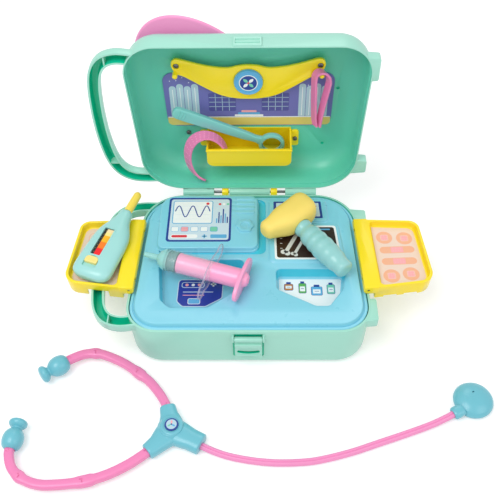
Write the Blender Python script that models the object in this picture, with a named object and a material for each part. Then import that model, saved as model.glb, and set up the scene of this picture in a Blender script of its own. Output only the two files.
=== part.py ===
"""Toy doctor case with fold-out trays, lid fittings, instruments and a stethoscope.

Sizes are millimetres in one frame: X right, Y back, Z up, origin at the centre of the base's underside.
The lid is drawn at its rest angle, standing upright on its stop.
"""
import math

import bmesh
import bpy
from mathutils import Matrix, Vector

MM = 0.001

# shared fits: clearance of turning and sliding parts, depth to which joined shapes run into each other,
# reach of a cut past the face it opens, softened edge
FIT = 0.3
RUN_IN = 1.0
CUT_PAST = 3.0
SOFT = 1.0

# case shells
CASE_FRONT_WIDTH = 270.0
CASE_BACK_WIDTH = 252.4
CASE_DEPTH = 204.0
BASE_HEIGHT = 66.0
LID_HEIGHT = 44.0
FRONT_RADIUS = 36.0
BACK_RADIUS = 48.0
SHELL_WALL = 2.4
SHELL_DRAFT = 2.0
BASE_FILLET = 11.0
LID_FILLET = 24.0
RIM_RELIEF = 4.4
FOOT_REACH = 5.0
FOOT_ROOT = 24.0
FOOT_HEIGHT = 12.6
FOOT_SHARES = [(-0.8431, -0.5686), (0.5686, 0.7451)]

# carry handle: (reach beyond the side, place along the depth), with stiffening ribs inside its channel
HANDLE_WIDTH = 14.0
HANDLE_DEPTH = 13.0
HANDLE_WALL = 2.2
HANDLE_REACH = 38.0
HANDLE_SHARES = [
    (-0.6901, -0.8235), (-0.2719, -0.8480), (0.1475, -0.8627), (0.5216, -0.8137), (0.7732, -0.6863), (0.9011, -0.4902),
    (0.9690, -0.2451), (0.9974, 0.0000), (0.9863, 0.2451), (0.9094, 0.4902), (0.7456, 0.6667), (0.4423, 0.7745),
    (0.0252, 0.8088), (-0.6069, 0.8039),
]
RIB_LENGTH = 11.0
RIB_WIDTH = 1.4
CROSS_RIB_SHARE = (0.4546, -0.8235)
LONG_RIB_SHARE = (0.8418, 0.5882)

# lid hinge: lobes of the base, a knuckle of the lid and two clips on one pin
HINGE_OFFSET = 5.5
HINGE_RADIUS = 5.0
HINGE_PIN_RADIUS = 1.6
LOBE_SHARES = (0.3487, 0.6498)
CLIP_SHARES = (0.2060, 0.2694)
KNUCKLE_SHARE = 0.1981
PIN_SHARE = 0.6458
WEB_HEIGHT = 14.0
STOP_REACH = 11.0
STOP_INSET = 8.0
STOP_DROP = 8.0
CLIP_TAIL = 18.0
CLIP_TAIL_THICKNESS = 2.4

# front latch, hung from two cheeks
LATCH_HALF_WIDTH = 14.8
LATCH_LOW = BASE_HEIGHT * 0.288
LATCH_TOP = BASE_HEIGHT - 8.0
LATCH_PIVOT = BASE_HEIGHT - 10.0
LATCH_BARREL_RADIUS = 2.5
LATCH_STUB_RADIUS = 1.3
LATCH_STUB_REACH = 2.7
LATCH_STAND = 3.0
LATCH_SHEET = 2.4
LATCH_BAR_SHARES = (0.59, 0.757)
LATCH_BAR_STAND = 2.4
LATCH_SLOT_SHARES = (0.27, 0.41)
LATCH_SCOOP_RADIUS = 16.0
LATCH_SCOOP_DROP = 11.0
CHEEK_WIDTH = 2.9
CHEEK_HEIGHT = 11.0
CHEEK_STAND = 5.6
SCOOP_DEPTH = 1.6
CATCH_HALF_WIDTH = 15.0
CATCH_DEPTH = 17.5
CATCH_STAND = 2.0
CATCH_GROOVE = (4.0, 12.4)
CATCH_LIP = (6.6, 9.2)
CATCH_WALL = 2.2

# deck, with (share of the half width, share of the half depth) places
DECK_GAP = 0.5
DECK_LEDGE = 4.0
DECK_FLANGE = 4.0
DECK_WEB = 6.8
DECK_TOP = BASE_HEIGHT + 3.0
MONITOR_RISE = 5.0
CHART_RISE = 2.2
XRAY_RISE = 1.6
BLOCK_TOP = DECK_TOP + MONITOR_RISE
RECESS_DEPTH = 15.0
RECESS_FLOOR = DECK_TOP - RECESS_DEPTH
DECK_SHEET = 2.0
BLOCK_SKIRT = 1.5
MONITOR_HOLLOW = 4.2
LEFT_RECESS_SHARES = [(-0.8035, -0.0196), (-0.0230, -0.0196), (-0.0453, -0.4461), (-0.3251, -0.7255),
                      (-0.6503, -0.7255), (-0.7428, -0.6078)]
LEFT_RECESS_RADII = [6, 6, 10, 10, 8, 8]
RIGHT_RECESS_SHARES = [(0.2171, -0.1529), (0.8531, -0.1549), (0.8066, -0.4676), (0.6680, -0.7010),
                       (0.5461, -0.7010), (0.2186, -0.4667)]
RIGHT_RECESS_RADII = [6, 8, 8, 6, 6, 6]
MONITOR_SHARES = [(-0.8140, 0.0843), (0.0768, 0.0843), (0.0790, 0.9020), (-0.8371, 0.9020)]
MONITOR_RADII = [9, 9, 9, 18]
CHART_SHARES = [(0.1871, 0.5245), (0.7327, 0.5245), (0.7258, 0.8725), (0.1893, 0.8725)]
CHART_RADII = [5, 5, 5, 5]
XRAY_SHARES = [(0.1832, -0.0882), (0.8398, -0.0882), (0.8094, 0.4804), (0.1868, 0.4804)]
XRAY_RADII = [6, 6, 6, 6]
RIDGE_COUNT = 4
RIDGE_START_SHARE = (-0.1261, 0.8490)
RIDGE_END_SHARE = (0.0509, 0.6314)
RIDGE_HALF_WIDTH = 2.1
RIDGE_HEIGHT = 1.4
KNOB_SHARE = (-0.0357, 0.4118)
KNOB_RADIUS = 9.6
KNOB_SCALLOP = 0.9
KNOB_HEIGHT = 2.4
KNOB_LOBES = 6

# printed cards, each laid on its own face
CARD_THICKNESS = 0.4
CARD_LIFT = 0.1
MONITOR_CARD_SHARES = [(-0.7441, 0.1765), (-0.1633, 0.1765), (-0.1688, 0.8686), (-0.7588, 0.8686)]
CHART_CARD_SHARES = [(0.2263, 0.5627), (0.6837, 0.5627), (0.6806, 0.8314), (0.2300, 0.8314)]
XRAY_CARD_SHARES = [(0.2277, -0.0588), (0.8062, -0.0588), (0.7813, 0.4471), (0.2254, 0.4471)]
BOTTLE_CARD_SHARES = [(0.2571, -0.3784), (0.5926, -0.6176), (0.6602, -0.6137), (0.7780, -0.4069),
                      (0.8027, -0.2157), (0.2585, -0.2157)]
LABEL_SHARES = [(-0.6319, -0.5294), (-0.5702, -0.6127), (-0.3601, -0.6127), (-0.2109, -0.4902),
                (-0.2054, -0.1961), (-0.6390, -0.1961)]
MONITOR_CARD_RADII = [4, 4, 4, 4]
CHART_CARD_RADII = [0.8, 0.8, 0.8, 0.8]
XRAY_CARD_RADII = [3, 3, 3, 3]
BOTTLE_CARD_RADII = [2, 3, 3, 4, 2, 2]
LABEL_RADII = [5, 5, 5, 5, 5, 5]

# trays, drawn outward from the case wall: (share of the reach, share of the half length)
TRAY_TILT = math.atan2(CASE_FRONT_WIDTH - CASE_BACK_WIDTH, 2 * CASE_DEPTH)
TRAY_ORIGIN_X = (CASE_FRONT_WIDTH + CASE_BACK_WIDTH) / 4
TRAY_REACH = 73.0
TRAY_HALF_LENGTH = 51.6
TRAY_SHARES = [(0.0342, -1.0), (1.0, -0.8721), (0.9452, 0.8818), (0.0342, 0.9806)]
TRAY_RADII = [1.5, 16, 12, 1.5]
TRAY_CARD_SHARES = [(0.1836, -0.9070), (0.9315, -0.8023), (0.8822, 0.8023), (0.1836, 0.8837)]
TRAY_CARD_RADII = [1, 11, 8, 1]
TRAY_WALL = 2.0
TRAY_WELL_FROM = 9.0
TRAY_UNDER_FROM = 8.0
TRAY_PIVOT_OUT = -1.2
TRAY_PIVOT_Z = BASE_HEIGHT + 6.0
TRAY_RIM_Z = BASE_HEIGHT + 11.0
TRAY_FLOOR_Z = BASE_HEIGHT + 2.6
TRAY_SKIRT_Z = BASE_HEIGHT - 9.0
TRAY_SHEET = 1.8
TRAY_DRAFT = 1.4
TRAY_NOTCH = (22.5, 46.5)
TRAY_BAR_RADIUS = 5.4
TRAY_BAR_REACH = 11.0
TRAY_BAR_TOP = 5.0
TRAY_CLEAR = 6.6
TRAY_PIN_RADIUS = 1.3
TRAY_PIN_LENGTH = 97.0
EAR_SHARE = 0.6977
EAR_THICKNESS = 3.0
EAR_GAP = 0.6
EAR_SLOT = (3.2, 3.0, 8.0)
EAR_INNER, EAR_OUTER = 2.3, 1.0
EAR_DROP = 10.0
EAR_CROWN = 2.6
EAR_SHOULDER = 1.0

# lid fittings, with (share of the half width, share of the depth up from the lid's foot) places
LID_FOOT_Z = BASE_HEIGHT + HINGE_OFFSET
LID_FLOOR_Y = CASE_DEPTH / 2 + HINGE_OFFSET + LID_HEIGHT - SHELL_WALL + 0.4
LID_BACK_Y = CASE_DEPTH / 2 + HINGE_OFFSET + LID_HEIGHT
SCREW_BORE = 1.8
SCREW_SHAFT = 1.5
SCREW_HEAD = 2.9
SCREW_HEAD_HEIGHT = 2.0
SCREW_LENGTH = 6.0
EMBLEM_CENTRE_SHARE = (-0.2744, 0.5676)
EMBLEM_HALF_LENGTH = 118.0
EMBLEM_HALF_WIDTH = 72.0
EMBLEM_ANGLE = math.radians(125)
EMBLEM_THICKNESS = 5.0
EMBLEM_STAND = 0.6
EMBLEM_SCREW_SHARES = [(-0.5707, 0.2730), (-0.4522, 0.7377), (0.0453, 0.7260)]
PLAIN_HOLE_SHARES = [(0.6995, 0.1828), (0.7801, 0.5897)]
PLAIN_HOLE_RADIUS = 2.0
WING_STAND = 9.5
WING_THICKNESS = 3.0
WING_SHARES = [
    (0.0, 0.7750), (0.0902, 0.7701), (0.1806, 0.7564), (0.3122, 0.7632), (0.4508, 0.7838), (0.5999, 0.8142),
    (0.6488, 0.8083), (0.6687, 0.7843), (0.6625, 0.7525), (0.6263, 0.7181), (0.5555, 0.6956), (0.3910, 0.6250),
    (0.2514, 0.5745), (0.1144, 0.5534), (0.0, 0.5495),
]
WING_SCREW_SHARE = (0.6016, 0.7696)
WING_LEG_RADIUS = 5.2
WING_WELL_RADIUS = 3.4
WING_WELL_DEPTH = 2.6
WING_SCREW_LENGTH = 8.6
PEG_SHARE = (0.6155, 0.7250)
PEG_RADIUS = 3.0
PEG_LENGTH = 7.6
BADGE_SHARE = (0.0, 0.6730)
BADGE_RADIUS = 16.3
BADGE_THICKNESS = 4.0
BACKDROP_LOW_SHARE, BACKDROP_TOP_SHARES = 0.7686, (0.7443, 0.6985)
BACKDROP_LIFT = 3.5
BACKDROP_RADII = [12, 12, 12, 12]
BACKDROP_STAND = 1.3
BACKDROP_THICKNESS = 0.8
POCKET_HALF_WIDTH = 50.5
POCKET_DEPTH = 36.0
POCKET_WALL = 2.0
POCKET_RISE = 32.0
POCKET_BOTTOM = LID_FOOT_Z + POCKET_RISE
POCKET_FRONT_HEIGHT = 26.0
POCKET_BACK_HEIGHT = 31.0
POCKET_RADII = [8, 8, 0.5, 0.5]
POCKET_LUG = 9.5
LUG_SHEET = 2.4
LUG_RISE = (3.5, 27.5)
LUG_RADIUS = 3.5
LUG_SCREW = (5.0, 15.5)

# syringe
SYRINGE_SHARE = (-0.8976, -0.0696)
SYRINGE_RISE = 7.9
SYRINGE_AIM = Vector((0.950, -0.312, 0)).normalized()
BARREL_RADIUS = 13.6
BARREL_BORE = 12.3
BARREL_END = 83.0
BARREL_SHARES = [(0.0, 0.0), (0.1691, 0.0), (0.1912, 0.0120), (0.2132, 0.1325), (0.3824, 0.1627), (0.6985, 0.2048),
                 (0.9118, 0.2651), (1.0, 0.3373), (1.0, 1.0), (0.0, 1.0)]
BORE_SHARES = [(0.0, -0.04), (0.1057, -0.04), (0.1057, 0.0), (0.1301, 0.1446), (0.3252, 0.1855), (0.6667, 0.2217),
               (0.8943, 0.2723), (1.0, 0.3373), (1.0, 1.04), (0.0, 1.04)]
FLANGE_HALF_LONG = 39.5
FLANGE_HALF_HIGH = 13.7
FLANGE_THICKNESS = 2.5
FLANGE_SETBACK = 2.0
SEAL_SHARES = [(0.0, 0.3494), (0.5691, 0.3494), (0.8537, 0.3663), (0.9431, 0.3855), (0.9675, 0.4024),
               (0.9106, 0.4169), (0.9106, 0.4386), (0.9675, 0.4530), (0.9675, 0.4892), (0.4878, 0.4964), (0.0, 0.4964)]
PLUNGER_END = 119.0
PLUNGER_SHARES = [(0.0, 0.3496), (0.9106, 0.3496), (0.9512, 0.3546), (0.9512, 0.3697), (0.9106, 0.3782),
                  (0.9106, 0.9412), (0.9431, 0.9714), (0.0, 0.9714)]
PRESS_HALF_LONG = 29.5
PRESS_HALF_HIGH = 12.6
PRESS_THICKNESS = 4.6
DENT_REACH = 7.4
DENT_DEPTH = 3.6

# reflex hammer: head as (distance, shift, half width, half height) shares
HAMMER_SHARE = (0.1620, 0.2157)
HAMMER_RISE = 15.5
HAMMER_AIM = Vector((0.753, 0.657, 0)).normalized()
HAMMER_LENGTH = 64.2
HAMMER_HALF_WIDTH = 20.6
HAMMER_HALF_HEIGHT = 17.5
HAMMER_SHARES = [
    (-0.0841, 0.0, 0.1699, 0.2286), (-0.0654, 0.0, 0.3398, 0.4343), (-0.0156, 0.0194, 0.4757, 0.6057),
    (0.0779, -0.0291, 0.5825, 0.7200), (0.2181, -0.0777, 0.7476, 0.8457), (0.3738, -0.0777, 0.8738, 0.9371),
    (0.5296, -0.0583, 0.9515, 0.9829), (0.7009, -0.0291, 1.0, 1.0), (0.8255, 0.0, 0.9903, 0.9886),
    (0.9190, 0.0291, 0.9223, 0.9257), (0.9751, 0.0485, 0.8252, 0.8229), (1.0, 0.0583, 0.6602, 0.6400),
]
GRIP_AIM = Vector((0.573, -0.819, 0)).normalized()
GRIP_FROM = 38.0
GRIP_DROP = 4.0
GRIP_LENGTH = 99.8
GRIP_RADIUS = 14.0
GRIP_SHARES = [
    (0.0, 0.0962), (0.4286, 0.0962), (0.4286, 0.1974), (0.7286, 0.1974), (0.7857, 0.2064), (0.7857, 0.2505),
    (0.7000, 0.2766), (0.7429, 0.3006), (0.8857, 0.3407), (0.9357, 0.3908), (0.8929, 0.4269), (0.9786, 0.4810),
    (0.9286, 0.5311), (1.0, 0.5912), (0.9429, 0.6453), (0.9714, 0.7014), (0.9000, 0.7515), (0.9000, 0.8116),
    (0.8000, 0.8617), (0.7571, 0.9018), (0.7571, 0.9619), (0.7000, 0.9860), (0.5286, 1.0), (0.0, 1.0),
]
GRIP_SEAT = (19.4, 11.4)
GRIP_SOCKET = (9.0, 6.3)
SEAT_LENGTH = 11.0

# thermometer, leaning in the left tray: body as (distance, half width, half height) shares
PROBE_NECK_OUT, PROBE_NECK_ALONG, PROBE_NECK_RISE = 14.816, 51.109, 9.95
PROBE_LEAN = (0.3082, -0.9477, -0.0827)
THERMOMETER_LENGTH = 98.2
THERMOMETER_HALF_WIDTH = 23.2
THERMOMETER_HALF_HEIGHT = 9.8
THERMOMETER_SHARES = [
    (-0.0163, 0.1983, 0.4490), (-0.0061, 0.2586, 0.5714), (0.0204, 0.3190, 0.6735), (0.0916, 0.3707, 0.7347),
    (0.1833, 0.5172, 0.8163), (0.2851, 0.7414, 0.9184), (0.3870, 0.8793, 0.9796), (0.5295, 0.9397, 1.0),
    (0.6925, 0.9741, 1.0), (0.8452, 1.0, 0.9796), (0.9165, 0.9655, 0.9388), (0.9633, 0.8448, 0.8163),
    (0.9898, 0.6207, 0.5918), (1.0, 0.3707, 0.3265),
]
WINDOW_SPAN = (33.0, 71.4)
WINDOW_SIDE = (-9.0, 3.0)
WINDOW_DEPTH = 2.4
SCALE_GAP = 0.5
SCALE_THICKNESS = 1.0
SWITCH_SPAN = (73.4, 88.4)
SWITCH_SIDE = (-11.4, 5.4)
SWITCH_DEPTH = 3.4
SWITCH_GAP = 0.8
BUTTON_LENGTH = 7.4
BUTTON_STAND = 0.8
PROBE_RADIUS = 4.9
PROBE_BORE = 3.6
PROBE_START = 6.6
PROBE_LENGTH = 38.8
PROBE_SHARES = [(0.0, 0.0), (0.6735, 0.0), (0.6735, 0.2216), (1.0, 0.2216), (1.0, 0.5155), (0.9592, 0.8763),
                (0.8571, 0.9381), (0.5714, 0.9845), (0.0, 1.0)]

# mirror, band and tweezers kept in the lid
MIRROR_END_OFFSET = (-88.0, 68.3)
MIRROR_RING_OFFSET = (27.0, 18.1)
MIRROR_STAND = 16.0
MIRROR_THICKNESS = 6.0
MIRROR_RADIUS = 15.6
MIRROR_HALF_WIDTH = 7.6
MIRROR_SHARES = [(0.0, 0.0), (0.0072, 0.5789), (0.0305, 0.8947), (0.0718, 1.0), (0.2334, 1.0), (0.5386, 0.8421),
                 (0.7899, 0.7368), (0.9282, 0.5526), (1.0, 0.7368)]
MIRROR_LIP = 4.0
MIRROR_SEAT = 2.6
MIRROR_GROOVE = 1.1
MIRROR_DISC_THICKNESS = 1.4
MIRROR_GRIPS = (8.0, 11.5, 15.0)
MIRROR_GRIP_REACH = 5.6
MIRROR_GRIP_HALF = 0.7
MIRROR_GRIP_STAND = 0.5
BAND_RISE = 7.7
BAND_HALF_WIDTH = 25.0
BAND_HALF_HEIGHT = 34.0
BAND_BREADTH = 11.8
BAND_STAND = 3.1
BAND_THICKNESS = 2.4
BAND_LEAN = 10.0
BAND_FROM, BAND_TO = -8.0, 262.0
TWEEZER_STAND = 4.6
TWEEZER_WIDTH = 6.0
TWEEZER_THICKNESS = 2.6
TWEEZER_LENGTH = 75.0
TWEEZER_SHARES = [
    (-0.0507, -0.9387), (-0.0747, -0.7920), (-0.0907, -0.5253), (-0.1013, -0.2587), (-0.1067, -0.0720),
    (-0.0907, 0.0213), (-0.0400, 0.0667), (0.0320, 0.0587), (0.0933, -0.0107), (0.1120, -0.1040), (0.1013, -0.2053),
    (0.0667, -0.4187), (0.0240, -0.7120), (0.0, -0.9387),
]

# stethoscope, laid out in front of the case: shares of its spread, from the case's front
LAY_SPREAD = 250.0
YOKE_SHARE = (-0.3200, -0.3360, 0.0360)
YOKE_RADIUS = 15.2
YOKE_HEIGHT = 9.0
YOKE_SHARES = [(0.0, -0.8889), (0.7566, -0.8667), (0.9474, -0.5556), (1.0, 0.0), (0.9474, 0.5556), (0.8158, 0.8444),
               (0.7632, 0.9778), (0.0, 1.0)]
YOKE_ARM = 30.0
YOKE_ARM_SHARES = [
    [(0.0, 0.0), (-0.0500, 0.3000), (-0.1200, 0.5667), (-0.1933, 0.8500)],
    [(0.0, 0.0), (-0.2167, -0.2667), (-0.4667, -0.5500), (-0.7467, -0.8067)],
    [(0.0, 0.0), (0.3667, -0.2000), (0.7000, -0.3667), (1.0400, -0.5400)],
]
YOKE_ARM_SECTION = 12.0
YOKE_WIDTH_SHARES = [
    [(1.0, 0.667), (0.833, 0.633), (0.683, 0.6), (0.717, 0.617)],
    [(1.0, 0.667), (0.833, 0.633), (0.683, 0.6), (0.7, 0.6)],
    [(1.0, 0.667), (0.9, 0.65), (0.883, 0.633), (0.933, 0.65)],
]
YOKE_MOUTH = 1.2
BADGE_BOSS = 7.2
BADGE_BOSS_HEIGHT = 1.6
BADGE_BOSS_OFFSET = (0.8, 1.0, 0.2)
TUBE_RADIUS = 3.7
TUBE_SHARES = [
    (-0.2000, -0.4000, 0.0260), (-0.1360, -0.4260, 0.0200), (-0.0720, -0.4460, 0.0172), (0.0160, -0.4632, 0.0172),
    (0.1080, -0.4720, 0.0172), (0.2000, -0.4708, 0.0172), (0.2880, -0.4608, 0.0172), (0.4200, -0.4272, 0.0172),
    (0.5560, -0.3800, 0.0172), (0.6640, -0.3420, 0.0172), (0.7640, -0.3052, 0.0196),
]
TUBE_END_OFFSETS = [(-32.5, -21.5, 6.4), (-20.5, -15.6, 8.2)]
TUBE_SOCKET = 0.4
ARM_HALF_WIDTH = 5.0
ARM_HALF_HEIGHT = 4.6
ARM_STEP = 0.9
ARM_GROOVE_HALF = 2.4
ARM_GROOVE_FLOOR = 0.8
ARM_SOCKET = 5.9
ARM_TOP_SHARES = [
    (-0.3416, -0.2464, 0.0360), (-0.3536, -0.2160, 0.0360), (-0.3840, -0.1664, 0.0360), (-0.4320, -0.1080, 0.0368),
    (-0.4880, -0.0624, 0.0384), (-0.5520, -0.0176, 0.0400), (-0.6160, 0.0144, 0.0408), (-0.6744, 0.0336, 0.0424),
    (-0.7360, 0.0296, 0.0448), (-0.7880, 0.0048, 0.0472), (-0.8240, -0.0200, 0.0488),
]
ARM_LOW_SHARES = [
    (-0.3984, -0.4216, 0.0360), (-0.4240, -0.4456, 0.0360), (-0.4840, -0.4904, 0.0368), (-0.5640, -0.5344, 0.0384),
    (-0.6560, -0.5640, 0.0400), (-0.7520, -0.5768, 0.0408), (-0.8320, -0.5776, 0.0424), (-0.9000, -0.5544, 0.0440),
    (-0.9504, -0.5104, 0.0456), (-0.9744, -0.4520, 0.0472), (-0.9736, -0.4104, 0.0488),
]
TIP_TOP_SHARE = (-0.8840, -0.0656, 0.0496)
TIP_LOW_SHARE = (-0.9656, -0.3360, 0.0496)
EAR_TIP_RADIUS = 11.2
EAR_TIP_LENGTH = 28.0
EAR_TIP_BORE = 5.6
EAR_TIP_SEAT = 2.6
EAR_TIP_SHARES = [
    (0.0, -0.2143), (0.3571, -0.2143), (0.7679, -0.1214), (0.9464, 0.0357), (1.0, 0.2143), (0.9286, 0.3929),
    (0.6786, 0.5500), (0.4821, 0.6286), (0.5536, 0.6929), (0.8036, 0.7571), (0.8750, 0.8357), (0.8214, 0.9143),
    (0.5714, 0.9786), (0.0, 1.0),
]
CHEST_SHARE = (0.9660, -0.1880, 0.0)
CHEST_RADIUS = 21.4
CHEST_HEIGHT = 15.4
CUP_SHARES = [(0.0, 1.0), (0.3271, 0.9740), (0.6075, 0.8701), (0.8411, 0.6883), (0.9720, 0.4675), (1.0, 0.3247),
              (0.9533, 0.2208), (0.8598, 0.1948), (0.7477, 0.3506), (0.4673, 0.5455), (0.0, 0.6104)]
RING_SHARES = [(0.0, 0.0260), (0.8131, 0.0260), (0.9159, 0.0779), (0.9252, 0.1429), (0.8411, 0.1753),
               (0.7290, 0.3182), (0.4486, 0.5065), (0.0, 0.5714)]
NOZZLE_STATIONS = [(-5.0, 6.0, 4.4), (-4.0, 6.8, 5.1), (2.0, 7.0, 5.2), (7.0, 6.4, 4.8)]
VENT_RADIUS = 0.9
VENT_OFFSET = (-1.0, 5.0)

# finish of each kind of part: colour, roughness, metallic
FINISHES = {
    "caseGreen": ((0.41, 0.73, 0.63), 0.30, 0.0), "deckBlue": ((0.24, 0.66, 0.78), 0.25, 0.0),
    "yellow": ((0.98, 0.76, 0.02), 0.28, 0.0), "pink": ((0.90, 0.28, 0.60), 0.30, 0.0),
    "lightPink": ((0.96, 0.42, 0.66), 0.25, 0.0), "teal": ((0.26, 0.66, 0.72), 0.28, 0.0),
    "softYellow": ((0.96, 0.78, 0.22), 0.45, 0.0), "clear": ((0.90, 0.95, 0.95), 0.08, 0.0),
    "sealGrey": ((0.12, 0.33, 0.36), 0.55, 0.0), "zinc": ((0.62, 0.62, 0.64), 0.35, 1.0),
    "silver": ((0.86, 0.88, 0.90), 0.05, 1.0), "card": ((0.62, 0.58, 0.52), 0.50, 0.0),
    "film": ((0.04, 0.03, 0.03), 0.30, 0.0), "night": ((0.18, 0.18, 0.45), 0.50, 0.0),
}
FINISH_OF = {
    "base_shell": "caseGreen", "lid_shell": "caseGreen", "latch_flap": "caseGreen", "deck": "deckBlue",
    "hinge_clip": "yellow", "wing_plate": "yellow", "pocket": "yellow", "tray_left": "yellow", "tray_right": "yellow",
    "thermometer_probe": "yellow", "thermometer_button": "yellow", "hinge_pin": "zinc", "tray_pin": "zinc",
    "emblem_screw": "zinc", "wing_screw": "zinc", "pocket_screw": "zinc", "monitor_card": "card",
    "chart_card": "card", "bottle_card": "card", "recess_label": "card", "tray_card": "card",
    "thermometer_scale": "card", "wing_badge": "card", "yoke_badge": "card", "xray_card": "film",
    "backdrop_card": "night", "emblem": "pink", "thermometer_body": "teal", "syringe_barrel": "clear",
    "syringe_plunger": "lightPink", "syringe_seal": "sealGrey", "hammer_head": "softYellow", "hammer_grip": "teal",
    "mirror_frame": "teal", "mirror_disc": "silver", "plaster_band": "pink", "tweezers": "pink", "yoke": "teal",
    "ear_arm": "pink", "ear_tip": "teal", "stethoscope_tube": "pink", "chest_cup": "teal", "chest_ring": "teal",
}


def clearScene():
    for old in list(bpy.data.objects):
        bpy.data.objects.remove(old, do_unlink=True)


def skin(name, rings, closed=False):
    """Extrude the first ring's edges through the others, then cap both ends or join them."""
    work = bmesh.new()
    place = work.verts.layers.int.new("place")
    first = [work.verts.new(Vector(point) * MM) for point in rings[0]]
    for i, vert in enumerate(first):
        vert[place] = i
    edges = [work.edges.new((first[i - 1], first[i])) for i in range(len(first))]
    last = first
    for ring in rings[1:]:
        grown = bmesh.ops.extrude_edge_only(work, edges=edges)["geom"]
        last = sorted((item for item in grown if isinstance(item, bmesh.types.BMVert)), key=lambda vert: vert[place])
        edges = [item for item in grown if isinstance(item, bmesh.types.BMEdge) and item.is_boundary]
        for vert, point in zip(last, ring):
            vert.co = Vector(point) * MM
    if closed:
        for i in range(len(first)):
            work.faces.new((first[i - 1], first[i], last[i], last[i - 1]))
    else:
        work.faces.new(first)
        work.faces.new(last)
    bmesh.ops.remove_doubles(work, verts=work.verts, dist=MM * MM)
    bmesh.ops.recalc_face_normals(work, faces=work.faces)
    mesh = bpy.data.meshes.new(name)
    work.to_mesh(mesh)
    work.free()
    item = bpy.data.objects.new(name, mesh)
    bpy.context.scene.collection.objects.link(item)
    return item


def insetCorners(corners, amount):
    """Move every side of a counter-clockwise convex polygon inward."""
    moved = []
    total = len(corners)
    for i in range(total):
        before, here, after = Vector(corners[i - 1]), Vector(corners[i]), Vector(corners[(i + 1) % total])
        first, second = (here - before).normalized(), (after - here).normalized()
        normalA, normalB = Vector((-first.y, first.x)), Vector((-second.y, second.x))
        blend = normalA + normalB
        moved.append(tuple(here + blend * (amount / max(0.2, blend.dot(normalA)))))
    return moved


def roundedPlan(corners, radii, inset=0.0, steps=3):
    """Points of a convex polygon with rounded corners, inset on all sides."""
    area = sum(a[0] * b[1] - b[0] * a[1] for a, b in zip(corners, corners[1:] + corners[:1]))
    if area < 0:
        corners, radii = corners[::-1], radii[::-1]
    if inset:
        corners = insetCorners(corners, inset)
    points = []
    total = len(corners)
    for i in range(total):
        before, here, after = Vector(corners[i - 1]), Vector(corners[i]), Vector(corners[(i + 1) % total])
        toBefore, toAfter = (before - here).normalized(), (after - here).normalized()
        half = toBefore.angle(toAfter) / 2
        radius = max(FIT, radii[i] - inset)
        reach = min(radius / math.tan(half), (before - here).length * 0.48, (after - here).length * 0.48)
        radius = reach * math.tan(half)
        centre = here + (toBefore + toAfter).normalized() * (radius / math.sin(half))
        start = here + toBefore * reach - centre
        turn = math.pi - 2 * half
        for s in range(steps + 1):
            angle = turn * s / steps
            points.append((
                centre.x + start.x * math.cos(angle) - start.y * math.sin(angle),
                centre.y + start.x * math.sin(angle) + start.y * math.cos(angle),
            ))
    return points


def level(x, y, z):
    return (x, y, z)


def upright(x, z, y):
    """Draw a plan in the lid's X-Z plane with its height along Y."""
    return (x, y, z)


def stack(name, corners, radii, levels, steps=3, place=level):
    """A rounded plan carried through (inset, height) levels."""
    return skin(name, [[place(x, y, z) for x, y in roundedPlan(corners, radii, inset, steps)] for inset, z in levels])


def plate(name, corners, radii, low, high, edge=0.0, steps=3, place=level):
    """A rounded plate between two heights with an optional softened top edge."""
    levels = [(0.0, low), (0.0, high)]
    if edge:
        levels = [(0.0, low), (0.0, high - edge), (edge * 0.3, high - edge * 0.3), (edge, high)]
    return stack(name, corners, radii, levels, steps, place)


def rectangle(x0, y0, x1, y1):
    return [(x0, y0), (x1, y0), (x1, y1), (x0, y1)]


def turned(name, profile, origin, aim, steps=16, bored=False):
    """Turn (radius, distance) pairs about an axis; a bored profile closes on itself."""
    aim = Vector(aim).normalized()
    side = aim.orthogonal().normalized()
    up = aim.cross(side)
    rings = []
    for radius, distance in profile:
        radius = max(radius, FIT / 10)
        centre = Vector(origin) + aim * distance
        angles = [2 * math.pi * i / steps for i in range(steps)]
        rings.append([centre + (side * math.cos(a) + up * math.sin(a)) * radius for a in angles])
    return skin(name, rings, closed=bored)


def rod(name, radius, start, end, steps=12):
    start, end = Vector(start), Vector(end)
    return turned(name, [(0, 0), (radius, 0), (radius, (end - start).length), (0, (end - start).length)],
                  start, end - start, steps)


def scaled(shares, radius, length):
    return [(a * radius, b * length) for a, b in shares]


def box(name, low, high):
    return skin(name, [[(x, y, z) for x, y in rectangle(low[0], low[1], high[0], high[1])] for z in (low[2], high[2])])


def sweep(name, path, section, scales=None):
    """Carry a section (side, up) along a path."""
    path = [Vector(p) for p in path]
    rings = []
    for i, here in enumerate(path):
        ahead = path[min(i + 1, len(path) - 1)] - path[max(i - 1, 0)]
        side = ahead.cross(Vector((0, 0, 1))).normalized()
        lift = side.cross(ahead).normalized()
        grow = scales[i] if scales else (1.0, 1.0)
        rings.append([here + side * (a * grow[0]) + lift * (b * grow[1]) for a, b in section])
    return skin(name, rings)


def oval(halfWide, halfHigh, power=2.0, count=16):
    points = []
    for i in range(count):
        angle = 2 * math.pi * i / count
        c, s = math.cos(angle), math.sin(angle)
        points.append((halfWide * math.copysign(abs(c) ** (2 / power), c),
                       halfHigh * math.copysign(abs(s) ** (2 / power), s)))
    return points


def smoothPath(points, pieces=4):
    """Catmull-Rom points through a list of stations."""
    stations = [Vector(p) for p in points]
    stations = [stations[0] * 2 - stations[1]] + stations + [stations[-1] * 2 - stations[-2]]
    result = []
    for i in range(1, len(stations) - 2):
        a, b, c, d = stations[i - 1:i + 3]
        for s in range(pieces):
            t = s / pieces
            result.append(0.5 * (2 * b + (c - a) * t + (2 * a - 5 * b + 4 * c - d) * t * t
                                 + (3 * b - a - 3 * c + d) * t ** 3))
    result.append(stations[-2])
    return result


def directions(path):
    """Unit direction at each point of a path."""
    last = len(path) - 1
    return [(path[min(i + 1, last)] - path[max(i - 1, 0)]).normalized() for i in range(len(path))]


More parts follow.
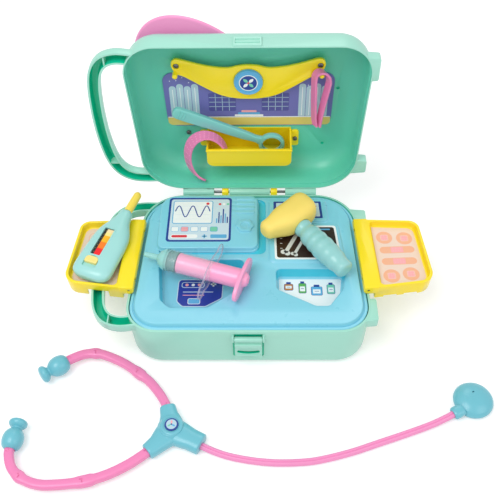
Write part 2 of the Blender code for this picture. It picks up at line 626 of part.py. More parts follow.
def join(target, other, operation):
    """Apply one exact Boolean and drop the second object."""
    step = target.modifiers.new("step", "BOOLEAN")
    step.operation = operation
    step.solver = "EXACT"
    step.object = other
    bpy.context.view_layer.objects.active = target
    bpy.ops.object.modifier_apply(modifier=step.name)
    bpy.data.objects.remove(other, do_unlink=True)
    return target


def add(target, *others):
    for other in others:
        join(target, other, "UNION")
    return target


def cut(target, *others):
    for other in others:
        join(target, other, "DIFFERENCE")
    return target


def halfWidthAt(y):
    share = y / CASE_DEPTH + 0.5
    return (CASE_FRONT_WIDTH * (1 - share) + CASE_BACK_WIDTH * share) / 2


def deckPoint(across, along):
    """From shares of the half width and half depth to the case's plan."""
    y = along * CASE_DEPTH / 2
    return (across * halfWidthAt(y), y)


def lidPoint(across, up):
    """From shares of the half width and the depth to the upright lid's X-Z plane."""
    return (across * halfWidthAt(CASE_DEPTH / 2 - up * CASE_DEPTH), LID_FOOT_Z + up * CASE_DEPTH)


def trayPoint(side, out, along, z):
    """From the tray's wall frame (outward, along the wall, up) to the case frame."""
    x = TRAY_ORIGIN_X + out * math.cos(TRAY_TILT) - along * math.sin(TRAY_TILT)
    y = out * math.sin(TRAY_TILT) + along * math.cos(TRAY_TILT)
    return (side * x, y, z)


def layPoint(across, along, up):
    """From shares of the stethoscope's spread to the floor in front of the case."""
    return Vector((across * LAY_SPREAD, along * LAY_SPREAD - CASE_DEPTH / 2, up * LAY_SPREAD))


def probeNeck():
    return Vector(trayPoint(-1, PROBE_NECK_OUT, PROBE_NECK_ALONG, TRAY_RIM_Z + PROBE_NECK_RISE))


def syringeTip():
    return Vector((*deckPoint(*SYRINGE_SHARE), BLOCK_TOP + SYRINGE_RISE))


def hammerTip():
    return Vector((*deckPoint(*HAMMER_SHARE), BLOCK_TOP + HAMMER_RISE))


def mirrorPoint(offset):
    return Vector((offset[0], POCKET_BOTTOM + offset[1]))


def casePlan(inset, steps=5):
    front, back, depth = CASE_FRONT_WIDTH / 2, CASE_BACK_WIDTH / 2, CASE_DEPTH / 2
    corners = [(-front, -depth), (front, -depth), (back, depth), (-back, depth)]
    return roundedPlan(corners, [FRONT_RADIUS, FRONT_RADIUS, BACK_RADIUS, BACK_RADIUS], inset, steps)


def shellLevels(height, fillet, wall):
    """(inset, depth) pairs from the floor's edge up to the rim."""
    steps = 3
    levels = []
    radius = fillet - wall
    for i in range(steps + 1):
        angle = math.radians(90 * i / steps)
        levels.append((wall + SHELL_DRAFT + radius * (1 - math.sin(angle)),
                       height - wall - radius * (1 - math.cos(angle))))
    return levels


def handlePoint(reach, along):
    y = along * CASE_DEPTH / 2
    return Vector((-halfWidthAt(y) - reach * HANDLE_REACH, y, 0))


def caseShell(name, height, fillet, place, fittings=()):
    """One half of the case: outer body, channelled handle loop, feet and fittings, then the cavity."""
    outer = shellLevels(height, fillet, 0.0) + [(0.0, 0.0)]
    body = skin(name, [[place(x, y, d) for x, y in casePlan(inset)] for inset, d in outer])
    half, inner = HANDLE_WIDTH / 2, HANDLE_WIDTH / 2 - HANDLE_WALL
    shoulder, crown = HANDLE_DEPTH * 0.69, HANDLE_WIDTH * 0.286
    section = [
        (-half, 0), (-half, shoulder), (-crown, HANDLE_DEPTH), (crown, HANDLE_DEPTH), (half, shoulder), (half, 0),
        (inner, 0), (inner, shoulder), (crown - SOFT, HANDLE_DEPTH - HANDLE_WALL),
        (SOFT - crown, HANDLE_DEPTH - HANDLE_WALL), (-inner, shoulder), (-inner, 0),
    ]
    path = smoothPath([handlePoint(*share) for share in HANDLE_SHARES], 2)
    rings = []
    for here, ahead in zip(path, directions(path)):
        rings.append([place(here.x - ahead.y * a, here.y + ahead.x * a, d) for a, d in section])
    add(body, skin("handle", rings))
    for share, wide, long in ((CROSS_RIB_SHARE, RIB_WIDTH, RIB_LENGTH), (LONG_RIB_SHARE, RIB_LENGTH, RIB_WIDTH)):
        spot = handlePoint(*share)
        plan = rectangle(spot.x - wide / 2, spot.y - long / 2, spot.x + wide / 2, spot.y + long / 2)
        add(body, skin("rib", [[place(x, y, d) for x, y in plan] for d in (SOFT, HANDLE_DEPTH - SOFT)]))
    plane = max(CASE_FRONT_WIDTH, CASE_BACK_WIDTH) / 2 + FOOT_REACH
    for shares in FOOT_SHARES:
        y0, y1 = (share * CASE_DEPTH / 2 for share in shares)
        root = halfWidthAt(y0) - FOOT_ROOT
        plan = [(root, y0 - CUT_PAST), (plane, y0), (plane, y1), (root, y1 + CUT_PAST)]
        add(body, stack("foot", plan, [SOFT, 2 * SOFT, 2 * SOFT, SOFT], [(0, FIT), (0, FIT + FOOT_HEIGHT)], 2, place))
    add(body, *fittings)
    hollow = shellLevels(height, fillet, SHELL_WALL)
    hollow += [(SHELL_WALL + FIT, RIM_RELIEF), (SHELL_WALL + FIT / 3, RIM_RELIEF * 0.8), (SHELL_WALL, -CUT_PAST)]
    return cut(body, skin("cavity", [[place(x, y, d) for x, y in casePlan(inset)] for inset, d in hollow]))


def basePlace(x, y, d):
    return (x, y, BASE_HEIGHT - d)


def hingeAxis():
    return CASE_DEPTH / 2 + HINGE_OFFSET


def lidPlace(x, y, d):
    """The lid's mating plane stands upright behind the hinge axis."""
    return (x, hingeAxis() + FIT * 2 / 3 + d, BASE_HEIGHT + hingeAxis() - y)


def hingeRod(name, x0, x1, radius=HINGE_RADIUS, steps=14):
    return rod(name, radius, (x0, hingeAxis(), BASE_HEIGHT), (x1, hingeAxis(), BASE_HEIGHT), steps)


def pinBore(x0, x1):
    return hingeRod("bore", x0, x1, HINGE_PIN_RADIUS + FIT, 14)


def spread(sign, shares):
    """An X span on one side of the case's back, from shares of its half width."""
    return sorted(sign * share * CASE_BACK_WIDTH / 2 for share in shares)


def latchHeight(share):
    return LATCH_LOW + share * (LATCH_TOP - LATCH_LOW)


def buildBase():
    axis, front = hingeAxis(), -CASE_DEPTH / 2
    fittings = []
    for sign in (-1, 1):
        x0, x1 = spread(sign, LOBE_SHARES)
        web = box("web", (x0, axis - HINGE_OFFSET - CUT_PAST, BASE_HEIGHT - WEB_HEIGHT), (x1, axis, BASE_HEIGHT - FIT))
        stop = box("stop", (x0 + STOP_INSET, axis - RUN_IN, BASE_HEIGHT - STOP_DROP),
                   (x1 - STOP_INSET, axis + STOP_REACH, BASE_HEIGHT + HINGE_RADIUS))
        fittings.append(add(web, hingeRod("lobe", x0, x1), stop))
    halfBack = LATCH_HALF_WIDTH + RIM_RELIEF
    fittings.append(box("back", (-halfBack, front + SOFT, latchHeight(0) - RIM_RELIEF),
                        (halfBack, front + RIM_RELIEF, BASE_HEIGHT - RIM_RELIEF)))
    base = caseShell("base_shell", BASE_HEIGHT, BASE_FILLET, basePlace, fittings)
    reach = PIN_SHARE * CASE_BACK_WIDTH / 2 + CUT_PAST
    cut(base, pinBore(-reach, reach))
    ear = [(-EAR_INNER, BASE_HEIGHT - EAR_DROP), (-EAR_INNER, TRAY_PIVOT_Z + EAR_SHOULDER),
           (TRAY_PIVOT_OUT, TRAY_PIVOT_Z + EAR_CROWN), (0.0, TRAY_PIVOT_Z + EAR_CROWN),
           (EAR_OUTER, TRAY_PIVOT_Z + EAR_SHOULDER), (EAR_OUTER, BASE_HEIGHT - CUT_PAST),
           (-FIT, BASE_HEIGHT - EAR_DROP * 0.8), (-2 * FIT, BASE_HEIGHT - EAR_DROP)]
    for sign in (-1, 1):
        for station in (-EAR_SHARE * TRAY_HALF_LENGTH, EAR_SHARE * TRAY_HALF_LENGTH):
            add(base, skin("ear", [[trayPoint(sign, out, station + side * EAR_THICKNESS / 2, z) for out, z in ear]
                                   for side in (-1, 1)]))
            ends = [trayPoint(sign, TRAY_PIVOT_OUT, station + side * EAR_THICKNESS, TRAY_PIVOT_Z) for side in (-1, 1)]
            cut(base, rod("hole", TRAY_PIN_RADIUS + FIT, *ends))
    scoop = rectangle(-LATCH_HALF_WIDTH - CHEEK_WIDTH * 0.75, latchHeight(0) - SCOOP_DEPTH,
                      LATCH_HALF_WIDTH + CHEEK_WIDTH * 0.75, LATCH_TOP + SCOOP_DEPTH)
    cut(base, plate("scoop", scoop, [4 * SOFT, 4 * SOFT, 3 * SOFT, 3 * SOFT], front - CUT_PAST, front + SCOOP_DEPTH,
                    place=upright))
    pivotY = front - LATCH_STAND
    for sign in (-1, 1):
        near = LATCH_HALF_WIDTH + FIT
        x0, x1 = sorted((sign * near, sign * (near + CHEEK_WIDTH)))
        plan = rectangle(x0, LATCH_PIVOT - CHEEK_HEIGHT / 2, x1, LATCH_PIVOT + CHEEK_HEIGHT / 2)
        add(base, plate("cheek", plan, [SOFT / 2] * 4, front - CHEEK_STAND, front + SHELL_WALL, steps=2, place=upright))
        cut(base, rod("hole", LATCH_STUB_RADIUS + FIT, (sign * (near - FIT), pivotY, LATCH_PIVOT),
                      (sign * (near + CHEEK_WIDTH + FIT), pivotY, LATCH_PIVOT)))
    return base


def buildLatch():
    """A flap on two stub pins that swings up over the lid's catch."""
    front = -CASE_DEPTH / 2
    half, pivotY = LATCH_HALF_WIDTH, front - LATCH_STAND
    flap = plate("latch_flap", rectangle(-half, LATCH_LOW, half, LATCH_TOP), [3.5 * SOFT, 3.5 * SOFT, SOFT, SOFT],
                 pivotY, pivotY + LATCH_SHEET, place=upright)
    add(flap, rod("barrel", LATCH_BARREL_RADIUS, (-half, pivotY, LATCH_PIVOT), (half, pivotY, LATCH_PIVOT), 16))
    reach = half + LATCH_STUB_REACH
    add(flap, rod("stub", LATCH_STUB_RADIUS, (-reach, pivotY, LATCH_PIVOT), (reach, pivotY, LATCH_PIVOT)))
    low, high = (latchHeight(share) for share in LATCH_BAR_SHARES)
    add(flap, plate("bar", rectangle(FIT - half, low, half - FIT, high), [SOFT] * 4, pivotY - LATCH_BAR_STAND,
                    pivotY + SOFT, steps=2, place=upright))
    low, high = (latchHeight(share) for share in LATCH_SLOT_SHARES)
    cut(flap, plate("slot", rectangle(LATCH_SHEET - half, low, half - LATCH_SHEET, high), [SOFT] * 4,
                    pivotY - 2 * CUT_PAST, pivotY + 2 * CUT_PAST, steps=2, place=upright))
    scoopZ = LATCH_LOW - LATCH_SCOOP_DROP
    cut(flap, rod("scoop", LATCH_SCOOP_RADIUS, (0, pivotY - 2 * CUT_PAST, scoopZ), (0, pivotY + 2 * CUT_PAST, scoopZ), 32))
    return flap


def buildDeck():
    """The moulded deck: a thin raised plateau with tubs, blocks, ridges and a knob relief."""
    rim, low = SHELL_WALL + DECK_GAP, BASE_HEIGHT - DECK_FLANGE
    under = DECK_TOP - DECK_SHEET
    levels = [
        (rim + DECK_WEB + 1.8 * SOFT, under), (rim + DECK_WEB + 0.6 * SOFT, under - 0.8 * SOFT), (rim + DECK_WEB, low),
        (rim, low), (rim, BASE_HEIGHT - 1.6 * SOFT), (rim + 0.6 * SOFT, BASE_HEIGHT - SOFT),
        (rim + DECK_LEDGE, BASE_HEIGHT - 0.8 * SOFT), (rim + DECK_LEDGE + 0.9 * SOFT, BASE_HEIGHT + 1.6 * SOFT),
        (rim + DECK_LEDGE + 2.4 * SOFT, DECK_TOP),
    ]
    deck = skin("deck", [[(x, y, z) for x, y in casePlan(inset)] for inset, z in levels])
    wells = [(0.0, DECK_TOP + CUT_PAST), (0.0, DECK_TOP), (0.6 * DECK_SHEET, DECK_TOP - 0.6 * DECK_SHEET),
             (1.6 * DECK_SHEET, RECESS_FLOOR + 0.8 * DECK_SHEET), (2.4 * DECK_SHEET, RECESS_FLOOR)]
    for shares, radii in ((LEFT_RECESS_SHARES, LEFT_RECESS_RADII), (RIGHT_RECESS_SHARES, RIGHT_RECESS_RADII)):
        corners = [deckPoint(*share) for share in shares]
        add(deck, stack("tub", corners, radii, [(DECK_SHEET / 2, RECESS_FLOOR - DECK_SHEET),
                                                (-0.8 * DECK_SHEET, DECK_TOP - RUN_IN)]))
        cut(deck, stack("well", corners, radii, wells))
    for shares, radii, rise in ((MONITOR_SHARES, MONITOR_RADII, MONITOR_RISE), (CHART_SHARES, CHART_RADII, CHART_RISE),
                                (XRAY_SHARES, XRAY_RADII, XRAY_RISE)):
        corners = [deckPoint(*share) for share in shares]
        add(deck, stack("block", corners, radii, [
            (-BLOCK_SKIRT, DECK_TOP - RUN_IN), (-0.4 * BLOCK_SKIRT, DECK_TOP + 0.08 * MONITOR_RISE),
            (0.0, DECK_TOP + rise * 0.65), (BLOCK_SKIRT, DECK_TOP + rise)]))
    monitor = [deckPoint(*share) for share in MONITOR_SHARES]
    cut(deck, stack("hollow", monitor, MONITOR_RADII, [(MONITOR_HOLLOW, BASE_HEIGHT - 2 * CUT_PAST),
                                                       (MONITOR_HOLLOW, BLOCK_TOP - DECK_SHEET)]))
    start, end = deckPoint(*RIDGE_START_SHARE), deckPoint(*RIDGE_END_SHARE)
    for i in range(RIDGE_COUNT):
        y = start[1] + (end[1] - start[1]) * i / (RIDGE_COUNT - 1)
        plan = rectangle(start[0], y - RIDGE_HALF_WIDTH, end[0], y + RIDGE_HALF_WIDTH)
        add(deck, plate("ridge", plan, [0.95 * RIDGE_HALF_WIDTH] * 4, BLOCK_TOP - RUN_IN, BLOCK_TOP + RIDGE_HEIGHT,
                        RIDGE_HEIGHT / 2))
    centre = Vector(deckPoint(*KNOB_SHARE))
    knob = []
    for i in range(KNOB_LOBES * 4):
        angle = 2 * math.pi * i / (KNOB_LOBES * 4)
        radius = KNOB_RADIUS + KNOB_SCALLOP * math.cos(KNOB_LOBES * angle)
        knob.append(Vector((math.cos(angle), math.sin(angle))) * radius)
    heights = ((1.0, BLOCK_TOP - RUN_IN), (1.0, BLOCK_TOP + KNOB_HEIGHT * 0.67), (0.9, BLOCK_TOP + KNOB_HEIGHT))
    add(deck, skin("knob", [[(*(centre + point * grow), z) for point in knob] for grow, z in heights]))
    return deck


def card(name, corners, radii, face, steps=3, place=level):
    low = face + CARD_LIFT
    return plate(name, corners, radii, low, low + CARD_THICKNESS, steps=steps, place=place)


def buildDeckCards():
    for name, shares, radii, face in (
            ("monitor_card", MONITOR_CARD_SHARES, MONITOR_CARD_RADII, BLOCK_TOP),
            ("chart_card", CHART_CARD_SHARES, CHART_CARD_RADII, DECK_TOP + CHART_RISE),
            ("xray_card", XRAY_CARD_SHARES, XRAY_CARD_RADII, DECK_TOP + XRAY_RISE),
            ("bottle_card", BOTTLE_CARD_SHARES, BOTTLE_CARD_RADII, RECESS_FLOOR),
            ("recess_label", LABEL_SHARES, LABEL_RADII, RECESS_FLOOR)):
        card(name, [deckPoint(*share) for share in shares], radii, face)


def buildHinge():
    axis, half = hingeAxis(), PIN_SHARE * CASE_BACK_WIDTH / 2
    radius = HINGE_PIN_RADIUS
    turned("hinge_pin", [(0, 0), (radius - FIT, 0), (radius, FIT), (radius, 2 * half - FIT), (radius - FIT, 2 * half),
                         (0, 2 * half)], (-half, axis, BASE_HEIGHT), (1, 0, 0), 10)
    for sign, label in ((-1, "left"), (1, "right")):
        x0, x1 = spread(sign, CLIP_SHARES)
        clip = hingeRod("hinge_clip_" + label, x0, x1)
        wall = CASE_DEPTH / 2 + FIT
        add(clip, box("tail", (x0, wall, BASE_HEIGHT - CLIP_TAIL), (x1, wall + CLIP_TAIL_THICKNESS, BASE_HEIGHT)))
        cut(clip, pinBore(x0 - CUT_PAST, x1 + CUT_PAST))


def buildLid():
    axis = hingeAxis()
    lid = caseShell("lid_shell", LID_HEIGHT, LID_FILLET, lidPlace)
    half = KNUCKLE_SHARE * CASE_BACK_WIDTH / 2
    web = box("web", (-half, axis + 2 * FIT, BASE_HEIGHT), (half, axis + RIM_RELIEF, LID_FOOT_Z + SHELL_WALL / 2))
    add(lid, hingeRod("knuckle", -half, half), web)
    cut(lid, pinBore(-half - CUT_PAST, half + CUT_PAST))
    top, plane = BASE_HEIGHT + axis + CASE_DEPTH / 2, axis + FIT
    add(lid, box("catch", (-CATCH_HALF_WIDTH, plane, top - CATCH_STAND), (CATCH_HALF_WIDTH, plane + CATCH_DEPTH,
                                                                          top + CATCH_STAND)))
    inner = CATCH_HALF_WIDTH - CATCH_WALL
    cut(lid, box("groove", (-inner, axis + CATCH_GROOVE[0], top + CATCH_STAND * 0.45),
                 (inner, axis + CATCH_GROOVE[1], top + CATCH_STAND + CUT_PAST)))
    add(lid, box("lip", (-inner, axis + CATCH_LIP[0], top + CATCH_STAND * 0.25),
                 (inner, axis + CATCH_LIP[1], top + CATCH_STAND * 0.95)))
    blind = SHELL_WALL * 2
    for share in PLAIN_HOLE_SHARES:
        x, z = lidPoint(*share)
        cut(lid, rod("hole", PLAIN_HOLE_RADIUS, (x, LID_FLOOR_Y - blind, z), (x, LID_FLOOR_Y + SHELL_WALL / 2, z)))
    pocketHoles = [(sign * (POCKET_HALF_WIDTH + LUG_SCREW[0]), POCKET_BOTTOM + LUG_SCREW[1]) for sign in (-1, 1)]
    wingHoles = [lidPoint(sign * WING_SCREW_SHARE[0], WING_SCREW_SHARE[1]) for sign in (-1, 1)]
    through = [(*lidPoint(*share), PLAIN_HOLE_RADIUS) for share in EMBLEM_SCREW_SHARES]
    through += [(x, z, SCREW_BORE) for x, z in pocketHoles + wingHoles]
    for x, z, radius in through:
        cut(lid, rod("hole", radius, (x, LID_FLOOR_Y - CUT_PAST, z), (x, LID_BACK_Y + 2 * CUT_PAST, z)))
    return lid


def screw(name, x, z, headY, length, headRadius=SCREW_HEAD):
    """A pan-head screw pointing back."""
    back = SCREW_HEAD_HEIGHT
    return turned(name, [(headRadius * 0.6, 0), (headRadius, back * 0.45), (headRadius, back), (SCREW_SHAFT, back),
                         (SCREW_SHAFT, back + length - SOFT), (FIT, back + length)], (x, headY - FIT, z), (0, 1, 0), 8)


def buildEmblem():
    aim = Vector((math.cos(EMBLEM_ANGLE), math.sin(EMBLEM_ANGLE)))
    cross = Vector((aim.y, -aim.x))
    centre = Vector(lidPoint(*EMBLEM_CENTRE_SHARE))
    low, high = LID_BACK_Y + EMBLEM_STAND, LID_BACK_Y + EMBLEM_STAND + EMBLEM_THICKNESS
    rings = []
    for shrink, y in ((2 * SOFT, low), (0.4 * SOFT, low + SOFT / 2), (0.0, low + 1.4 * SOFT), (0.0, high - 1.2 * SOFT),
                      (1.4 * SOFT, high)):
        ring = []
        for x, z in oval(EMBLEM_HALF_LENGTH - shrink, EMBLEM_HALF_WIDTH - shrink, 2.0, 36):
            point = centre + aim * x + cross * z
            ring.append((point.x, y, point.y))
        rings.append(ring)
    emblem = skin("emblem", rings)
    for number, share in enumerate(EMBLEM_SCREW_SHARES, 1):
        x, z = lidPoint(*share)
        cut(emblem, rod("hole", SCREW_BORE, (x, low - RUN_IN, z), (x, low + 0.7 * EMBLEM_THICKNESS, z)))
        screw("emblem_screw_%d" % number, x, z, LID_FLOOR_Y - SCREW_HEAD_HEIGHT, SCREW_LENGTH, SCREW_HEAD)


def buildWing():
    """The winged holder on two hollow legs, with two pegs and a badge disc."""
    outline = [lidPoint(x, z) for x, z in WING_SHARES] + [lidPoint(-x, z) for x, z in WING_SHARES[-2:0:-1]]
    outline = [Vector(point) for point in outline]
    front, back = LID_FLOOR_Y - WING_STAND, LID_FLOOR_Y - WING_STAND + WING_THICKNESS
    rings = []
    for shrink, y in ((SOFT, front), (0.0, front + SOFT), (0.0, back)):
        ring = []
        for i, here in enumerate(outline):
            ahead = (outline[(i + 1) % len(outline)] - outline[i - 1]).normalized()
            ring.append((here.x + ahead.y * shrink, y, here.y - ahead.x * shrink))
        rings.append(ring)
    wing = skin("wing_plate", rings)
    for sign, label in ((-1, "left"), (1, "right")):
        x, z = lidPoint(sign * WING_SCREW_SHARE[0], WING_SCREW_SHARE[1])
        add(wing, rod("leg", WING_LEG_RADIUS, (x, back - RUN_IN, z), (x, LID_FLOOR_Y - FIT, z), 18))
        cut(wing, rod("well", WING_WELL_RADIUS, (x, front - RUN_IN, z), (x, front + WING_WELL_DEPTH, z), 16))
        cut(wing, rod("hole", SCREW_BORE, (x, front, z), (x, LID_FLOOR_Y + CUT_PAST, z)))
        screw("wing_screw_" + label, x, z, front + 2 * FIT, WING_SCREW_LENGTH)
        x, z = lidPoint(sign * PEG_SHARE[0], PEG_SHARE[1])
        add(wing, turned("peg", [(0, 0), (PEG_RADIUS - SOFT, 0), (PEG_RADIUS, SOFT), (PEG_RADIUS, PEG_LENGTH + RUN_IN),
                                 (0, PEG_LENGTH + RUN_IN)], (x, front - PEG_LENGTH, z), (0, 1, 0)))
    x, z = lidPoint(*BADGE_SHARE)
    radius, thick = BADGE_RADIUS, BADGE_THICKNESS
    turned("wing_badge", [(0, 0), (radius - SOFT, 0), (radius - FIT, FIT), (radius, SOFT), (radius, thick), (0, thick)],
           (x, front - thick - FIT, z), (0, 1, 0), 28)


def buildPocket():
    half, front, back = POCKET_HALF_WIDTH, LID_FLOOR_Y - POCKET_DEPTH, LID_FLOOR_Y - FIT
    top = POCKET_BOTTOM + POCKET_BACK_HEIGHT
    pocket = plate("pocket", rectangle(-half, POCKET_BOTTOM, half, top), POCKET_RADII, front, back, place=upright)
    inner = rectangle(-half, POCKET_BOTTOM, half, top + 2 * CUT_PAST)
    cut(pocket, stack("cavity", inner, POCKET_RADII, [(POCKET_WALL, front + POCKET_WALL), (POCKET_WALL, back - POCKET_WALL)],
                      place=upright))
    frontTop, rear = POCKET_BOTTOM + POCKET_FRONT_HEIGHT, back - 2 * POCKET_WALL
    slope = [(front - RUN_IN, frontTop), (rear, top - 2 * FIT), (rear, top + 2 * CUT_PAST), (front - RUN_IN, top + 2 * CUT_PAST)]
    cut(pocket, skin("slope", [[(x, y, z) for y, z in slope] for x in (-half - CUT_PAST, half + CUT_PAST)]))
    for sign, label in ((-1, "left"), (1, "right")):
        x0, x1 = sorted((sign * (half - RUN_IN), sign * (half + POCKET_LUG)))
        lug = rectangle(x0, POCKET_BOTTOM + LUG_RISE[0], x1, POCKET_BOTTOM + LUG_RISE[1])
        add(pocket, plate("lug", lug, [LUG_RADIUS] * 4, back - LUG_SHEET, back, steps=4, place=upright))
        x, z = sign * (half + LUG_SCREW[0]), POCKET_BOTTOM + LUG_SCREW[1]
        cut(pocket, rod("hole", SCREW_BORE, (x, back - 2 * LUG_SHEET, z), (x, back + CUT_PAST, z)))
        screw("pocket_screw_" + label, x, z, back - LUG_SHEET - SCREW_HEAD_HEIGHT, SCREW_LENGTH - SOFT)
    lowX, lowZ = BACKDROP_LOW_SHARE * CASE_BACK_WIDTH / 2, top + BACKDROP_LIFT
    topX, topZ = lidPoint(*BACKDROP_TOP_SHARES)
    face = LID_FLOOR_Y - BACKDROP_STAND
    plate("backdrop_card", [(-lowX, lowZ), (lowX, lowZ), (topX, topZ), (-topX, topZ)], BACKDROP_RADII, face,
          face + BACKDROP_THICKNESS, steps=5, place=upright)


def trayPlan(innerOut=None):
    plan = [(out * TRAY_REACH, along * TRAY_HALF_LENGTH) for out, along in TRAY_SHARES]
    if innerOut is not None:
        plan[0], plan[3] = (innerOut, plan[0][1]), (innerOut, plan[3][1])
    return plan


def buildTray(sign, label):
    """One fold-out tray: outer body and hinge bar, then the pocket, the skirt and the ear slots."""
    def place(out, along, z):
        return trayPoint(sign, out, along, z)

    outer = [(TRAY_DRAFT, TRAY_SKIRT_Z), (TRAY_DRAFT / 2, TRAY_FLOOR_Z - 4 * SOFT), (0.2 * SOFT, TRAY_RIM_Z - 1.4 * SOFT),
             (0.4 * SOFT, TRAY_RIM_Z - 0.4 * SOFT), (SOFT, TRAY_RIM_Z)]
    tray = stack("tray_" + label, trayPlan(), TRAY_RADII, outer, 4, place)
    radius = TRAY_BAR_RADIUS
    section = [(radius * math.cos(math.radians(angle)), radius * math.sin(math.radians(angle)))
               for angle in (180, 202.5, 225, 247.5, 270)]
    section += [(TRAY_BAR_REACH, -radius), (TRAY_BAR_REACH, TRAY_BAR_TOP), (SOFT - radius, TRAY_BAR_TOP),
                (-radius, TRAY_BAR_TOP - SOFT)]
    front, back = -TRAY_HALF_LENGTH - FIT, TRAY_HALF_LENGTH - 2 * FIT
    add(tray, skin("bar", [[place(TRAY_PIVOT_OUT + a, along, TRAY_PIVOT_Z + z) for a, z in section]
                           for along in (front, back)]))
    cut(tray, stack("well", trayPlan(TRAY_WELL_FROM), TRAY_RADII, [
        (1.8 * TRAY_WALL, TRAY_FLOOR_Z), (1.35 * TRAY_WALL, TRAY_FLOOR_Z + SOFT),
        (1.1 * TRAY_WALL, TRAY_RIM_Z - 0.8 * SOFT), (0.7 * TRAY_WALL, TRAY_RIM_Z), (0.7 * TRAY_WALL, TRAY_RIM_Z + CUT_PAST)],
        4, place))
    low, under = TRAY_SKIRT_Z - CUT_PAST, TRAY_FLOOR_Z - TRAY_SHEET
    cut(tray, stack("under", trayPlan(TRAY_UNDER_FROM), TRAY_RADII, [(1.5 * TRAY_WALL, low), (1.5 * TRAY_WALL, under)],
                    3, place))
    past = TRAY_HALF_LENGTH + 2 * CUT_PAST
    for name, from_, to, high in (("clear", -TRAY_CLEAR, TRAY_CLEAR, BASE_HEIGHT + 2 * FIT),
                                  ("notch", TRAY_NOTCH[0], TRAY_NOTCH[1], under - FIT / 3)):
        cut(tray, skin(name, [[place(a, b, z) for a, b in rectangle(from_, -past, to, past)] for z in (low, high)]))
    reach, rise, drop = EAR_SLOT
    slot = rectangle(-drop, -drop, reach, rise)
    for station in (-EAR_SHARE * TRAY_HALF_LENGTH, EAR_SHARE * TRAY_HALF_LENGTH):
        cut(tray, skin("slot", [[place(TRAY_PIVOT_OUT + a, station + side * (EAR_THICKNESS / 2 + EAR_GAP),
                                       TRAY_PIVOT_Z + z) for a, z in slot] for side in (-1, 1)]))
    end = Vector(place(TRAY_PIVOT_OUT, front + TRAY_PIN_LENGTH + 2 * SOFT, TRAY_PIVOT_Z))
    cut(tray, rod("bore", TRAY_PIN_RADIUS + FIT, place(TRAY_PIVOT_OUT, front - CUT_PAST, TRAY_PIVOT_Z), end))
    start = Vector(place(TRAY_PIVOT_OUT, front + 2 * FIT, TRAY_PIVOT_Z))
    rod("tray_pin_" + label, TRAY_PIN_RADIUS, start, start + (end - start).normalized() * TRAY_PIN_LENGTH)
    plan = [(out * TRAY_REACH, along * TRAY_HALF_LENGTH) for out, along in TRAY_CARD_SHARES]
    card("tray_card_" + label, plan, TRAY_CARD_RADII, TRAY_FLOOR_Z, 4, place)


def buildSyringe():
    """Barrel with its flange, stopper, and plunger with a dented press."""
    tip, aim = syringeTip(), SYRINGE_AIM
    cross = Vector((-aim.y, aim.x, 0))
    steps = 18
    barrel = turned("syringe_barrel", scaled(BARREL_SHARES, BARREL_RADIUS, BARREL_END), tip, aim, steps)

    def across(name, halfLong, halfHigh, start, end, edge):
        rings = []
        for shrink, s in ((edge, start), (0, start + edge), (0, end - edge), (edge, end)):
            rings.append([tip + aim * s + cross * a + Vector((0, 0, b))
                          for a, b in oval(halfLong - shrink, halfHigh - shrink, 2.3, 28)])
        return skin(name, rings)

    flangeEnd = BARREL_END - FLANGE_SETBACK
    add(barrel, across("flange", FLANGE_HALF_LONG, FLANGE_HALF_HIGH, flangeEnd - FLANGE_THICKNESS, flangeEnd, 2 * FIT))
    cut(barrel, turned("bore", scaled(BORE_SHARES, BARREL_BORE, BARREL_END), tip, aim, steps))
    turned("syringe_seal", scaled(SEAL_SHARES, BARREL_BORE, BARREL_END), tip, aim)
    plunger = turned("syringe_plunger", scaled(PLUNGER_SHARES, BARREL_BORE, PLUNGER_END), tip, aim, steps)
    add(plunger, across("press", PRESS_HALF_LONG, PRESS_HALF_HIGH, PLUNGER_END - PRESS_THICKNESS, PLUNGER_END, SOFT))
    mouth = tip + aim * (PLUNGER_END + FIT)
    rings = []
    for grow, depth in ((1.0, 0.0), (FIT / DENT_REACH / 10, DENT_DEPTH)):
        rings.append([mouth - aim * depth + cross * (a * grow) + Vector((0, 0, b * grow))
                      for a, b in ((-DENT_REACH, 0), (0, -DENT_REACH), (DENT_REACH, 0), (0, DENT_REACH))])
    cut(plunger, skin("dent", rings))


def buildHammer():
    tip = hammerTip()
    across = Vector((-HAMMER_AIM.y, HAMMER_AIM.x, 0))
    rings = []
    for s, shift, wide, high in HAMMER_SHARES:
        spot = tip + HAMMER_AIM * (s * HAMMER_LENGTH)
        rings.append([spot + across * (shift * HAMMER_HALF_WIDTH + a) + Vector((0, 0, b))
                      for a, b in oval(wide * HAMMER_HALF_WIDTH, high * HAMMER_HALF_HEIGHT, 2.7, 18)])
    head = skin("hammer_head", rings)
    middle = tip + HAMMER_AIM * GRIP_FROM - Vector((0, 0, GRIP_DROP))
    for start, radius in (GRIP_SEAT, GRIP_SOCKET):
        cut(head, rod("seat", radius, middle + GRIP_AIM * start, middle + GRIP_AIM * (GRIP_SEAT[0] + SEAT_LENGTH), 16))
    turned("hammer_grip", scaled(GRIP_SHARES, GRIP_RADIUS, GRIP_LENGTH), middle, GRIP_AIM)


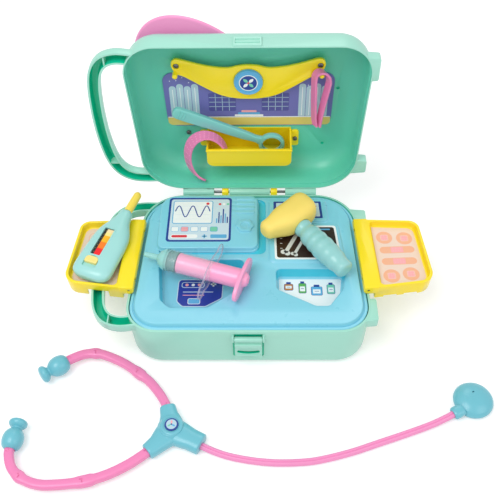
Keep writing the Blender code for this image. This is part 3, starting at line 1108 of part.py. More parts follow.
def buildThermometer():
    """The body leans in the left tray on its hinge bar; its probe reaches back past the tray."""
    neck = probeNeck()
    ahead = trayPoint(-1, PROBE_NECK_OUT + PROBE_LEAN[0], PROBE_NECK_ALONG + PROBE_LEAN[1], neck.z + PROBE_LEAN[2])
    aim = (Vector(ahead) - neck).normalized()
    across = Vector((-aim.y, aim.x, 0)).normalized()
    up = across.cross(aim) if across.cross(aim).z > 0 else aim.cross(across)

    def at(s, t, n):
        return neck + aim * s + across * t + up * n

    body = skin("thermometer_body", [[at(s * THERMOMETER_LENGTH, a, b) for a, b in oval(
        wide * THERMOMETER_HALF_WIDTH, high * THERMOMETER_HALF_HEIGHT, 2.6, 18)] for s, wide, high in THERMOMETER_SHARES])

    def pad(name, span, side, low, high, radius, steps=4):
        plan = roundedPlan(rectangle(span[0], side[0], span[1], side[1]), [radius] * 4, 0, steps)
        return skin(name, [[at(s, t, n) for s, t in plan] for n in (low, high)])

    top = THERMOMETER_HALF_HEIGHT
    cut(body, pad("window", WINDOW_SPAN, WINDOW_SIDE, top - WINDOW_DEPTH, top + CUT_PAST, SOFT / 2, 2))
    scaleLow = top - WINDOW_DEPTH + FIT
    pad("thermometer_scale", (WINDOW_SPAN[0] + SCALE_GAP, WINDOW_SPAN[1] - SCALE_GAP),
        (WINDOW_SIDE[0] + SCALE_GAP, WINDOW_SIDE[1] - SCALE_GAP), scaleLow, scaleLow + SCALE_THICKNESS, SOFT / 2, 2)
    cut(body, pad("slot", SWITCH_SPAN, SWITCH_SIDE, top - SWITCH_DEPTH, top + CUT_PAST, 3 * SOFT))
    start = SWITCH_SPAN[0] + SWITCH_GAP
    pad("thermometer_button", (start, start + BUTTON_LENGTH), (SWITCH_SIDE[0] + SWITCH_GAP, SWITCH_SIDE[1] - SWITCH_GAP),
        top - SWITCH_DEPTH + FIT, top + BUTTON_STAND, 3 * SOFT)
    cut(body, rod("bore", PROBE_BORE, neck - aim * CUT_PAST, neck + aim * (PROBE_START + FIT), 16))
    turned("thermometer_probe", scaled(PROBE_SHARES, PROBE_RADIUS, PROBE_LENGTH), neck + aim * PROBE_START, -aim, 14)


def buildMirror():
    end, ring, depth = mirrorPoint(MIRROR_END_OFFSET), mirrorPoint(MIRROR_RING_OFFSET), LID_FLOOR_Y - MIRROR_STAND
    aim = (ring - end).normalized()
    side = Vector((-aim.y, aim.x))
    length = (ring - end).length - MIRROR_RADIUS + 1.5 * SOFT
    outline = [(s * length, w * MIRROR_HALF_WIDTH) for s, w in MIRROR_SHARES]
    outline += [(s, -w) for s, w in outline[:0:-1]]
    low, high = depth - MIRROR_THICKNESS / 2, depth + MIRROR_THICKNESS / 2
    rings = []
    for shrink, y in ((0.07, low + FIT), (0.0, low + 1.4 * SOFT), (0.0, high - 1.4 * SOFT), (0.07, high - FIT)):
        points = [end + aim * (s + (length / 2 - s) * shrink * 0.25) + side * (w * (1 - shrink)) for s, w in outline]
        rings.append([(point.x, y, point.y) for point in points])
    frame = skin("mirror_frame", rings)
    bore, seat = MIRROR_RADIUS - MIRROR_LIP, MIRROR_RADIUS - MIRROR_SEAT
    half, groove = MIRROR_THICKNESS / 2, MIRROR_GROOVE
    rim = [(bore, -half), (MIRROR_RADIUS - SOFT, -half), (MIRROR_RADIUS, SOFT - half), (MIRROR_RADIUS, half - SOFT),
           (MIRROR_RADIUS - SOFT, half), (bore, half), (bore, groove), (seat, groove), (seat, -groove), (bore, -groove)]
    add(frame, turned("rim", rim, (ring.x, depth, ring.y), (0, 1, 0), 22, bored=True))
    wide, narrow, sunk = MIRROR_GRIP_HALF, MIRROR_GRIP_HALF * 0.57, low + MIRROR_GRIP_HALF
    for s in MIRROR_GRIPS:
        ends = [end + aim * s + side * reach for reach in (MIRROR_GRIP_REACH, -MIRROR_GRIP_REACH)]
        section = [(-wide, sunk), (-narrow, low - MIRROR_GRIP_STAND), (narrow, low - MIRROR_GRIP_STAND), (wide, sunk)]
        add(frame, skin("grip", [[(q.x + aim.x * t, y, q.y + aim.y * t) for t, y in section] for q in ends]))
    rod("mirror_disc", seat - FIT, (ring.x, depth - MIRROR_DISC_THICKNESS / 2, ring.y),
        (ring.x, depth + MIRROR_DISC_THICKNESS / 2, ring.y), 22)


def buildBand():
    """A C-shaped bracelet strip hooked over the pocket's left wall."""
    rings = []
    total = 22
    front = LID_FLOOR_Y - POCKET_DEPTH + BAND_STAND
    centre = Vector((-POCKET_HALF_WIDTH, POCKET_BOTTOM + BAND_RISE))
    for i in range(total + 1):
        angle = math.radians(BAND_FROM + (BAND_TO - BAND_FROM) * i / total)
        lean = BAND_LEAN * max(0.0, (angle - math.radians(150)) / math.radians(BAND_TO - 150))
        half = BAND_BREADTH / 2 * min(1.0, 0.35 + 0.47 * min(i, total - i))
        middle = front + BAND_BREADTH / 2 - lean
        out = Vector((math.cos(angle), math.sin(angle)))
        outer, inner = ((centre.x + (BAND_HALF_WIDTH - thin) * out.x, centre.y + (BAND_HALF_HEIGHT - thin) * out.y)
                        for thin in (0.0, BAND_THICKNESS))
        rings.append([(inner[0], middle - half, inner[1]), (outer[0], middle - half, outer[1]),
                      (outer[0], middle + half, outer[1]), (inner[0], middle + half, inner[1])])
    skin("plaster_band", rings)


def buildTweezers():
    """One bent strip hanging on the wing plate's right peg."""
    peg = Vector(lidPoint(*PEG_SHARE))
    path = smoothPath([peg + Vector(share) * TWEEZER_LENGTH for share in TWEEZER_SHARES], 2)
    low = LID_FLOOR_Y - WING_STAND - TWEEZER_STAND - TWEEZER_WIDTH / 2
    high = low + TWEEZER_WIDTH
    rings = []
    for here, ahead in zip(path, directions(path)):
        side = Vector((-ahead.y, ahead.x)) * (TWEEZER_THICKNESS / 2)
        a, b = here + side, here - side
        rings.append([(a.x, low, a.y), (b.x, low, b.y), (b.x, high, b.y), (a.x, high, a.y)])
    skin("tweezers", rings)


def buildYoke(centre):
    """The Y-piece: three flattened sockets around a raised boss."""
    yoke = turned("yoke", scaled(YOKE_SHARES, YOKE_RADIUS, YOKE_HEIGHT), centre, (0, 0, 1), 18)
    for arm, shares in zip(YOKE_ARM_SHARES, YOKE_WIDTH_SHARES):
        path = [centre + Vector((x, y, 0)) * YOKE_ARM for x, y in arm]
        scales = [(wide * YOKE_ARM_SECTION, high * YOKE_ARM_SECTION) for wide, high in shares]
        path.append(path[-1] + (path[-1] - path[-2]).normalized() * YOKE_MOUTH)
        scales.append((scales[-1][0] - YOKE_MOUTH, scales[-1][1] - YOKE_MOUTH))
        add(yoke, sweep("arm", path, oval(1, 1, 2.6, 12), scales))
    return yoke


def buildEarArm(label, stations, tip):
    """A hollow-backed plastic arm with an ear piece of a ball and a cup on its end."""
    path = smoothPath(stations, 2)
    scales = []
    for i in range(len(path)):
        t = i / (len(path) - 1)
        step = ARM_STEP if 0.36 < t < 0.44 or 0.7 < t < 0.76 else 0.0
        scales.append((ARM_HALF_WIDTH + step, ARM_HALF_HEIGHT - (FIT if t < 0.06 else 0.0)))
    arm = sweep("ear_arm_" + label, path, oval(1, 1, 2.8, 10), scales)
    half = ARM_GROOVE_HALF
    channel = rectangle(-half, ARM_GROOVE_FLOOR, half, ARM_HALF_HEIGHT + CUT_PAST)
    cut(arm, sweep("groove", path[5:-5], channel))
    end, aim = path[-1], (path[-1] - path[-2]).normalized()
    ball = turned("ear_tip_" + label, scaled(EAR_TIP_SHARES, EAR_TIP_RADIUS, EAR_TIP_LENGTH), end, tip - end, 14)
    cut(ball, rod("socket", EAR_TIP_BORE, end - aim * 4 * CUT_PAST, end + aim * EAR_TIP_SEAT))


def buildStethoscope():
    centre = layPoint(*YOKE_SHARE)
    yoke = buildYoke(centre)
    arms = {"top": [layPoint(*share) for share in ARM_TOP_SHARES], "low": [layPoint(*share) for share in ARM_LOW_SHARES]}
    for stations in arms.values():
        ahead = (stations[1] - stations[0]).normalized()
        cut(yoke, rod("socket", ARM_SOCKET, stations[0] - ahead * 2 * SOFT, stations[0] + ahead * 3 * CUT_PAST))
    chest = layPoint(*CHEST_SHARE)
    route = [layPoint(*share) for share in TUBE_SHARES] + [chest + Vector(offset) for offset in TUBE_END_OFFSETS]
    ahead, bore = (route[1] - route[0]).normalized(), TUBE_RADIUS + TUBE_SOCKET
    cut(yoke, rod("socket", bore, route[0] - ahead * FIT, route[0] + ahead * 3 * CUT_PAST))
    spot = centre + Vector(BADGE_BOSS_OFFSET) + Vector((0, 0, YOKE_HEIGHT))
    turned("yoke_badge", [(0, 0), (BADGE_BOSS - 0.8 * SOFT, 0), (BADGE_BOSS, SOFT / 2), (BADGE_BOSS, SOFT),
                          (BADGE_BOSS - 2 * FIT, BADGE_BOSS_HEIGHT), (0, BADGE_BOSS_HEIGHT)], spot, (0, 0, 1), 20)
    for label, share in (("top", TIP_TOP_SHARE), ("low", TIP_LOW_SHARE)):
        buildEarArm(label, arms[label], layPoint(*share))
    tube = bpy.data.curves.new("stethoscope_tube", "CURVE")
    tube.dimensions = "3D"
    tube.bevel_depth = TUBE_RADIUS * MM
    tube.bevel_resolution = 2
    tube.use_fill_caps = True
    fine = smoothPath(route, 3)
    spline = tube.splines.new("POLY")
    spline.points.add(len(fine) - 1)
    for point, here in zip(spline.points, fine):
        point.co = (*(here * MM), 1)
    bpy.context.scene.collection.objects.link(bpy.data.objects.new("stethoscope_tube", tube))
    cup = turned("chest_cup", scaled(CUP_SHARES, CHEST_RADIUS, CHEST_HEIGHT), chest, (0, 0, 1), 22)
    last, aim = route[-1], (route[-1] - route[-2]).normalized()
    add(cup, sweep("nozzle", [last + aim * s for s, _, _ in NOZZLE_STATIONS], oval(1, 1, 2.3, 18),
                   [(wide, high) for _, wide, high in NOZZLE_STATIONS]))
    cut(cup, rod("socket", bore, last - aim * 3 * CUT_PAST, last + aim * FIT))
    vent = chest + Vector((*VENT_OFFSET, 0))
    cut(cup, rod("vent", VENT_RADIUS, vent + Vector((0, 0, CHEST_HEIGHT * 0.72)), vent + Vector((0, 0, CHEST_HEIGHT * 1.3)), 10))
    turned("chest_ring", scaled(RING_SHARES, CHEST_RADIUS, CHEST_HEIGHT), chest, (0, 0, 1), 22)


def pivot(name, spot, pieces):
    """An empty on a joint's axis that carries the pieces which turn or slide there."""
    empty = bpy.data.objects.new(name, None)
    empty.location = Vector(spot) * MM
    bpy.context.scene.collection.objects.link(empty)
    inverse = Matrix.Translation(empty.location).inverted()
    for piece in pieces:
        item = bpy.data.objects[piece]
        item.parent = empty
        item.matrix_parent_inverse = inverse


def setPivots():
    axis, front = hingeAxis(), -CASE_DEPTH / 2
    lid = [item.name for item in bpy.data.objects if item.name.startswith(("lid", "emblem", "wing", "pocket", "backdrop"))]
    pivot("lidPivot", (0, axis, BASE_HEIGHT), lid)
    pivot("latchPivot", (0, front - LATCH_STAND, LATCH_PIVOT), ["latch_flap"])
    for sign, label in ((-1, "left"), (1, "right")):
        pieces = ["tray_" + label, "tray_pin_" + label, "tray_card_" + label]
        pivot(label + "TrayPivot", trayPoint(sign, TRAY_PIVOT_OUT, 0, TRAY_PIVOT_Z), pieces)
    pivot("thermometerPlace", probeNeck(), ["thermometer_body", "thermometer_probe", "thermometer_scale", "thermometer_button"])
    pivot("syringePlace", syringeTip(), ["syringe_barrel", "syringe_plunger", "syringe_seal"])
    pivot("hammerPlace", hammerTip(), ["hammer_head", "hammer_grip"])
    ring = mirrorPoint(MIRROR_RING_OFFSET)
    pivot("mirrorPlace", (ring.x, LID_FLOOR_Y - MIRROR_STAND, ring.y), ["mirror_frame", "mirror_disc"])
    pivot("bandPlace", (-POCKET_HALF_WIDTH, LID_FLOOR_Y - POCKET_DEPTH, POCKET_BOTTOM + BAND_RISE), ["plaster_band"])
    peg = lidPoint(*PEG_SHARE)
    pivot("tweezersPlace", (peg[0], LID_FLOOR_Y - WING_STAND, peg[1]), ["tweezers"])
    loose = [item.name for item in bpy.data.objects
             if item.name.startswith(("yoke", "ear_arm", "ear_tip", "stethoscope", "chest"))]
    pivot("stethoscopePlace", layPoint(*YOKE_SHARE), loose)


def setFinishes():
    for item in bpy.data.objects:
        if item.type == "EMPTY":
            continue
        key = max((name for name in FINISH_OF if item.name.startswith(name)), key=len)
        colour, roughness, metallic = FINISHES[FINISH_OF[key]]
        material = bpy.data.materials.new(item.name)
        material.use_nodes = True
        shader = material.node_tree.nodes["Principled BSDF"]
        shader.inputs["Base Color"].default_value = (*colour, 1.0)
        shader.inputs["Roughness"].default_value = roughness
        shader.inputs["Metallic"].default_value = metallic
        item.data.materials.append(material)


clearScene()
buildBase()
buildLatch()
buildDeck()
buildDeckCards()
buildHinge()
buildLid()
buildEmblem()
buildWing()
buildPocket()
buildTray(-1, "left")
buildTray(1, "right")
buildSyringe()
buildHammer()
buildThermometer()
buildMirror()
buildBand()
buildTweezers()
buildStethoscope()
setPivots()
setFinishes()
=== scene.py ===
# Toy doctor case, dressed over its CAD frame. Piece sizes are in millimetres, turned into metres by mm.
import math

import bmesh
import bpy
from mathutils import Matrix, Vector


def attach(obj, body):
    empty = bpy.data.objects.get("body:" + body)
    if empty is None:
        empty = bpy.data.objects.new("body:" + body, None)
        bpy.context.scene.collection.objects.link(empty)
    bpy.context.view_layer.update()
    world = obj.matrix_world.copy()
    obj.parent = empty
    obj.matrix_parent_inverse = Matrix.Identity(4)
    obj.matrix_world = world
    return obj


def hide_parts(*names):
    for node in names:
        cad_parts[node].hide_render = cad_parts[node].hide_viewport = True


mm = 0.001
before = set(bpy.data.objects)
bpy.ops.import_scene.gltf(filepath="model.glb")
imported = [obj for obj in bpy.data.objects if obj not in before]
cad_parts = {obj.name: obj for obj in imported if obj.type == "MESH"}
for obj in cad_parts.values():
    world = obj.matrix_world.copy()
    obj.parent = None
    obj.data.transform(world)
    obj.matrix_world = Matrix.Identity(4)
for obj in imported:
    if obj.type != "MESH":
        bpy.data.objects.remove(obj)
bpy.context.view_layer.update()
print("frame loaded:", len(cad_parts), "nodes")


# hand tools: selecting, extruding, placing


def fresh():
    if bpy.context.object and bpy.context.object.mode != "OBJECT":
        bpy.ops.object.mode_set(mode="OBJECT")
    bpy.ops.object.select_all(action="DESELECT")


def only(piece):
    fresh()
    piece.select_set(True)
    bpy.context.view_layer.objects.active = piece
    return piece


def openMesh(piece, kind="FACE"):
    only(piece)
    bpy.ops.object.mode_set(mode="EDIT")
    bpy.ops.mesh.select_mode(type=kind)
    bpy.ops.mesh.select_all(action="DESELECT")


def closeMesh():
    bpy.ops.object.mode_set(mode="OBJECT")


def pickVerts(piece, test):
    shape = bmesh.from_edit_mesh(piece.data)
    for vert in shape.verts:
        vert.select = bool(test(vert.co / mm))
    shape.select_flush(True)
    bmesh.update_edit_mesh(piece.data)


def pickEdges(piece, test):
    shape = bmesh.from_edit_mesh(piece.data)
    for edge in shape.edges:
        edge.select = bool(test(edge.verts[0].co / mm, edge.verts[1].co / mm))
    bmesh.update_edit_mesh(piece.data)


def pickFaces(piece, test):
    shape = bmesh.from_edit_mesh(piece.data)
    for face in shape.faces:
        face.select_set(bool(test(face.calc_center_median() / mm, face.normal)))
    bmesh.update_edit_mesh(piece.data)


# bevels the edges whose two ends pass the test
def roundEdges(piece, test, width, segments=3):
    openMesh(piece, "EDGE")
    pickEdges(piece, test)
    bpy.ops.mesh.bevel(offset=width * mm, segments=segments, profile=0.5, affect="EDGES", clamp_overlap=True)
    closeMesh()


def facesOut(piece):
    openMesh(piece)
    bpy.ops.mesh.select_all(action="SELECT")
    bpy.ops.mesh.remove_doubles(threshold=0.002 * mm)
    bpy.ops.mesh.normals_make_consistent(inside=False)
    closeMesh()
    return piece


# applies a piece's place, turn and scale, so its object sits at the origin
def settle(piece):
    only(piece)
    bpy.ops.object.transform_apply(location=True, rotation=True, scale=True)
    return piece


def put(piece, matrix):
    piece.matrix_world = matrix
    settle(piece)
    if matrix.determinant() < 0:
        facesOut(piece)
    return piece


# a frame whose +Z is aim and whose +X is side
def along(origin, aim, side=None):
    aim = Vector(aim).normalized()
    side = Vector(side) if side else aim.orthogonal()
    side = (side - aim * side.dot(aim)).normalized()
    turn = Matrix((side, aim.cross(side), aim)).transposed().to_4x4()
    return Matrix.Translation(Vector(origin) * mm) @ turn


def apply(piece, kind, **values):
    step = piece.modifiers.new(kind.lower(), kind)
    for key, value in values.items():
        setattr(step, key, value)
    only(piece)
    bpy.ops.object.modifier_apply(modifier=step.name)
    return piece


def weld(piece, *others):
    for other in others:
        apply(piece, "BOOLEAN", operation="UNION", solver="EXACT", object=other)
        bpy.data.objects.remove(other, do_unlink=True)
    return piece


def carve(piece, *cutters):
    for cutter in cutters:
        apply(piece, "BOOLEAN", operation="DIFFERENCE", solver="EXACT", object=cutter)
        bpy.data.objects.remove(cutter, do_unlink=True)
    return piece


def soften(piece, width=0.5, segments=2, angle=35):
    return apply(piece, "BEVEL", width=width * mm, segments=segments, limit_method="ANGLE",
                 angle_limit=math.radians(angle), harden_normals=False, use_clamp_overlap=True)


def smooth(piece, angle=35):
    only(piece)
    bpy.ops.object.shade_smooth_by_angle(angle=math.radians(angle))
    return piece


def joinUp(pieces):
    fresh()
    for piece in pieces:
        piece.select_set(True)
    bpy.context.view_layer.objects.active = pieces[0]
    bpy.ops.object.join()
    return pieces[0]


# one flat face with rounded corners: an n-gon whose corners are bevelled one by one
def plan(name, corners, radii, z=0.0, segments=8):
    fresh()
    bpy.ops.mesh.primitive_circle_add(vertices=len(corners), radius=1, fill_type="NGON")
    piece = bpy.context.object
    piece.name = name
    for vert, corner in zip(piece.data.vertices, corners):
        vert.co = (corner[0] * mm, corner[1] * mm, z * mm)
    for i, radius in enumerate(radii):
        if radius <= 0:
            continue
        here = Vector(corners[i])
        before, after = Vector(corners[i - 1]) - here, Vector(corners[(i + 1) % len(corners)]) - here
        reach = min(radius / math.tan(before.angle(after) / 2), before.length * 0.49, after.length * 0.49)
        openMesh(piece, "VERT")
        pickVerts(piece, lambda co: (co.xy - here).length < 0.01)
        bpy.ops.mesh.bevel(offset=reach * mm, segments=segments, profile=0.5, affect="VERTICES")
        closeMesh()
    return piece


# extrudes the whole flat plan upward; each step is (rise, inset)
def raiseFace(piece, steps):
    openMesh(piece)
    bpy.ops.mesh.select_all(action="SELECT")
    for rise, inset in steps:
        if abs(inset) > 1e-6:
            bpy.ops.mesh.inset(thickness=abs(inset) * mm, depth=0, use_outset=inset < 0, use_boundary=True)
            if rise:
                bpy.ops.transform.translate(value=(0, 0, rise * mm))
        else:
            bpy.ops.mesh.extrude_region_move(TRANSFORM_OT_translate={"value": (0, 0, rise * mm)})
    closeMesh()
    return facesOut(piece)


# a flat-bottomed plate with rounded corners and softened top or bottom edges
def slab(name, corners, radii, low, high, edge=0.0, lowEdge=0.0, segments=8, edgeSegments=3):
    piece = raiseFace(plan(name, corners, radii, low, segments), [(high - low, 0)])
    if edge:
        roundEdges(piece, lambda a, b: abs(a.z - high) < 1e-3 and abs(b.z - high) < 1e-3, edge, edgeSegments)
    if lowEdge:
        roundEdges(piece, lambda a, b: abs(a.z - low) < 1e-3 and abs(b.z - low) < 1e-3, lowEdge, edgeSegments)
    return piece


def rect(x0, y0, x1, y1):
    return [(x0, y0), (x1, y0), (x1, y1), (x0, y1)]


# extrudes one ring face through (z, halfX, halfY, centreX, centreY) stations
def stack(name, rings, sides=48, power=2.0):
    fresh()
    z, rx, ry, cx, cy = (tuple(rings[0]) + (0.0, 0.0))[:5]
    bpy.ops.mesh.primitive_circle_add(vertices=sides, radius=1, fill_type="NGON")
    piece = bpy.context.object
    piece.name = name
    for vert in piece.data.vertices:
        c, s = vert.co.x, vert.co.y
        x = math.copysign(abs(c) ** (2 / power), c)
        y = math.copysign(abs(s) ** (2 / power), s)
        vert.co = ((cx + x * rx) * mm, (cy + y * ry) * mm, z * mm)
    openMesh(piece)
    bpy.ops.mesh.select_all(action="SELECT")
    for ring in rings[1:]:
        nz, nrx, nry, ncx, ncy = (tuple(ring) + (0.0, 0.0))[:5]
        move = ((ncx - cx) * mm, (ncy - cy) * mm, (nz - z) * mm)
        bpy.ops.mesh.extrude_region_move(TRANSFORM_OT_translate={"value": move})
        bpy.ops.transform.resize(value=(nrx / rx, nry / ry, 1), center_override=(ncx * mm, ncy * mm, nz * mm))
        z, rx, ry, cx, cy = nz, nrx, nry, ncx, ncy
    closeMesh()
    return facesOut(piece)


# turns (radius, z) pairs about +Z
def turned(name, profile, sides=48):
    return stack(name, [(z, max(r, 0.05), max(r, 0.05)) for r, z in profile], sides)


def rod(radius, start, end, sides=24, edge=0.0):
    start, end = Vector(start), Vector(end)
    length = (end - start).length
    if edge:
        profile = [(radius - edge, 0), (radius - edge * 0.3, edge * 0.3), (radius, edge),
                   (radius, length - edge), (radius - edge * 0.3, length - edge * 0.3),
                   (radius - edge, length)]
    else:
        profile = [(radius, 0), (radius, length)]
    return put(turned("rod", profile, sides), along(start, end - start))


def block(low, high, edge=0.0, segments=2):
    piece = slab("block", rect(low[0], low[1], high[0], high[1]), [0] * 4, low[2], high[2])
    if edge:
        openMesh(piece, "EDGE")
        bpy.ops.mesh.select_all(action="SELECT")
        bpy.ops.mesh.bevel(offset=edge * mm, segments=segments, profile=0.5, affect="EDGES")
        closeMesh()
    return piece


# a poly curve through points in millimetres
def curve(name, points, closed=False, twist="MINIMUM"):
    data = bpy.data.curves.new(name, "CURVE")
    data.dimensions = "3D"
    data.twist_mode = twist
    line = data.splines.new("POLY")
    line.points.add(len(points) - 1)
    for point, here in zip(line.points, points):
        point.co = (here[0] * mm, here[1] * mm, here[2] * mm, 1)
    line.use_cyclic_u = closed
    item = bpy.data.objects.new(name, data)
    bpy.context.scene.collection.objects.link(item)
    return item


# a smooth route through a few stations
def easy(points, pieces=6):
    stations = [Vector(p) for p in points]
    stations = [stations[0] * 2 - stations[1]] + stations + [stations[-1] * 2 - stations[-2]]
    route = []
    for i in range(1, len(stations) - 2):
        a, b, c, d = stations[i - 1:i + 3]
        for s in range(pieces):
            t = s / pieces
            route.append(0.5 * (2 * b + (c - a) * t + (2 * a - 5 * b + 4 * c - d) * t * t
                                + (3 * b - a - 3 * c + d) * t ** 3))
    route.append(stations[-2])
    return route


# a section of (side, up) points carried along a route as one bridged skin
def sweep(name, route, section, up=(0, 0, 1), widths=None, sizes=None):
    fresh()
    route = [Vector(p) for p in route]
    count = len(section)
    shape = bmesh.new()
    rings = []
    for i, here in enumerate(route):
        ahead = (route[min(i + 1, len(route) - 1)] - route[max(i - 1, 0)]).normalized()
        side = Vector(widths[i]).normalized() if widths else ahead.cross(Vector(up)).normalized()
        side = (side - ahead * side.dot(ahead)).normalized()
        lift = side.cross(ahead)
        ga, gb = sizes[i] if sizes else (1.0, 1.0)
        rings.append([shape.verts.new((here + side * (a * ga) + lift * (b * gb)) * mm) for a, b in section])
    for first, second in zip(rings, rings[1:]):
        for j in range(count):
            k = (j + 1) % count
            shape.faces.new((first[j], first[k], second[k], second[j]))
    shape.faces.new(rings[0][::-1])
    shape.faces.new(rings[-1])
    data = bpy.data.meshes.new(name)
    shape.to_mesh(data)
    shape.free()
    piece = bpy.data.objects.new(name, data)
    bpy.context.scene.collection.objects.link(piece)
    return facesOut(piece)


def ovalSection(halfWide, halfHigh, power=2.0, count=24):
    points = []
    for i in range(count):
        angle = 2 * math.pi * i / count
        c, s = math.cos(angle), math.sin(angle)
        points.append((halfWide * math.copysign(abs(c) ** (2 / power), c),
                       halfHigh * math.copysign(abs(s) ** (2 / power), s)))
    return points


# a flat strip's section with its four corners cut by (across, through)
def flatSection(half, thick, across, through):
    low = thick - through
    return [(-half, -low), (-half + across, -thick), (half - across, -thick), (half, -low), (half, low),
            (half - across, thick), (-half + across, thick), (-half, low)]


# finishes


def socketsOf(group, inputs, outputs):
    for name, kind, value in inputs:
        socket = group.interface.new_socket(name=name, in_out="INPUT", socket_type=kind)
        socket.default_value = value
    for name, kind in outputs:
        group.interface.new_socket(name=name, in_out="OUTPUT", socket_type=kind)


def setInputs(node, values):
    for name, value in values.items():
        node.inputs[name].default_value = value
    return node


# a maths node fed by sockets or plain numbers; gives back its output
def mathNode(tree, operation, *terms):
    node = tree.nodes.new("ShaderNodeMath")
    node.operation = operation
    for socket, term in zip(node.inputs, terms):
        if isinstance(term, bpy.types.NodeSocket):
            tree.links.new(term, socket)
        else:
            socket.default_value = term
    return node.outputs[0]


# moulded plastic: slow colour drift, handling scuffs and a fine orange-peel height
def buildMouldSkin():
    group = bpy.data.node_groups.new("mouldSkin", "ShaderNodeTree")
    socketsOf(group, [("Colour", "NodeSocketColor", (0.5, 0.5, 0.5, 1)), ("Drift", "NodeSocketFloat", 0.05),
                      ("Gloss", "NodeSocketFloat", 0.3), ("Scuff", "NodeSocketFloat", 0.08),
                      ("Grain", "NodeSocketFloat", 900.0)],
              [("Colour", "NodeSocketColor"), ("Roughness", "NodeSocketFloat"),
               ("Height", "NodeSocketFloat")])
    nodes, link = group.nodes, group.links.new
    enter, leave = nodes.new("NodeGroupInput"), nodes.new("NodeGroupOutput")
    place = nodes.new("ShaderNodeTexCoord")
    slow = setInputs(nodes.new("ShaderNodeTexNoise"), {"Scale": 14, "Detail": 3})
    fine = setInputs(nodes.new("ShaderNodeTexNoise"), {"Detail": 2})
    scratch = setInputs(nodes.new("ShaderNodeTexNoise"), {"Scale": 60, "Detail": 6})
    for texture in (slow, fine, scratch):
        link(place.outputs["Object"], texture.inputs["Vector"])
    link(enter.outputs["Grain"], fine.inputs["Scale"])
    centred = mathNode(group, "SUBTRACT", slow.outputs["Fac"], 0.5)
    amount = mathNode(group, "MULTIPLY", centred, enter.outputs["Drift"])
    tone = nodes.new("ShaderNodeHueSaturation")
    link(enter.outputs["Colour"], tone.inputs["Color"])
    link(mathNode(group, "ADD", amount, 1.0), tone.inputs["Value"])
    link(tone.outputs["Color"], leave.inputs["Colour"])
    rough = mathNode(group, "MULTIPLY_ADD", scratch.outputs["Fac"], enter.outputs["Scuff"],
                     enter.outputs["Gloss"])
    link(rough, leave.inputs["Roughness"])
    link(fine.outputs["Fac"], leave.inputs["Height"])
    return group


mouldSkin = buildMouldSkin()


# screen colour 0-255 to the scene's own light values
def linear(colour):
    shares = [c / 255 for c in colour[:3]]
    return tuple(s / 12.92 if s <= 0.04045 else ((s + 0.055) / 1.055) ** 2.4 for s in shares)


def shaderOf(material):
    return next(n for n in material.node_tree.nodes if n.type == "BSDF_PRINCIPLED")


skinSizes = {"reliefDeep": 0.3, "coatRough": 0.1}


# one moulded plastic; colour is the screen colour of its lit side
def moulded(name, colour, gloss=0.3, drift=0.06, scuff=0.1, grain=700.0, bump=0.02, coat=0.0, metal=0.0,
            alpha=1.0):
    material = bpy.data.materials.new(name)
    material.use_nodes = True
    nodes, link = material.node_tree.nodes, material.node_tree.links.new
    shader = setInputs(shaderOf(material), {"Coat Weight": coat, "Coat Roughness": skinSizes["coatRough"],
                                            "Metallic": metal, "Alpha": alpha})
    skin = nodes.new("ShaderNodeGroup")
    skin.node_tree = mouldSkin
    setInputs(skin, {"Colour": linear(colour) + (1,), "Drift": drift, "Gloss": gloss, "Scuff": scuff,
                     "Grain": grain})
    relief = setInputs(nodes.new("ShaderNodeBump"), {"Strength": bump,
                                                     "Distance": skinSizes["reliefDeep"] * mm})
    link(skin.outputs["Colour"], shader.inputs["Base Color"])
    link(skin.outputs["Roughness"], shader.inputs["Roughness"])
    link(skin.outputs["Height"], relief.inputs["Height"])
    link(relief.outputs["Normal"], shader.inputs["Normal"])
    return material


# printing ink: even, satin and nearly smooth
def printed(name, colour, gloss=0.32, drift=0.02):
    return moulded(name, colour, gloss=gloss, drift=drift, bump=0.005)


def dress(piece, material):
    piece.data.materials.clear()
    piece.data.materials.append(material)
    return piece


green = moulded("caseGreen", (159, 219, 201), gloss=0.30, coat=0.15)
# painted shade: the case's inside faces get a deeper green, and its channels, recesses, pits and slots a
# darker green still, standing in for the shade that falls there
paintedShadeGreen = moulded("caseInsidePaintedShade", (100, 206, 180), gloss=0.34, coat=0.1)
paintedDeepShadeGreen = moulded("caseChannelPaintedShade", (8, 198, 158), gloss=0.34, coat=0.1)
blue = moulded("deckBlue", (136, 212, 232), gloss=0.24, coat=0.3)
# painted shade: a deeper blue for the deck's steep sides, its wells' walls and the valley, standing in for
# the shade there
paintedShadeBlue = moulded("deckValleyPaintedShade", (64, 200, 224), gloss=0.24, coat=0.3)
yellow = moulded("sunYellow", (255, 226, 20), gloss=0.26, coat=0.2)
paleYellow = moulded("probeYellow", (253, 224, 92), gloss=0.3)
creamYellow = moulded("buttonYellow", (250, 230, 140), gloss=0.3)
softYellow = moulded("vinylYellow", (253, 224, 112), gloss=0.42, scuff=0.15, grain=400, bump=0.05)
pink = moulded("pink", (238, 132, 184), gloss=0.3, coat=0.15)
emblemPink = moulded("emblemPink", (246, 152, 202), gloss=0.3, coat=0.15)
bubblegum = moulded("plungerPink", (255, 164, 206), gloss=0.24, coat=0.3)
teal = moulded("tealGrip", (148, 208, 206), gloss=0.28, coat=0.2)
seaTeal = moulded("tubeTeal", (108, 188, 204), gloss=0.28, coat=0.2)
paleTeal = moulded("thermoTeal", (162, 220, 216), gloss=0.26, coat=0.2)
steel = moulded("zincScrew", (120, 122, 124), gloss=0.35, metal=0.9)
tubePink = moulded("softTube", (240, 146, 196), gloss=0.36, drift=0.08, grain=500)
grey = moulded("sealGrey", (92, 146, 146), gloss=0.42, drift=0.5)
inkWhite = printed("inkWhite", (244, 248, 248))
inkPale = printed("inkPale", (206, 226, 238))
inkSky = printed("inkSky", (96, 176, 222))
inkNavy = printed("inkNavy", (38, 66, 150))
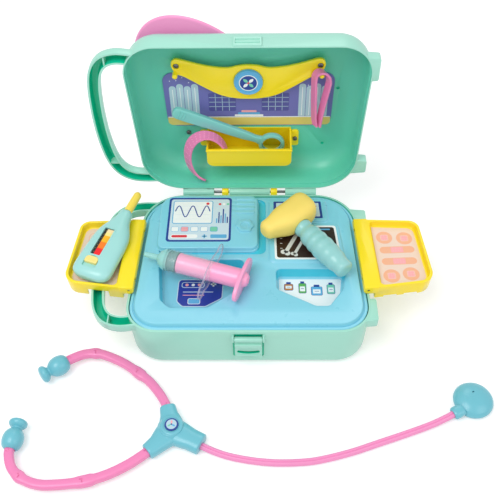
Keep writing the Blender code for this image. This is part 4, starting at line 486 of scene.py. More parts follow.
inkRed = printed("inkRed", (226, 58, 72))
inkHot = printed("inkHot", (250, 28, 32))
inkRose = printed("inkRose", (246, 170, 176))
inkMint = printed("inkMint", (120, 206, 176))
inkGreen = printed("inkGreen", (96, 176, 84))
inkAmber = printed("inkAmber", (196, 128, 62))
inkFilm = printed("inkFilm", (52, 32, 27), gloss=0.26, drift=0.1)
inkBone = printed("inkBone", (214, 218, 214), gloss=0.3, drift=0.2)
inkBeige = printed("inkBeige", (236, 212, 196), gloss=0.36, drift=0.03)
inkPeach = printed("inkPeach", (240, 178, 142), gloss=0.36, drift=0.03)
inkBlack = printed("inkBlack", (28, 26, 28), gloss=0.3, drift=0.05)
inkNight = printed("inkNight", (112, 112, 182), gloss=0.34, drift=0.04)
inkStraw = printed("inkStraw", (226, 206, 112), gloss=0.34, drift=0.04)
inkGrid = printed("inkGrid", (84, 84, 156), gloss=0.34, drift=0.04)
inkDrape = printed("inkDrape", (182, 210, 224), gloss=0.34, drift=0.04)
silver = moulded("silvered", (226, 232, 236), gloss=0.04, drift=0.02, scuff=0.04, bump=0.0, metal=1.0)
clear = moulded("clearBarrel", (240, 250, 252), gloss=0.04, drift=0.01, scuff=0.05, bump=0.0, coat=1.0,
                alpha=0.1)
rimGrey = moulded("clearRim", (176, 168, 190), gloss=0.2, drift=0.01, bump=0.0, alpha=0.6)
tinted = moulded("tintedNose", (172, 236, 232), gloss=0.1, drift=0.02, scuff=0.05, bump=0.0, coat=0.8,
                 alpha=0.66)
mirrorTeal = moulded("mirrorTeal", (126, 204, 198), gloss=0.28, coat=0.2)
inkRoyal = printed("inkRoyal", (40, 62, 158), drift=0.03)
inkCream = printed("inkCream", (250, 226, 170), gloss=0.36, drift=0.03)
inkOrange = printed("inkOrange", (255, 186, 20), gloss=0.36, drift=0.03)
inkCoral = printed("inkCoral", (255, 126, 24), gloss=0.36, drift=0.03)


# studio: floor, lamps and the camera at the photograph's viewpoint

studio = {
    "floorWide": 6, "floorGrey": 0.86, "floorGlow": 0.30, "ambient": 0.62, "backdrop": 1.0,
    "lamps": [("keyLamp", (-0.5, -0.5, 1.3), (0, 0, 0.05), 0.9, 9.0),
              ("fillLamp", (0.9, -0.7, 0.9), (0, 0, 0.1), 0.9, 3.0),
              ("backLamp", (0.1, 0.9, 1.1), (0, 0.1, 0.2), 0.7, 2.0)],
    "lens": 53.59, "cameraPlace": (0.01276, -0.54829, 0.72061),
    "cameraRight": (0.999908, 0.007466, -0.011309), "cameraUp": (0.001685, 0.759566, 0.650428),
    "cameraAhead": (-0.013446, 0.650387, -0.759484),
}


def lampAt(name, place, target, size, watts):
    data = bpy.data.lights.new(name, "AREA")
    data.shape = "DISK"
    data.size = size
    data.energy = watts
    lamp = bpy.data.objects.new(name, data)
    lamp.location = place
    lamp.rotation_euler = (Vector(target) - Vector(place)).to_track_quat("-Z", "Y").to_euler()
    bpy.context.scene.collection.objects.link(lamp)


# 1 for rays that the camera, a reflection or a clear part sends
def seenRay(tree):
    path = tree.nodes.new("ShaderNodeLightPath")
    both = mathNode(tree, "MAXIMUM", path.outputs["Is Camera Ray"], path.outputs["Is Glossy Ray"])
    return mathNode(tree, "MAXIMUM", both, path.outputs["Is Transmission Ray"])


# shows one shader to rays that light the scene and another to rays that are seen
def chooseByRay(tree, lighting, seen, output):
    choose = tree.nodes.new("ShaderNodeMixShader")
    for start, end in ((seenRay(tree), "Fac"), (lighting, 1), (seen, 2)):
        tree.links.new(start, choose.inputs[end])
    tree.links.new(choose.outputs[0], output.inputs["Surface"])


def buildFloor():
    fresh()
    bpy.ops.mesh.primitive_plane_add(size=studio["floorWide"])
    floor = bpy.context.object
    floor.name = "studioFloor"
    material = bpy.data.materials.new("studioWhite")
    material.use_nodes = True
    tree = material.node_tree
    shade = studio["floorGrey"]
    matte = setInputs(shaderOf(material), {"Base Color": (shade, shade, shade, 1), "Roughness": 0.9,
                                           "Specular IOR Level": 0.1})
    glow = setInputs(tree.nodes.new("ShaderNodeEmission"), {"Strength": studio["floorGlow"]})
    both = tree.nodes.new("ShaderNodeAddShader")
    tree.links.new(matte.outputs[0], both.inputs[0])
    tree.links.new(glow.outputs[0], both.inputs[1])
    output = next(n for n in tree.nodes if n.type == "OUTPUT_MATERIAL")
    chooseByRay(tree, matte.outputs[0], both.outputs[0], output)
    dress(floor, material)


def buildWorld():
    world = bpy.data.worlds.new("studio")
    bpy.context.scene.world = world
    world.use_nodes = True
    tree = world.node_tree
    back = next(n for n in tree.nodes if n.type == "BACKGROUND")
    setInputs(back, {"Color": (1, 1, 1, 1), "Strength": studio["ambient"]})
    white = setInputs(tree.nodes.new("ShaderNodeBackground"), {"Strength": studio["backdrop"]})
    output = next(n for n in tree.nodes if n.type == "OUTPUT_WORLD")
    chooseByRay(tree, back.outputs[0], white.outputs[0], output)


def buildCamera():
    data = bpy.data.cameras.new("photoCamera")
    data.lens = studio["lens"]
    data.sensor_width = 36
    data.clip_start = 0.01
    camera = bpy.data.objects.new("photoCamera", data)
    turn = Matrix((studio["cameraRight"], studio["cameraUp"],
                   -Vector(studio["cameraAhead"]))).transposed().to_4x4()
    camera.matrix_world = Matrix.Translation(studio["cameraPlace"]) @ turn
    bpy.context.scene.collection.objects.link(camera)
    bpy.context.scene.camera = camera


buildFloor()
buildWorld()
buildCamera()
for lamp in studio["lamps"]:
    lampAt(*lamp)
bpy.context.scene.view_settings.view_transform = "Standard"


# a frame whose axes point as given
def axes(origin, x, y, z):
    turn = Matrix((Vector(x), Vector(y), Vector(z))).transposed().to_4x4()
    return Matrix.Translation(Vector(origin) * mm) @ turn


# drawn in X-Z, with its height towards the front from the given y
def facingFrame(y):
    return axes((0, y, 0), (1, 0, 0), (0, 0, 1), (0, -1, 0))


# gives a finished piece its shading, its body, its slot and the solids that it stands for
def finish(piece, material, body, nodes, angle=35):
    if material:
        dress(piece, material)
    smooth(piece, angle)
    for node in nodes:
        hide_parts(node)
    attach(piece, body)
    piece.name = nodes[0] + "_look"
    return piece


# the stethoscope's tube, the one free cord: round, with a groove that parts it in two

tubeSizes = {
    "radius": 3.7, "grooveDeep": 0.34, "grooveWide": 12,
    "route": [(-50, -202, 6.5), (-34, -208.5, 5), (-18, -213.5, 4.3), (4, -217.8, 4.3), (27, -220, 4.3),
              (50, -219.7, 4.3), (72, -217.2, 4.3), (105, -208.8, 4.3), (139, -197, 4.3), (166, -187.5, 4.3),
              (191, -178.3, 4.9), (209, -170.5, 6.4), (221, -164.6, 8.2)],
}


def buildTube():
    route = easy(tubeSizes["route"], 10)
    section = []
    for i in range(40):
        angle = 360 * i / 40
        near = min(abs(angle - 90), abs(angle - 270))
        groove = tubeSizes["grooveDeep"] * math.exp(-(near / tubeSizes["grooveWide"]) ** 2)
        radius = tubeSizes["radius"] * (1 - groove)
        section.append((radius * math.cos(math.radians(angle)), radius * math.sin(math.radians(angle))))
    tube = sweep("tubeLook", route, section)
    finish(tube, tubePink, "stethoscope", ["stethoscope_tube"], 50)


buildTube()


# case shells, both built in a plan frame whose +Z is the depth from the mating plane

caseSizes = {
    "corners": [(-135, -102), (135, -102), (126.2, 102), (-126.2, 102)], "radii": [36, 36, 48, 48],
    "baseHeight": 66, "lidHeight": 44, "baseFillet": 11, "lidFillet": 24, "wall": 2.4, "draft": 2.2,
    "axisY": 107.5, "handleWidth": 14, "handleDepth": 13, "handleWall": 2.2, "rimRound": 0.5,
    "softEdge": 0.35, "posts": [(-151.5, -84, 0.7, 5.4), (-160, 60, 5.4, 0.7)], "postSpan": (1.2, 12),
    "feet": [(-86, -58), (58, 76)], "footOut": (108, 140), "footSpan": (0.4, 13), "knuckleRadius": 5,
    "pinBore": 1.9,
    "handle": [(-108, -84), (-124, -86.5), (-140, -88), (-154, -83), (-163, -70), (-167, -50), (-168.5, -25),
               (-168.5, 0), (-167, 25), (-163, 50), (-156, 68), (-144, 79), (-128, 82.5), (-104, 82)],
}


def insetCorners(corners, amount):
    moved = []
    total = len(corners)
    for i in range(total):
        before, here, after = Vector(corners[i - 1]), Vector(corners[i]), Vector(corners[(i + 1) % total])
        first, second = (here - before).normalized(), (after - here).normalized()
        a, b = Vector((-first.y, first.x)), Vector((-second.y, second.x))
        both = a + b
        moved.append(tuple(here + both * (amount / max(0.2, both.dot(a)))))
    return moved


def casePlan(name, inset, z=0.0, segments=12):
    corners = insetCorners(caseSizes["corners"], inset)
    return plan(name, corners, [r - inset for r in caseSizes["radii"]], z, segments)


# a deep rounded block from start to depth, drawn in towards its floor, with a big floor fillet
def tub(name, inset, start, depth, fillet, draft):
    piece = raiseFace(casePlan(name, inset, start), [(depth - start, 0)])
    openMesh(piece)
    pickFaces(piece, lambda co, normal: abs(co.z - depth) < 0.01)
    bpy.ops.transform.resize(value=(1 - draft / 135, 1 - draft / 102, 1))
    closeMesh()
    roundEdges(piece, lambda a, b: abs(a.z - depth) < 0.01 and abs(b.z - depth) < 0.01, fillet, 8)
    return piece


# the case's greens share three slots: tone 0 outside, 1 inside with painted shade, 2 in channels and recesses
# with darker painted shade
def greens(piece, tone=0):
    dress(piece, green)
    piece.data.materials.append(paintedShadeGreen)
    piece.data.materials.append(paintedDeepShadeGreen)
    for face in piece.data.polygons:
        face.material_index = tone
    return piece


def handleLoop():
    half, deep, wall = caseSizes["handleWidth"] / 2, caseSizes["handleDepth"], caseSizes["handleWall"]
    section = [(-half, 0), (-half, deep * 0.62), (-half + 0.7, deep * 0.82), (-half + 2.2, deep * 0.95),
               (-half + 4.2, deep), (half - 4.2, deep), (half - 2.2, deep * 0.95), (half - 0.7, deep * 0.82),
               (half, deep * 0.62), (half, 0), (half - wall, 0), (half - wall, deep * 0.6),
               (half - wall - 1.8, deep - wall), (-half + wall + 1.8, deep - wall),
               (-half + wall, deep * 0.6), (-half + wall, 0)]
    route = easy([(x, y, 0) for x, y in caseSizes["handle"]], 5)
    widths = []
    for i in range(len(route)):
        ahead = route[min(i + 1, len(route) - 1)] - route[max(i - 1, 0)]
        widths.append((-ahead.y, ahead.x, 0))
    piece = greens(sweep("handle", route, section, widths=widths))
    # the handle channel's inner faces take slot 2, the darker painted shade
    inner = range(10, 15)
    for i, face in enumerate(piece.data.polygons):
        if len(face.vertices) == 4 and i % len(section) in inner:
            face.material_index = 2
    low = min(v.co.z for v in piece.data.vertices)
    if low < -0.1 * mm:
        piece.scale.z = -1
        settle(piece)
        facesOut(piece)
    return piece


def halfCase(name, height, fillet, fittings):
    sizes = caseSizes
    wall = sizes["wall"]
    body = greens(tub(name, 0, 0, height, fillet, sizes["draft"]))
    roundEdges(body, lambda a, b: abs(a.z) < 0.01 and abs(b.z) < 0.01, sizes["rimRound"], 2)
    parts = [handleLoop()]
    low, high = sizes["postSpan"]
    for x, y, wide, deep in sizes["posts"]:
        parts.append(block((x - wide, y - deep, low), (x + wide, y + deep, high)))
    start, out = sizes["footOut"]
    for y0, y1 in sizes["feet"]:
        foot = [(start, y0 - 3), (out, y0), (out, y1), (start, y1 + 3)]
        parts.append(slab("foot", foot, [0, 2.5, 2.5, 0], *sizes["footSpan"], 1.2, 0.5))
    weld(body, *parts, *fittings)
    # the hollow's faces take slot 1, painted shade
    carve(body, greens(tub("cavity", wall, -3, height - wall, fillet - wall, sizes["draft"]), 1))
    return body


def pinHole(half, height):
    axis = caseSizes["axisY"]
    return rod(caseSizes["pinBore"], (-half, axis, height), (half, axis, height), 20)


def finishShell(shell, body):
    smooth(soften(shell, caseSizes["softEdge"], 2, 40))
    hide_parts(body + "_shell")
    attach(shell, body)
    print(body, "shell done")


# plan frame to world for the base: depth runs down from the mating plane
def baseFrame():
    return Matrix(((1, 0, 0, 0), (0, 1, 0, 0), (0, 0, -1, caseSizes["baseHeight"] * mm), (0, 0, 0, 1)))


# plan frame to world for the lid standing open behind its hinge
def lidFrame():
    axis = caseSizes["axisY"]
    return Matrix(((1, 0, 0, 0), (0, 0, 1, (axis + 0.2) * mm),
                   (0, -1, 0, (caseSizes["baseHeight"] + axis) * mm), (0, 0, 0, 1)))


baseSizes = {
    "knuckle": (44.0, 82.0), "webStart": 99, "webSpan": (0.7, 14), "stopInset": 8, "stopDeep": (-1, 11),
    "stopSpan": (-5, 8), "pad": ((-19, -100.9, 4.2), (19, -97.6, 51)), "pinHalf": 84,
    "front": -102, "recess": (-17, 17.5, 17, 61.5), "recessRadii": [4, 4, 3, 3], "recessDeep": 4.6,
    "cheek": (15.3, 17.6), "cheekSpan": (52, 60), "cheekDeep": 6.8,
}


def buildBase():
    sizes = baseSizes
    axis = caseSizes["axisY"]
    fittings = []
    for sign in (-1, 1):
        x0, x1 = sorted(sign * x for x in sizes["knuckle"])
        lobe = rod(caseSizes["knuckleRadius"], (x0, axis, 0), (x1, axis, 0), 32)
        web = block((x0, sizes["webStart"], sizes["webSpan"][0]), (x1, axis, sizes["webSpan"][1]))
        near, far = sizes["stopDeep"]
        low, high = sizes["stopSpan"]
        inset = sizes["stopInset"]
        stop = block((x0 + inset, axis + near, low), (x1 - inset, axis + far, high), 0.6)
        fittings.append(weld(web, lobe, stop))
    fittings.append(block(*sizes["pad"]))
    base = halfCase("caseBase", caseSizes["baseHeight"], caseSizes["baseFillet"], fittings)
    carve(base, pinHole(sizes["pinHalf"], 0))
    put(base, baseFrame())
    for sign in (-1, 1):
        for station in trayHinge["ears"]:
            weld(base, trayEar(sign, station))
    front = sizes["front"]
    # the recess's faces take slot 2, the darker painted shade
    recess = slab("scoop", rect(*sizes["recess"]), sizes["recessRadii"], 0, sizes["recessDeep"])
    carve(base, put(greens(recess, 2), uprightFrame(front - 3)))
    low, high = sizes["cheekSpan"]
    for sign in (-1, 1):
        x0, x1 = sorted(sign * x for x in sizes["cheek"])
        cheek = slab("cheek", rect(x0, low, x1, high), [0.8] * 4, 0, sizes["cheekDeep"], 0, 0.6)
        weld(base, put(cheek, uprightFrame(front - 4.6)))
    finishShell(base, "base")


# drawn in X-Z with height along +Y from the given y
def uprightFrame(y):
    return Matrix(((1, 0, 0, 0), (0, 0, 1, y * mm), (0, 1, 0, 0), (0, 0, 0, 1)))


# where the trays hang, shared by the ears on the base and by the trays
trayHinge = {
    "tilt": math.atan2(17.6, 408), "placeX": 130.6, "out": -1.2, "height": 72.0, "ears": (-36.0, 36.0),
    "earThick": 3.0,
}


def trayFrame(sign):
    c, s = math.cos(trayHinge["tilt"]), math.sin(trayHinge["tilt"])
    x = sign * trayHinge["placeX"] * mm
    return Matrix(((sign * c, -sign * s, 0, x), (s, c, 0, 0), (0, 0, 1, 0), (0, 0, 0, 1)))


# a hinge ear that rises from the rim, drawn in out-up and given its thickness along the wall
def trayEar(sign, station):
    pivot, half = trayHinge["height"], trayHinge["earThick"] / 2
    outline = [(-2.3, 56), (-0.6, 56), (-0.4, 58), (1.0, 63), (1.0, pivot + 1), (0.2, pivot + 2.6),
               (-1.2, pivot + 2.6), (-2.3, pivot + 1.4)]
    ear = slab("ear", outline, [0, 0, 0, 0, 1, 1.5, 1.5, 1], -half, half, segments=3)
    turn = trayFrame(sign) @ Matrix(((1, 0, 0, 0), (0, 0, 1, station * mm), (0, 1, 0, 0), (0, 0, 0, 1)))
    return put(ear, turn)


# where screws pass from the lid into the emblem, the wing plate and the pocket, in X-Z
screwPlaces = {"emblem": [(-73.4, 127.2), (-60.0, 222.0), (6.0, 219.6)], "wing": (80, 228.5),
               "pocket": (55.5, 119)}

lidShellSizes = {
    "knuckleHalf": 25, "hingeDrop": 0.2, "web": (0.6, 4.6, 66, 72.9),
    "catch": ((-15, -104, 0.3), (15, -100, 17.8)), "ledge": 0.9, "ledgeDeep": 6,
    "groove": (-12.8, -107, 12.8, -102.9), "grooveSpan": (3.8, 12.2),
    "rib": ((-12.8, -103.9, 6.4), (12.8, -102, 9.0)), "pitRadius": 2.1, "pitFrom": 6, "pitTo": 0.8,
    "pits": [(89.4, 108.8, 2.0), (102.5, 191.8, 2.0)],
}


def buildLid():
    sizes = lidShellSizes
    axis, deep = caseSizes["axisY"], caseSizes["lidHeight"]
    half, drop = sizes["knuckleHalf"], sizes["hingeDrop"]
    near, far, low, high = sizes["web"]
    web = put(block((-half, axis + near, low), (half, axis + far, high)), lidFrame().inverted())
    knuckle = rod(caseSizes["knuckleRadius"], (-half, axis, -drop), (half, axis, -drop), 32)
    catch = block(*sizes["catch"], 0.6)
    lid = halfCase("caseLid", deep, caseSizes["lidFillet"], [knuckle, web, catch])
    carve(lid, pinHole(half + 2, -drop))
    # the ledge's faces take slot 1, painted shade
    ledge = casePlan("ledge", caseSizes["wall"] - sizes["ledge"], -3)
    carve(lid, greens(raiseFace(ledge, [(sizes["ledgeDeep"] + 3, 0)]), 1))
    carve(lid, slab("groove", rect(*sizes["groove"]), [0] * 4, *sizes["grooveSpan"]))
    weld(lid, block(*sizes["rib"], 0.5))
    spots = [(x, z, sizes["pitRadius"]) for x, z in screwPlaces["emblem"]] + sizes["pits"]
    for x, z, radius in spots:
        y = caseSizes["baseHeight"] + axis - z
        pit = rod(radius, (x, y, deep - sizes["pitFrom"]), (x, y, deep - sizes["pitTo"]), 20)
        # each pit's faces take slot 2, the darker painted shade
        carve(lid, greens(pit, 2))
    put(lid, lidFrame())
    finishShell(lid, "lid")


buildBase()
buildLid()


# deck: a raised moulding with two tubs, three blocks, ridges and a knob

deckSizes = {
    "rim": 3.4, "low": 62, "top": 69, "blockTop": 74, "floor": 54, "sheet": 2,
    "leftTub": ([(-105, -2), (-3, -2), (-6, -45.5), (-43.5, -74), (-87, -74), (-99, -62)],
                [6, 6, 10, 10, 8, 8]),
    "rightTub": ([(28.5, -15.6), (112, -15.8), (107, -47.7), (89.3, -71.5), (73, -71.5), (29, -47.6)],
                 [6, 8, 8, 6, 6, 6]),
    "monitor": ([(-106, 8.6), (10, 8.6), (10, 92), (-106, 92)], [9, 9, 9, 18], 5.0),
    "chart": ([(24, 53.5), (94, 53.5), (92, 89), (24, 89)], [5, 5, 5, 5], 2.2),
    "film": ([(24, -9), (110, -9), (104.5, 49), (24, 49)], [6, 6, 6, 6], 1.6),
    "ridges": 4, "ridgeStart": 86.6, "ridgeStep": 7.4, "ridge": (-16, 6.5), "ridgeHalf": 2.1,
    "knob": (-4.6, 42), "knobRadius": 9.6, "skirtRadius": 12.2, "lobes": 6, "lobeHigh": 0.09,
    "valley": [(-104, 3.2), (19.6, 3.2), (19.6, 90), (-104, 90)], "valleyRadii": [6, 8, 8, 6],
    "valleyDeep": 2.6,
    "border": [(2.3, 0), (0.45, 0.2), (0.3, 0.5), (0.1, 2.2), (-1.3, 0.3), (-0.1, 0.9), (1.4, 0.3),
               (0.6, 0.35), (2.0, 0.6), (0.85, 0.4), (0.5, 0.6), (0.2, 0.9)],
}


def deckBlock(corners, radii, rise):
    top = deckSizes["top"]
    piece = plan("deckBlock", insetCorners(corners, -1.5), [r + 1.5 for r in radii], top - 4.2, 7)
    steps = [(4.0, 0.0), (0.35, 0.25), (0.5, 0.75), (rise - 1.35, 0.35), (0.55, 0.3), (0.35, 0.45),
             (0.12, 0.7)]
    return raiseFace(piece, steps)


def deckWell(corners, radii):
    top, floor = deckSizes["top"], deckSizes["floor"]
    piece = plan("deckWell", insetCorners(corners, -0.9), [r + 0.9 for r in radii], top + 3, 7)
    steps = [(-2.97, 0.0), (-0.12, 0.5), (-0.35, 0.45), (-0.9, 0.35), (floor + 2.6 - top + 1.34, 1.9),
             (-1.3, 0.5), (-0.85, 0.85), (-0.45, 1.5)]
    return raiseFace(piece, steps)


# light blue on the land; deeper blue, painted shade, on the steep sides and in the valley
def blues(piece, valley):
    dress(piece, blue)
    piece.data.materials.append(paintedShadeBlue)
    for face in piece.data.polygons:
        face.material_index = int(valley or abs(face.normal.z) < 0.3)
    return piece


def deckRidge(y):
    high, half = deckSizes["blockTop"], deckSizes["ridgeHalf"]
    x0, x1 = deckSizes["ridge"]
    return slab("ridge", rect(x0, y - half, x1, y + half), [2] * 4, high - 1, high + 1.4, 0.9, segments=6)


# a round skirt, and on it a knob with waves round its edge
def deckKnob(radius, lift, waves):
    high = deckSizes["blockTop"]
    x, y = deckSizes["knob"]
    shares = [(-1, 1), (lift - 0.4, 1), (lift - 0.1, 0.975), (lift, 0.93)]
    knob = stack("knob", [(high + rise, radius * share, radius * share, x, y) for rise, share in shares], 72)
    for vert in knob.data.vertices if waves else ():
        across = vert.co / mm - Vector((x, y, 0))
        grow = 1 + waves * math.cos(deckSizes["lobes"] * math.atan2(across.y, across.x))
        vert.co = ((x + across.x * grow) * mm, (y + across.y * grow) * mm, vert.co.z)
    return knob


def buildDeck():
    sizes = deckSizes
    body = raiseFace(casePlan("deckBody", sizes["rim"], sizes["low"]), sizes["border"])
    dress(body, blue).data.materials.append(paintedShadeBlue)
    top = max(v.co.z for v in body.data.vertices) / mm
    openMesh(body)
    pickFaces(body, lambda co, normal: abs(co.z - top) < 0.01)
    bpy.ops.transform.translate(value=(0, 0, (sizes["top"] - top) * mm))
    closeMesh()
    for corners, radii in (sizes["leftTub"], sizes["rightTub"]):
        low, high = sizes["floor"] - sizes["sheet"], sizes["top"] - 1.5
        weld(body, slab("tub", insetCorners(corners, 0.4), radii, low, high, segments=7))
        # the well's steep walls take painted shade
        carve(body, blues(deckWell(corners, radii), False))
    low, high = sizes["top"] - sizes["valleyDeep"], sizes["top"] + 3
    # every face of the valley takes painted shade
    carve(body, blues(slab("valley", sizes["valley"], sizes["valleyRadii"], low, high, 0, 1.0), True))
    for name in ("monitor", "chart", "film"):
        weld(body, deckBlock(*sizes[name]))
    for i in range(sizes["ridges"]):
        weld(body, deckRidge(sizes["ridgeStart"] - sizes["ridgeStep"] * i))
    weld(body, deckKnob(sizes["skirtRadius"], 0.5, 0), deckKnob(sizes["knobRadius"], 2.4, sizes["lobeHigh"]))
    high = sizes["blockTop"]
    dimple = [(high + rise, radius, radius, *sizes["knob"])
              for rise, radius in ((1.2, 4.6), (1.5, 5.4), (3, 6))]
    carve(body, stack("dimple", dimple, 40))
    finish(soften(body, 0.3, 2, 45), None, "base", ["deck"], 30)
    print("deck done")


buildDeck()


# printed cards: a card with thin inks laid on it, each layer a step above the last

cardSizes = {"lift": 0.1, "thick": 0.4, "ink": 0.04, "sunk": 0.02}
inkStep = cardSizes["ink"]


def card(name, corners, radii, face, material, segments=6):
    low = face + cardSizes["lift"]
    return dress(slab(name, corners, radii, low, low + cardSizes["thick"], segments=segments), material)


def inkLevel(face, layer):
    return face + cardSizes["lift"] + cardSizes["thick"] - cardSizes["sunk"] + inkStep * layer


def patch(face, layer, corners, radii, material, segments=5):
    low = inkLevel(face, layer)
    return dress(slab("ink", corners, radii, low - 0.05, low + inkStep, segments=segments), material)


def spot(face, layer, centre, radius, material, sides=28, stretch=1.0):
    low = inkLevel(face, layer)
    return dress(stack("ink", [(low - 0.05, radius, radius * stretch, *centre),
                               (low + inkStep, radius, radius * stretch, *centre)], sides), material)


def stroke(face, layer, points, width, material):
    low = inkLevel(face, layer)
    section = [(-width / 2, -0.05), (width / 2, -0.05), (width / 2, inkStep), (-width / 2, inkStep)]
    return dress(sweep("ink", [(x, y, low) for x, y in points], section), material)


# a frame line round a rounded box
def border(face, layer, corners, radii, width, material, inner):
    return [patch(face, layer, corners, radii, material),
            patch(face, layer + 1, insetCorners(corners, width), [max(0.3, r - width) for r in radii], inner)]


def plus(face, layer, centre, size, thick, material):
    x, y = centre
    return [patch(face, layer, rect(x - size, y - thick, x + size, y + thick), [0.3] * 4, material, 2),
            patch(face, layer, rect(x - thick, y - size, x + thick, y + size), [0.3] * 4, material, 2)]


def wave(x0, x1, y, height, turns, count=60):
    return [(x0 + (x1 - x0) * i / count, y + height * math.sin(2 * math.pi * turns * i / count))
            for i in range(count + 1)]


monitorPrint = {
    "corners": [(-96.6, 18), (-21.2, 18), (-21.2, 88.6), (-96.6, 88.6)],
    "screen": [(-91.5, 46), (-43.5, 46), (-43.5, 83.5), (-91.5, 83.5)], "grid": (53.5, 7, 4),
    "trace": (-88.5, -47, 66, 9.0, 2.5), "light": (-50, 78.6), "keyStart": -87, "keyStep": 11.4,
    "keyHalf": 4.6, "keys": (inkWhite, inkRose, inkWhite, inkWhite, inkMint), "keySpan": (33.4, 41.4),
    "bars": (3.2, 7.4, 5.2, 9.6, 6.4, 4.2), "barStart": -39.2, "barStep": 2.5, "barWide": 1.5,
    "barScale": 2.4, "lamps": (inkRed, inkWhite, inkMint), "lampStart": (-35.4, 78), "lampStep": 4.8,
    "slider": (-91.5, 23.2, -60, 29.2), "filled": (-90.4, 24.3, -72, 28.1), "plus": (-52, 26.2),
    "button": (-45, 23.4, -26, 29),
}


def buildMonitorCard():
    sizes = monitorPrint
    face = deckSizes["blockTop"]
    parts = [card("monitorCard", sizes["corners"], [4] * 4, face, inkNavy),
             patch(face, 0, insetCorners(sizes["corners"], 2.6), [3] * 4, inkPale),
             *border(face, 1, sizes["screen"], [3] * 4, 1.1, inkSky, inkWhite)]
    first, step, count = sizes["grid"]
    for i in range(count):
        y = first + step * i
        parts.append(stroke(face, 3, [(-88, y), (-47, y)], 0.25, inkPale))
    parts.append(stroke(face, 4, wave(*sizes["trace"]), 1.3, inkNavy))
    parts.append(spot(face, 4, sizes["light"], 2.0, inkRed))
    half = sizes["keyHalf"]
    low, high = sizes["keySpan"]
    for i, colour in enumerate(sizes["keys"]):
        x = sizes["keyStart"] + sizes["keyStep"] * i
        parts += border(face, 1, rect(x - half, low, x + half, high), [2] * 4, 0.5, inkSky, colour)
    low = sizes["screen"][0][1] + 1
    for i, tall in enumerate(sizes["bars"]):
        x = sizes["barStart"] + sizes["barStep"] * i
        bar = rect(x, low, x + sizes["barWide"], low + tall * sizes["barScale"])
        parts.append(patch(face, 1, bar, [0.5] * 4, (inkSky, inkNavy)[i % 2], 3))
    x, y = sizes["lampStart"]
    for i, colour in enumerate(sizes["lamps"]):
        parts.append(spot(face, 1, (x + sizes["lampStep"] * i, y), 1.7, colour))
    parts.append(patch(face, 1, rect(*sizes["slider"]), [3] * 4, inkWhite))
    parts.append(patch(face, 2, rect(*sizes["filled"]), [1.9] * 4, inkRed))
    parts += plus(face, 1, sizes["plus"], 3.0, 0.9, inkSky)
    parts.append(patch(face, 1, rect(*sizes["button"]), [1.2] * 4, inkSky))
    finish(joinUp(parts), None, "base", ["monitor_card"], 20)


chartPrint = {
    "corners": [(29, 57.4), (87.6, 57.4), (86.2, 84.8), (29.2, 84.8)],
    "sheet": [(32.2, 60), (84.6, 60), (83.4, 82.2), (32.4, 82.2)], "lines": (20, 27, 16),
    "lineFrom": (47, 77.5), "lineStep": 5.4, "dotPlace": 41, "foot": (35.4, 61.6, 80, 63.2),
    "plus": (78.6, 76.8),
}


def buildChartCard():
    sizes = chartPrint
    face = deckSizes["top"] + deckSizes["chart"][2]
    parts = [card("chartCard", sizes["corners"], [1] * 4, face, inkNavy),
             patch(face, 0, sizes["sheet"], [0.8] * 4, inkPale)]
    x, start = sizes["lineFrom"]
    for i, (wide, colour) in enumerate(zip(sizes["lines"], (inkRose, inkMint, inkSky))):
        y = start - sizes["lineStep"] * i
        parts.append(stroke(face, 1, [(x, y), (x + wide, y)], 0.9, inkSky))
        parts.append(spot(face, 1, (sizes["dotPlace"], y), 1.3, colour))
    parts.append(patch(face, 1, rect(*sizes["foot"]), [0.5] * 4, inkSky, 2))
    parts += plus(face, 1, sizes["plus"], 2.4, 0.7, inkRed)
    finish(joinUp(parts), None, "base", ["chart_card"], 20)


# one long bone: a shaft with two rounded heads at each end
def bone(face, start, end, width, material):
    start, end = Vector(start), Vector(end)
    side = (end - start).orthogonal().normalized()
    parts = [stroke(face, 3, [start, start.lerp(end, 0.5), end], width, material)]
    for tip in (start, end):
        for sign in (-1, 1):
            parts.append(spot(face, 3, tuple(tip + side * sign * width * 0.55), width * 0.72, material, 20))
    return parts


filmPrint = {
    "corners": [(29.8, -6), (105.5, -6), (101.6, 45.6), (29, 45.6)], "margin": 2.4,
    "bones": [((42, 4), (58, 37), 4.6), ((52, 1.5), (68, 34), 3.4), ((80, 35), (86, 18), 4.0)],
    "beads": 5, "beadFrom": (90.5, 14), "beadStep": 3.6, "ticks": (36, 10, 7.5, 4),
    "bar": (72, 38.6, 95, 40.6),
}


def buildFilmCard():
    sizes = filmPrint
    face = deckSizes["top"] + deckSizes["film"][2]
    parts = [card("filmCard", sizes["corners"], [3] * 4, face, inkWhite),
             patch(face, 0, insetCorners(sizes["corners"], sizes["margin"]), [3] * 4, inkFilm)]
    for start, end, width in sizes["bones"]:
        parts += bone(face, start, end, width, inkBone)
    x, y = sizes["beadFrom"]
    for i in range(sizes["beads"]):
        centre = (x + 1.2 * math.sin(i), y - sizes["beadStep"] * i)
        parts.append(spot(face, 3, centre, 1.9 - 0.18 * i, inkBone, 20, 0.8))
    x, y, step, count = sizes["ticks"]
    for i in range(count):
        tick = rect(x, y + step * i, x + 2.6, y + 0.7 + step * i)
        parts.append(patch(face, 3, tick, [0.1] * 4, inkBone, 1))
    parts.append(patch(face, 3, rect(*sizes["bar"]), [1] * 4, inkSky, 3))
    finish(joinUp(parts), None, "base", ["xray_card"], 20)


# each bottle is its foot, half width, height and colour
bottlePrint = {
    "corners": [(33.7, -38.6), (78.8, -63), (87.7, -62.6), (102.4, -41.5), (105, -22), (33.7, -22)],
    "radii": [2, 3, 3, 4, 2, 2],
    "bottles": [((45, -36), 5.2, 7.4, inkAmber), ((60.5, -40), 4.4, 12.4, inkGreen),
                ((76.5, -43), 6.4, 10.6, inkSky), ((92.5, -41), 4.6, 11.6, inkMint)],
}


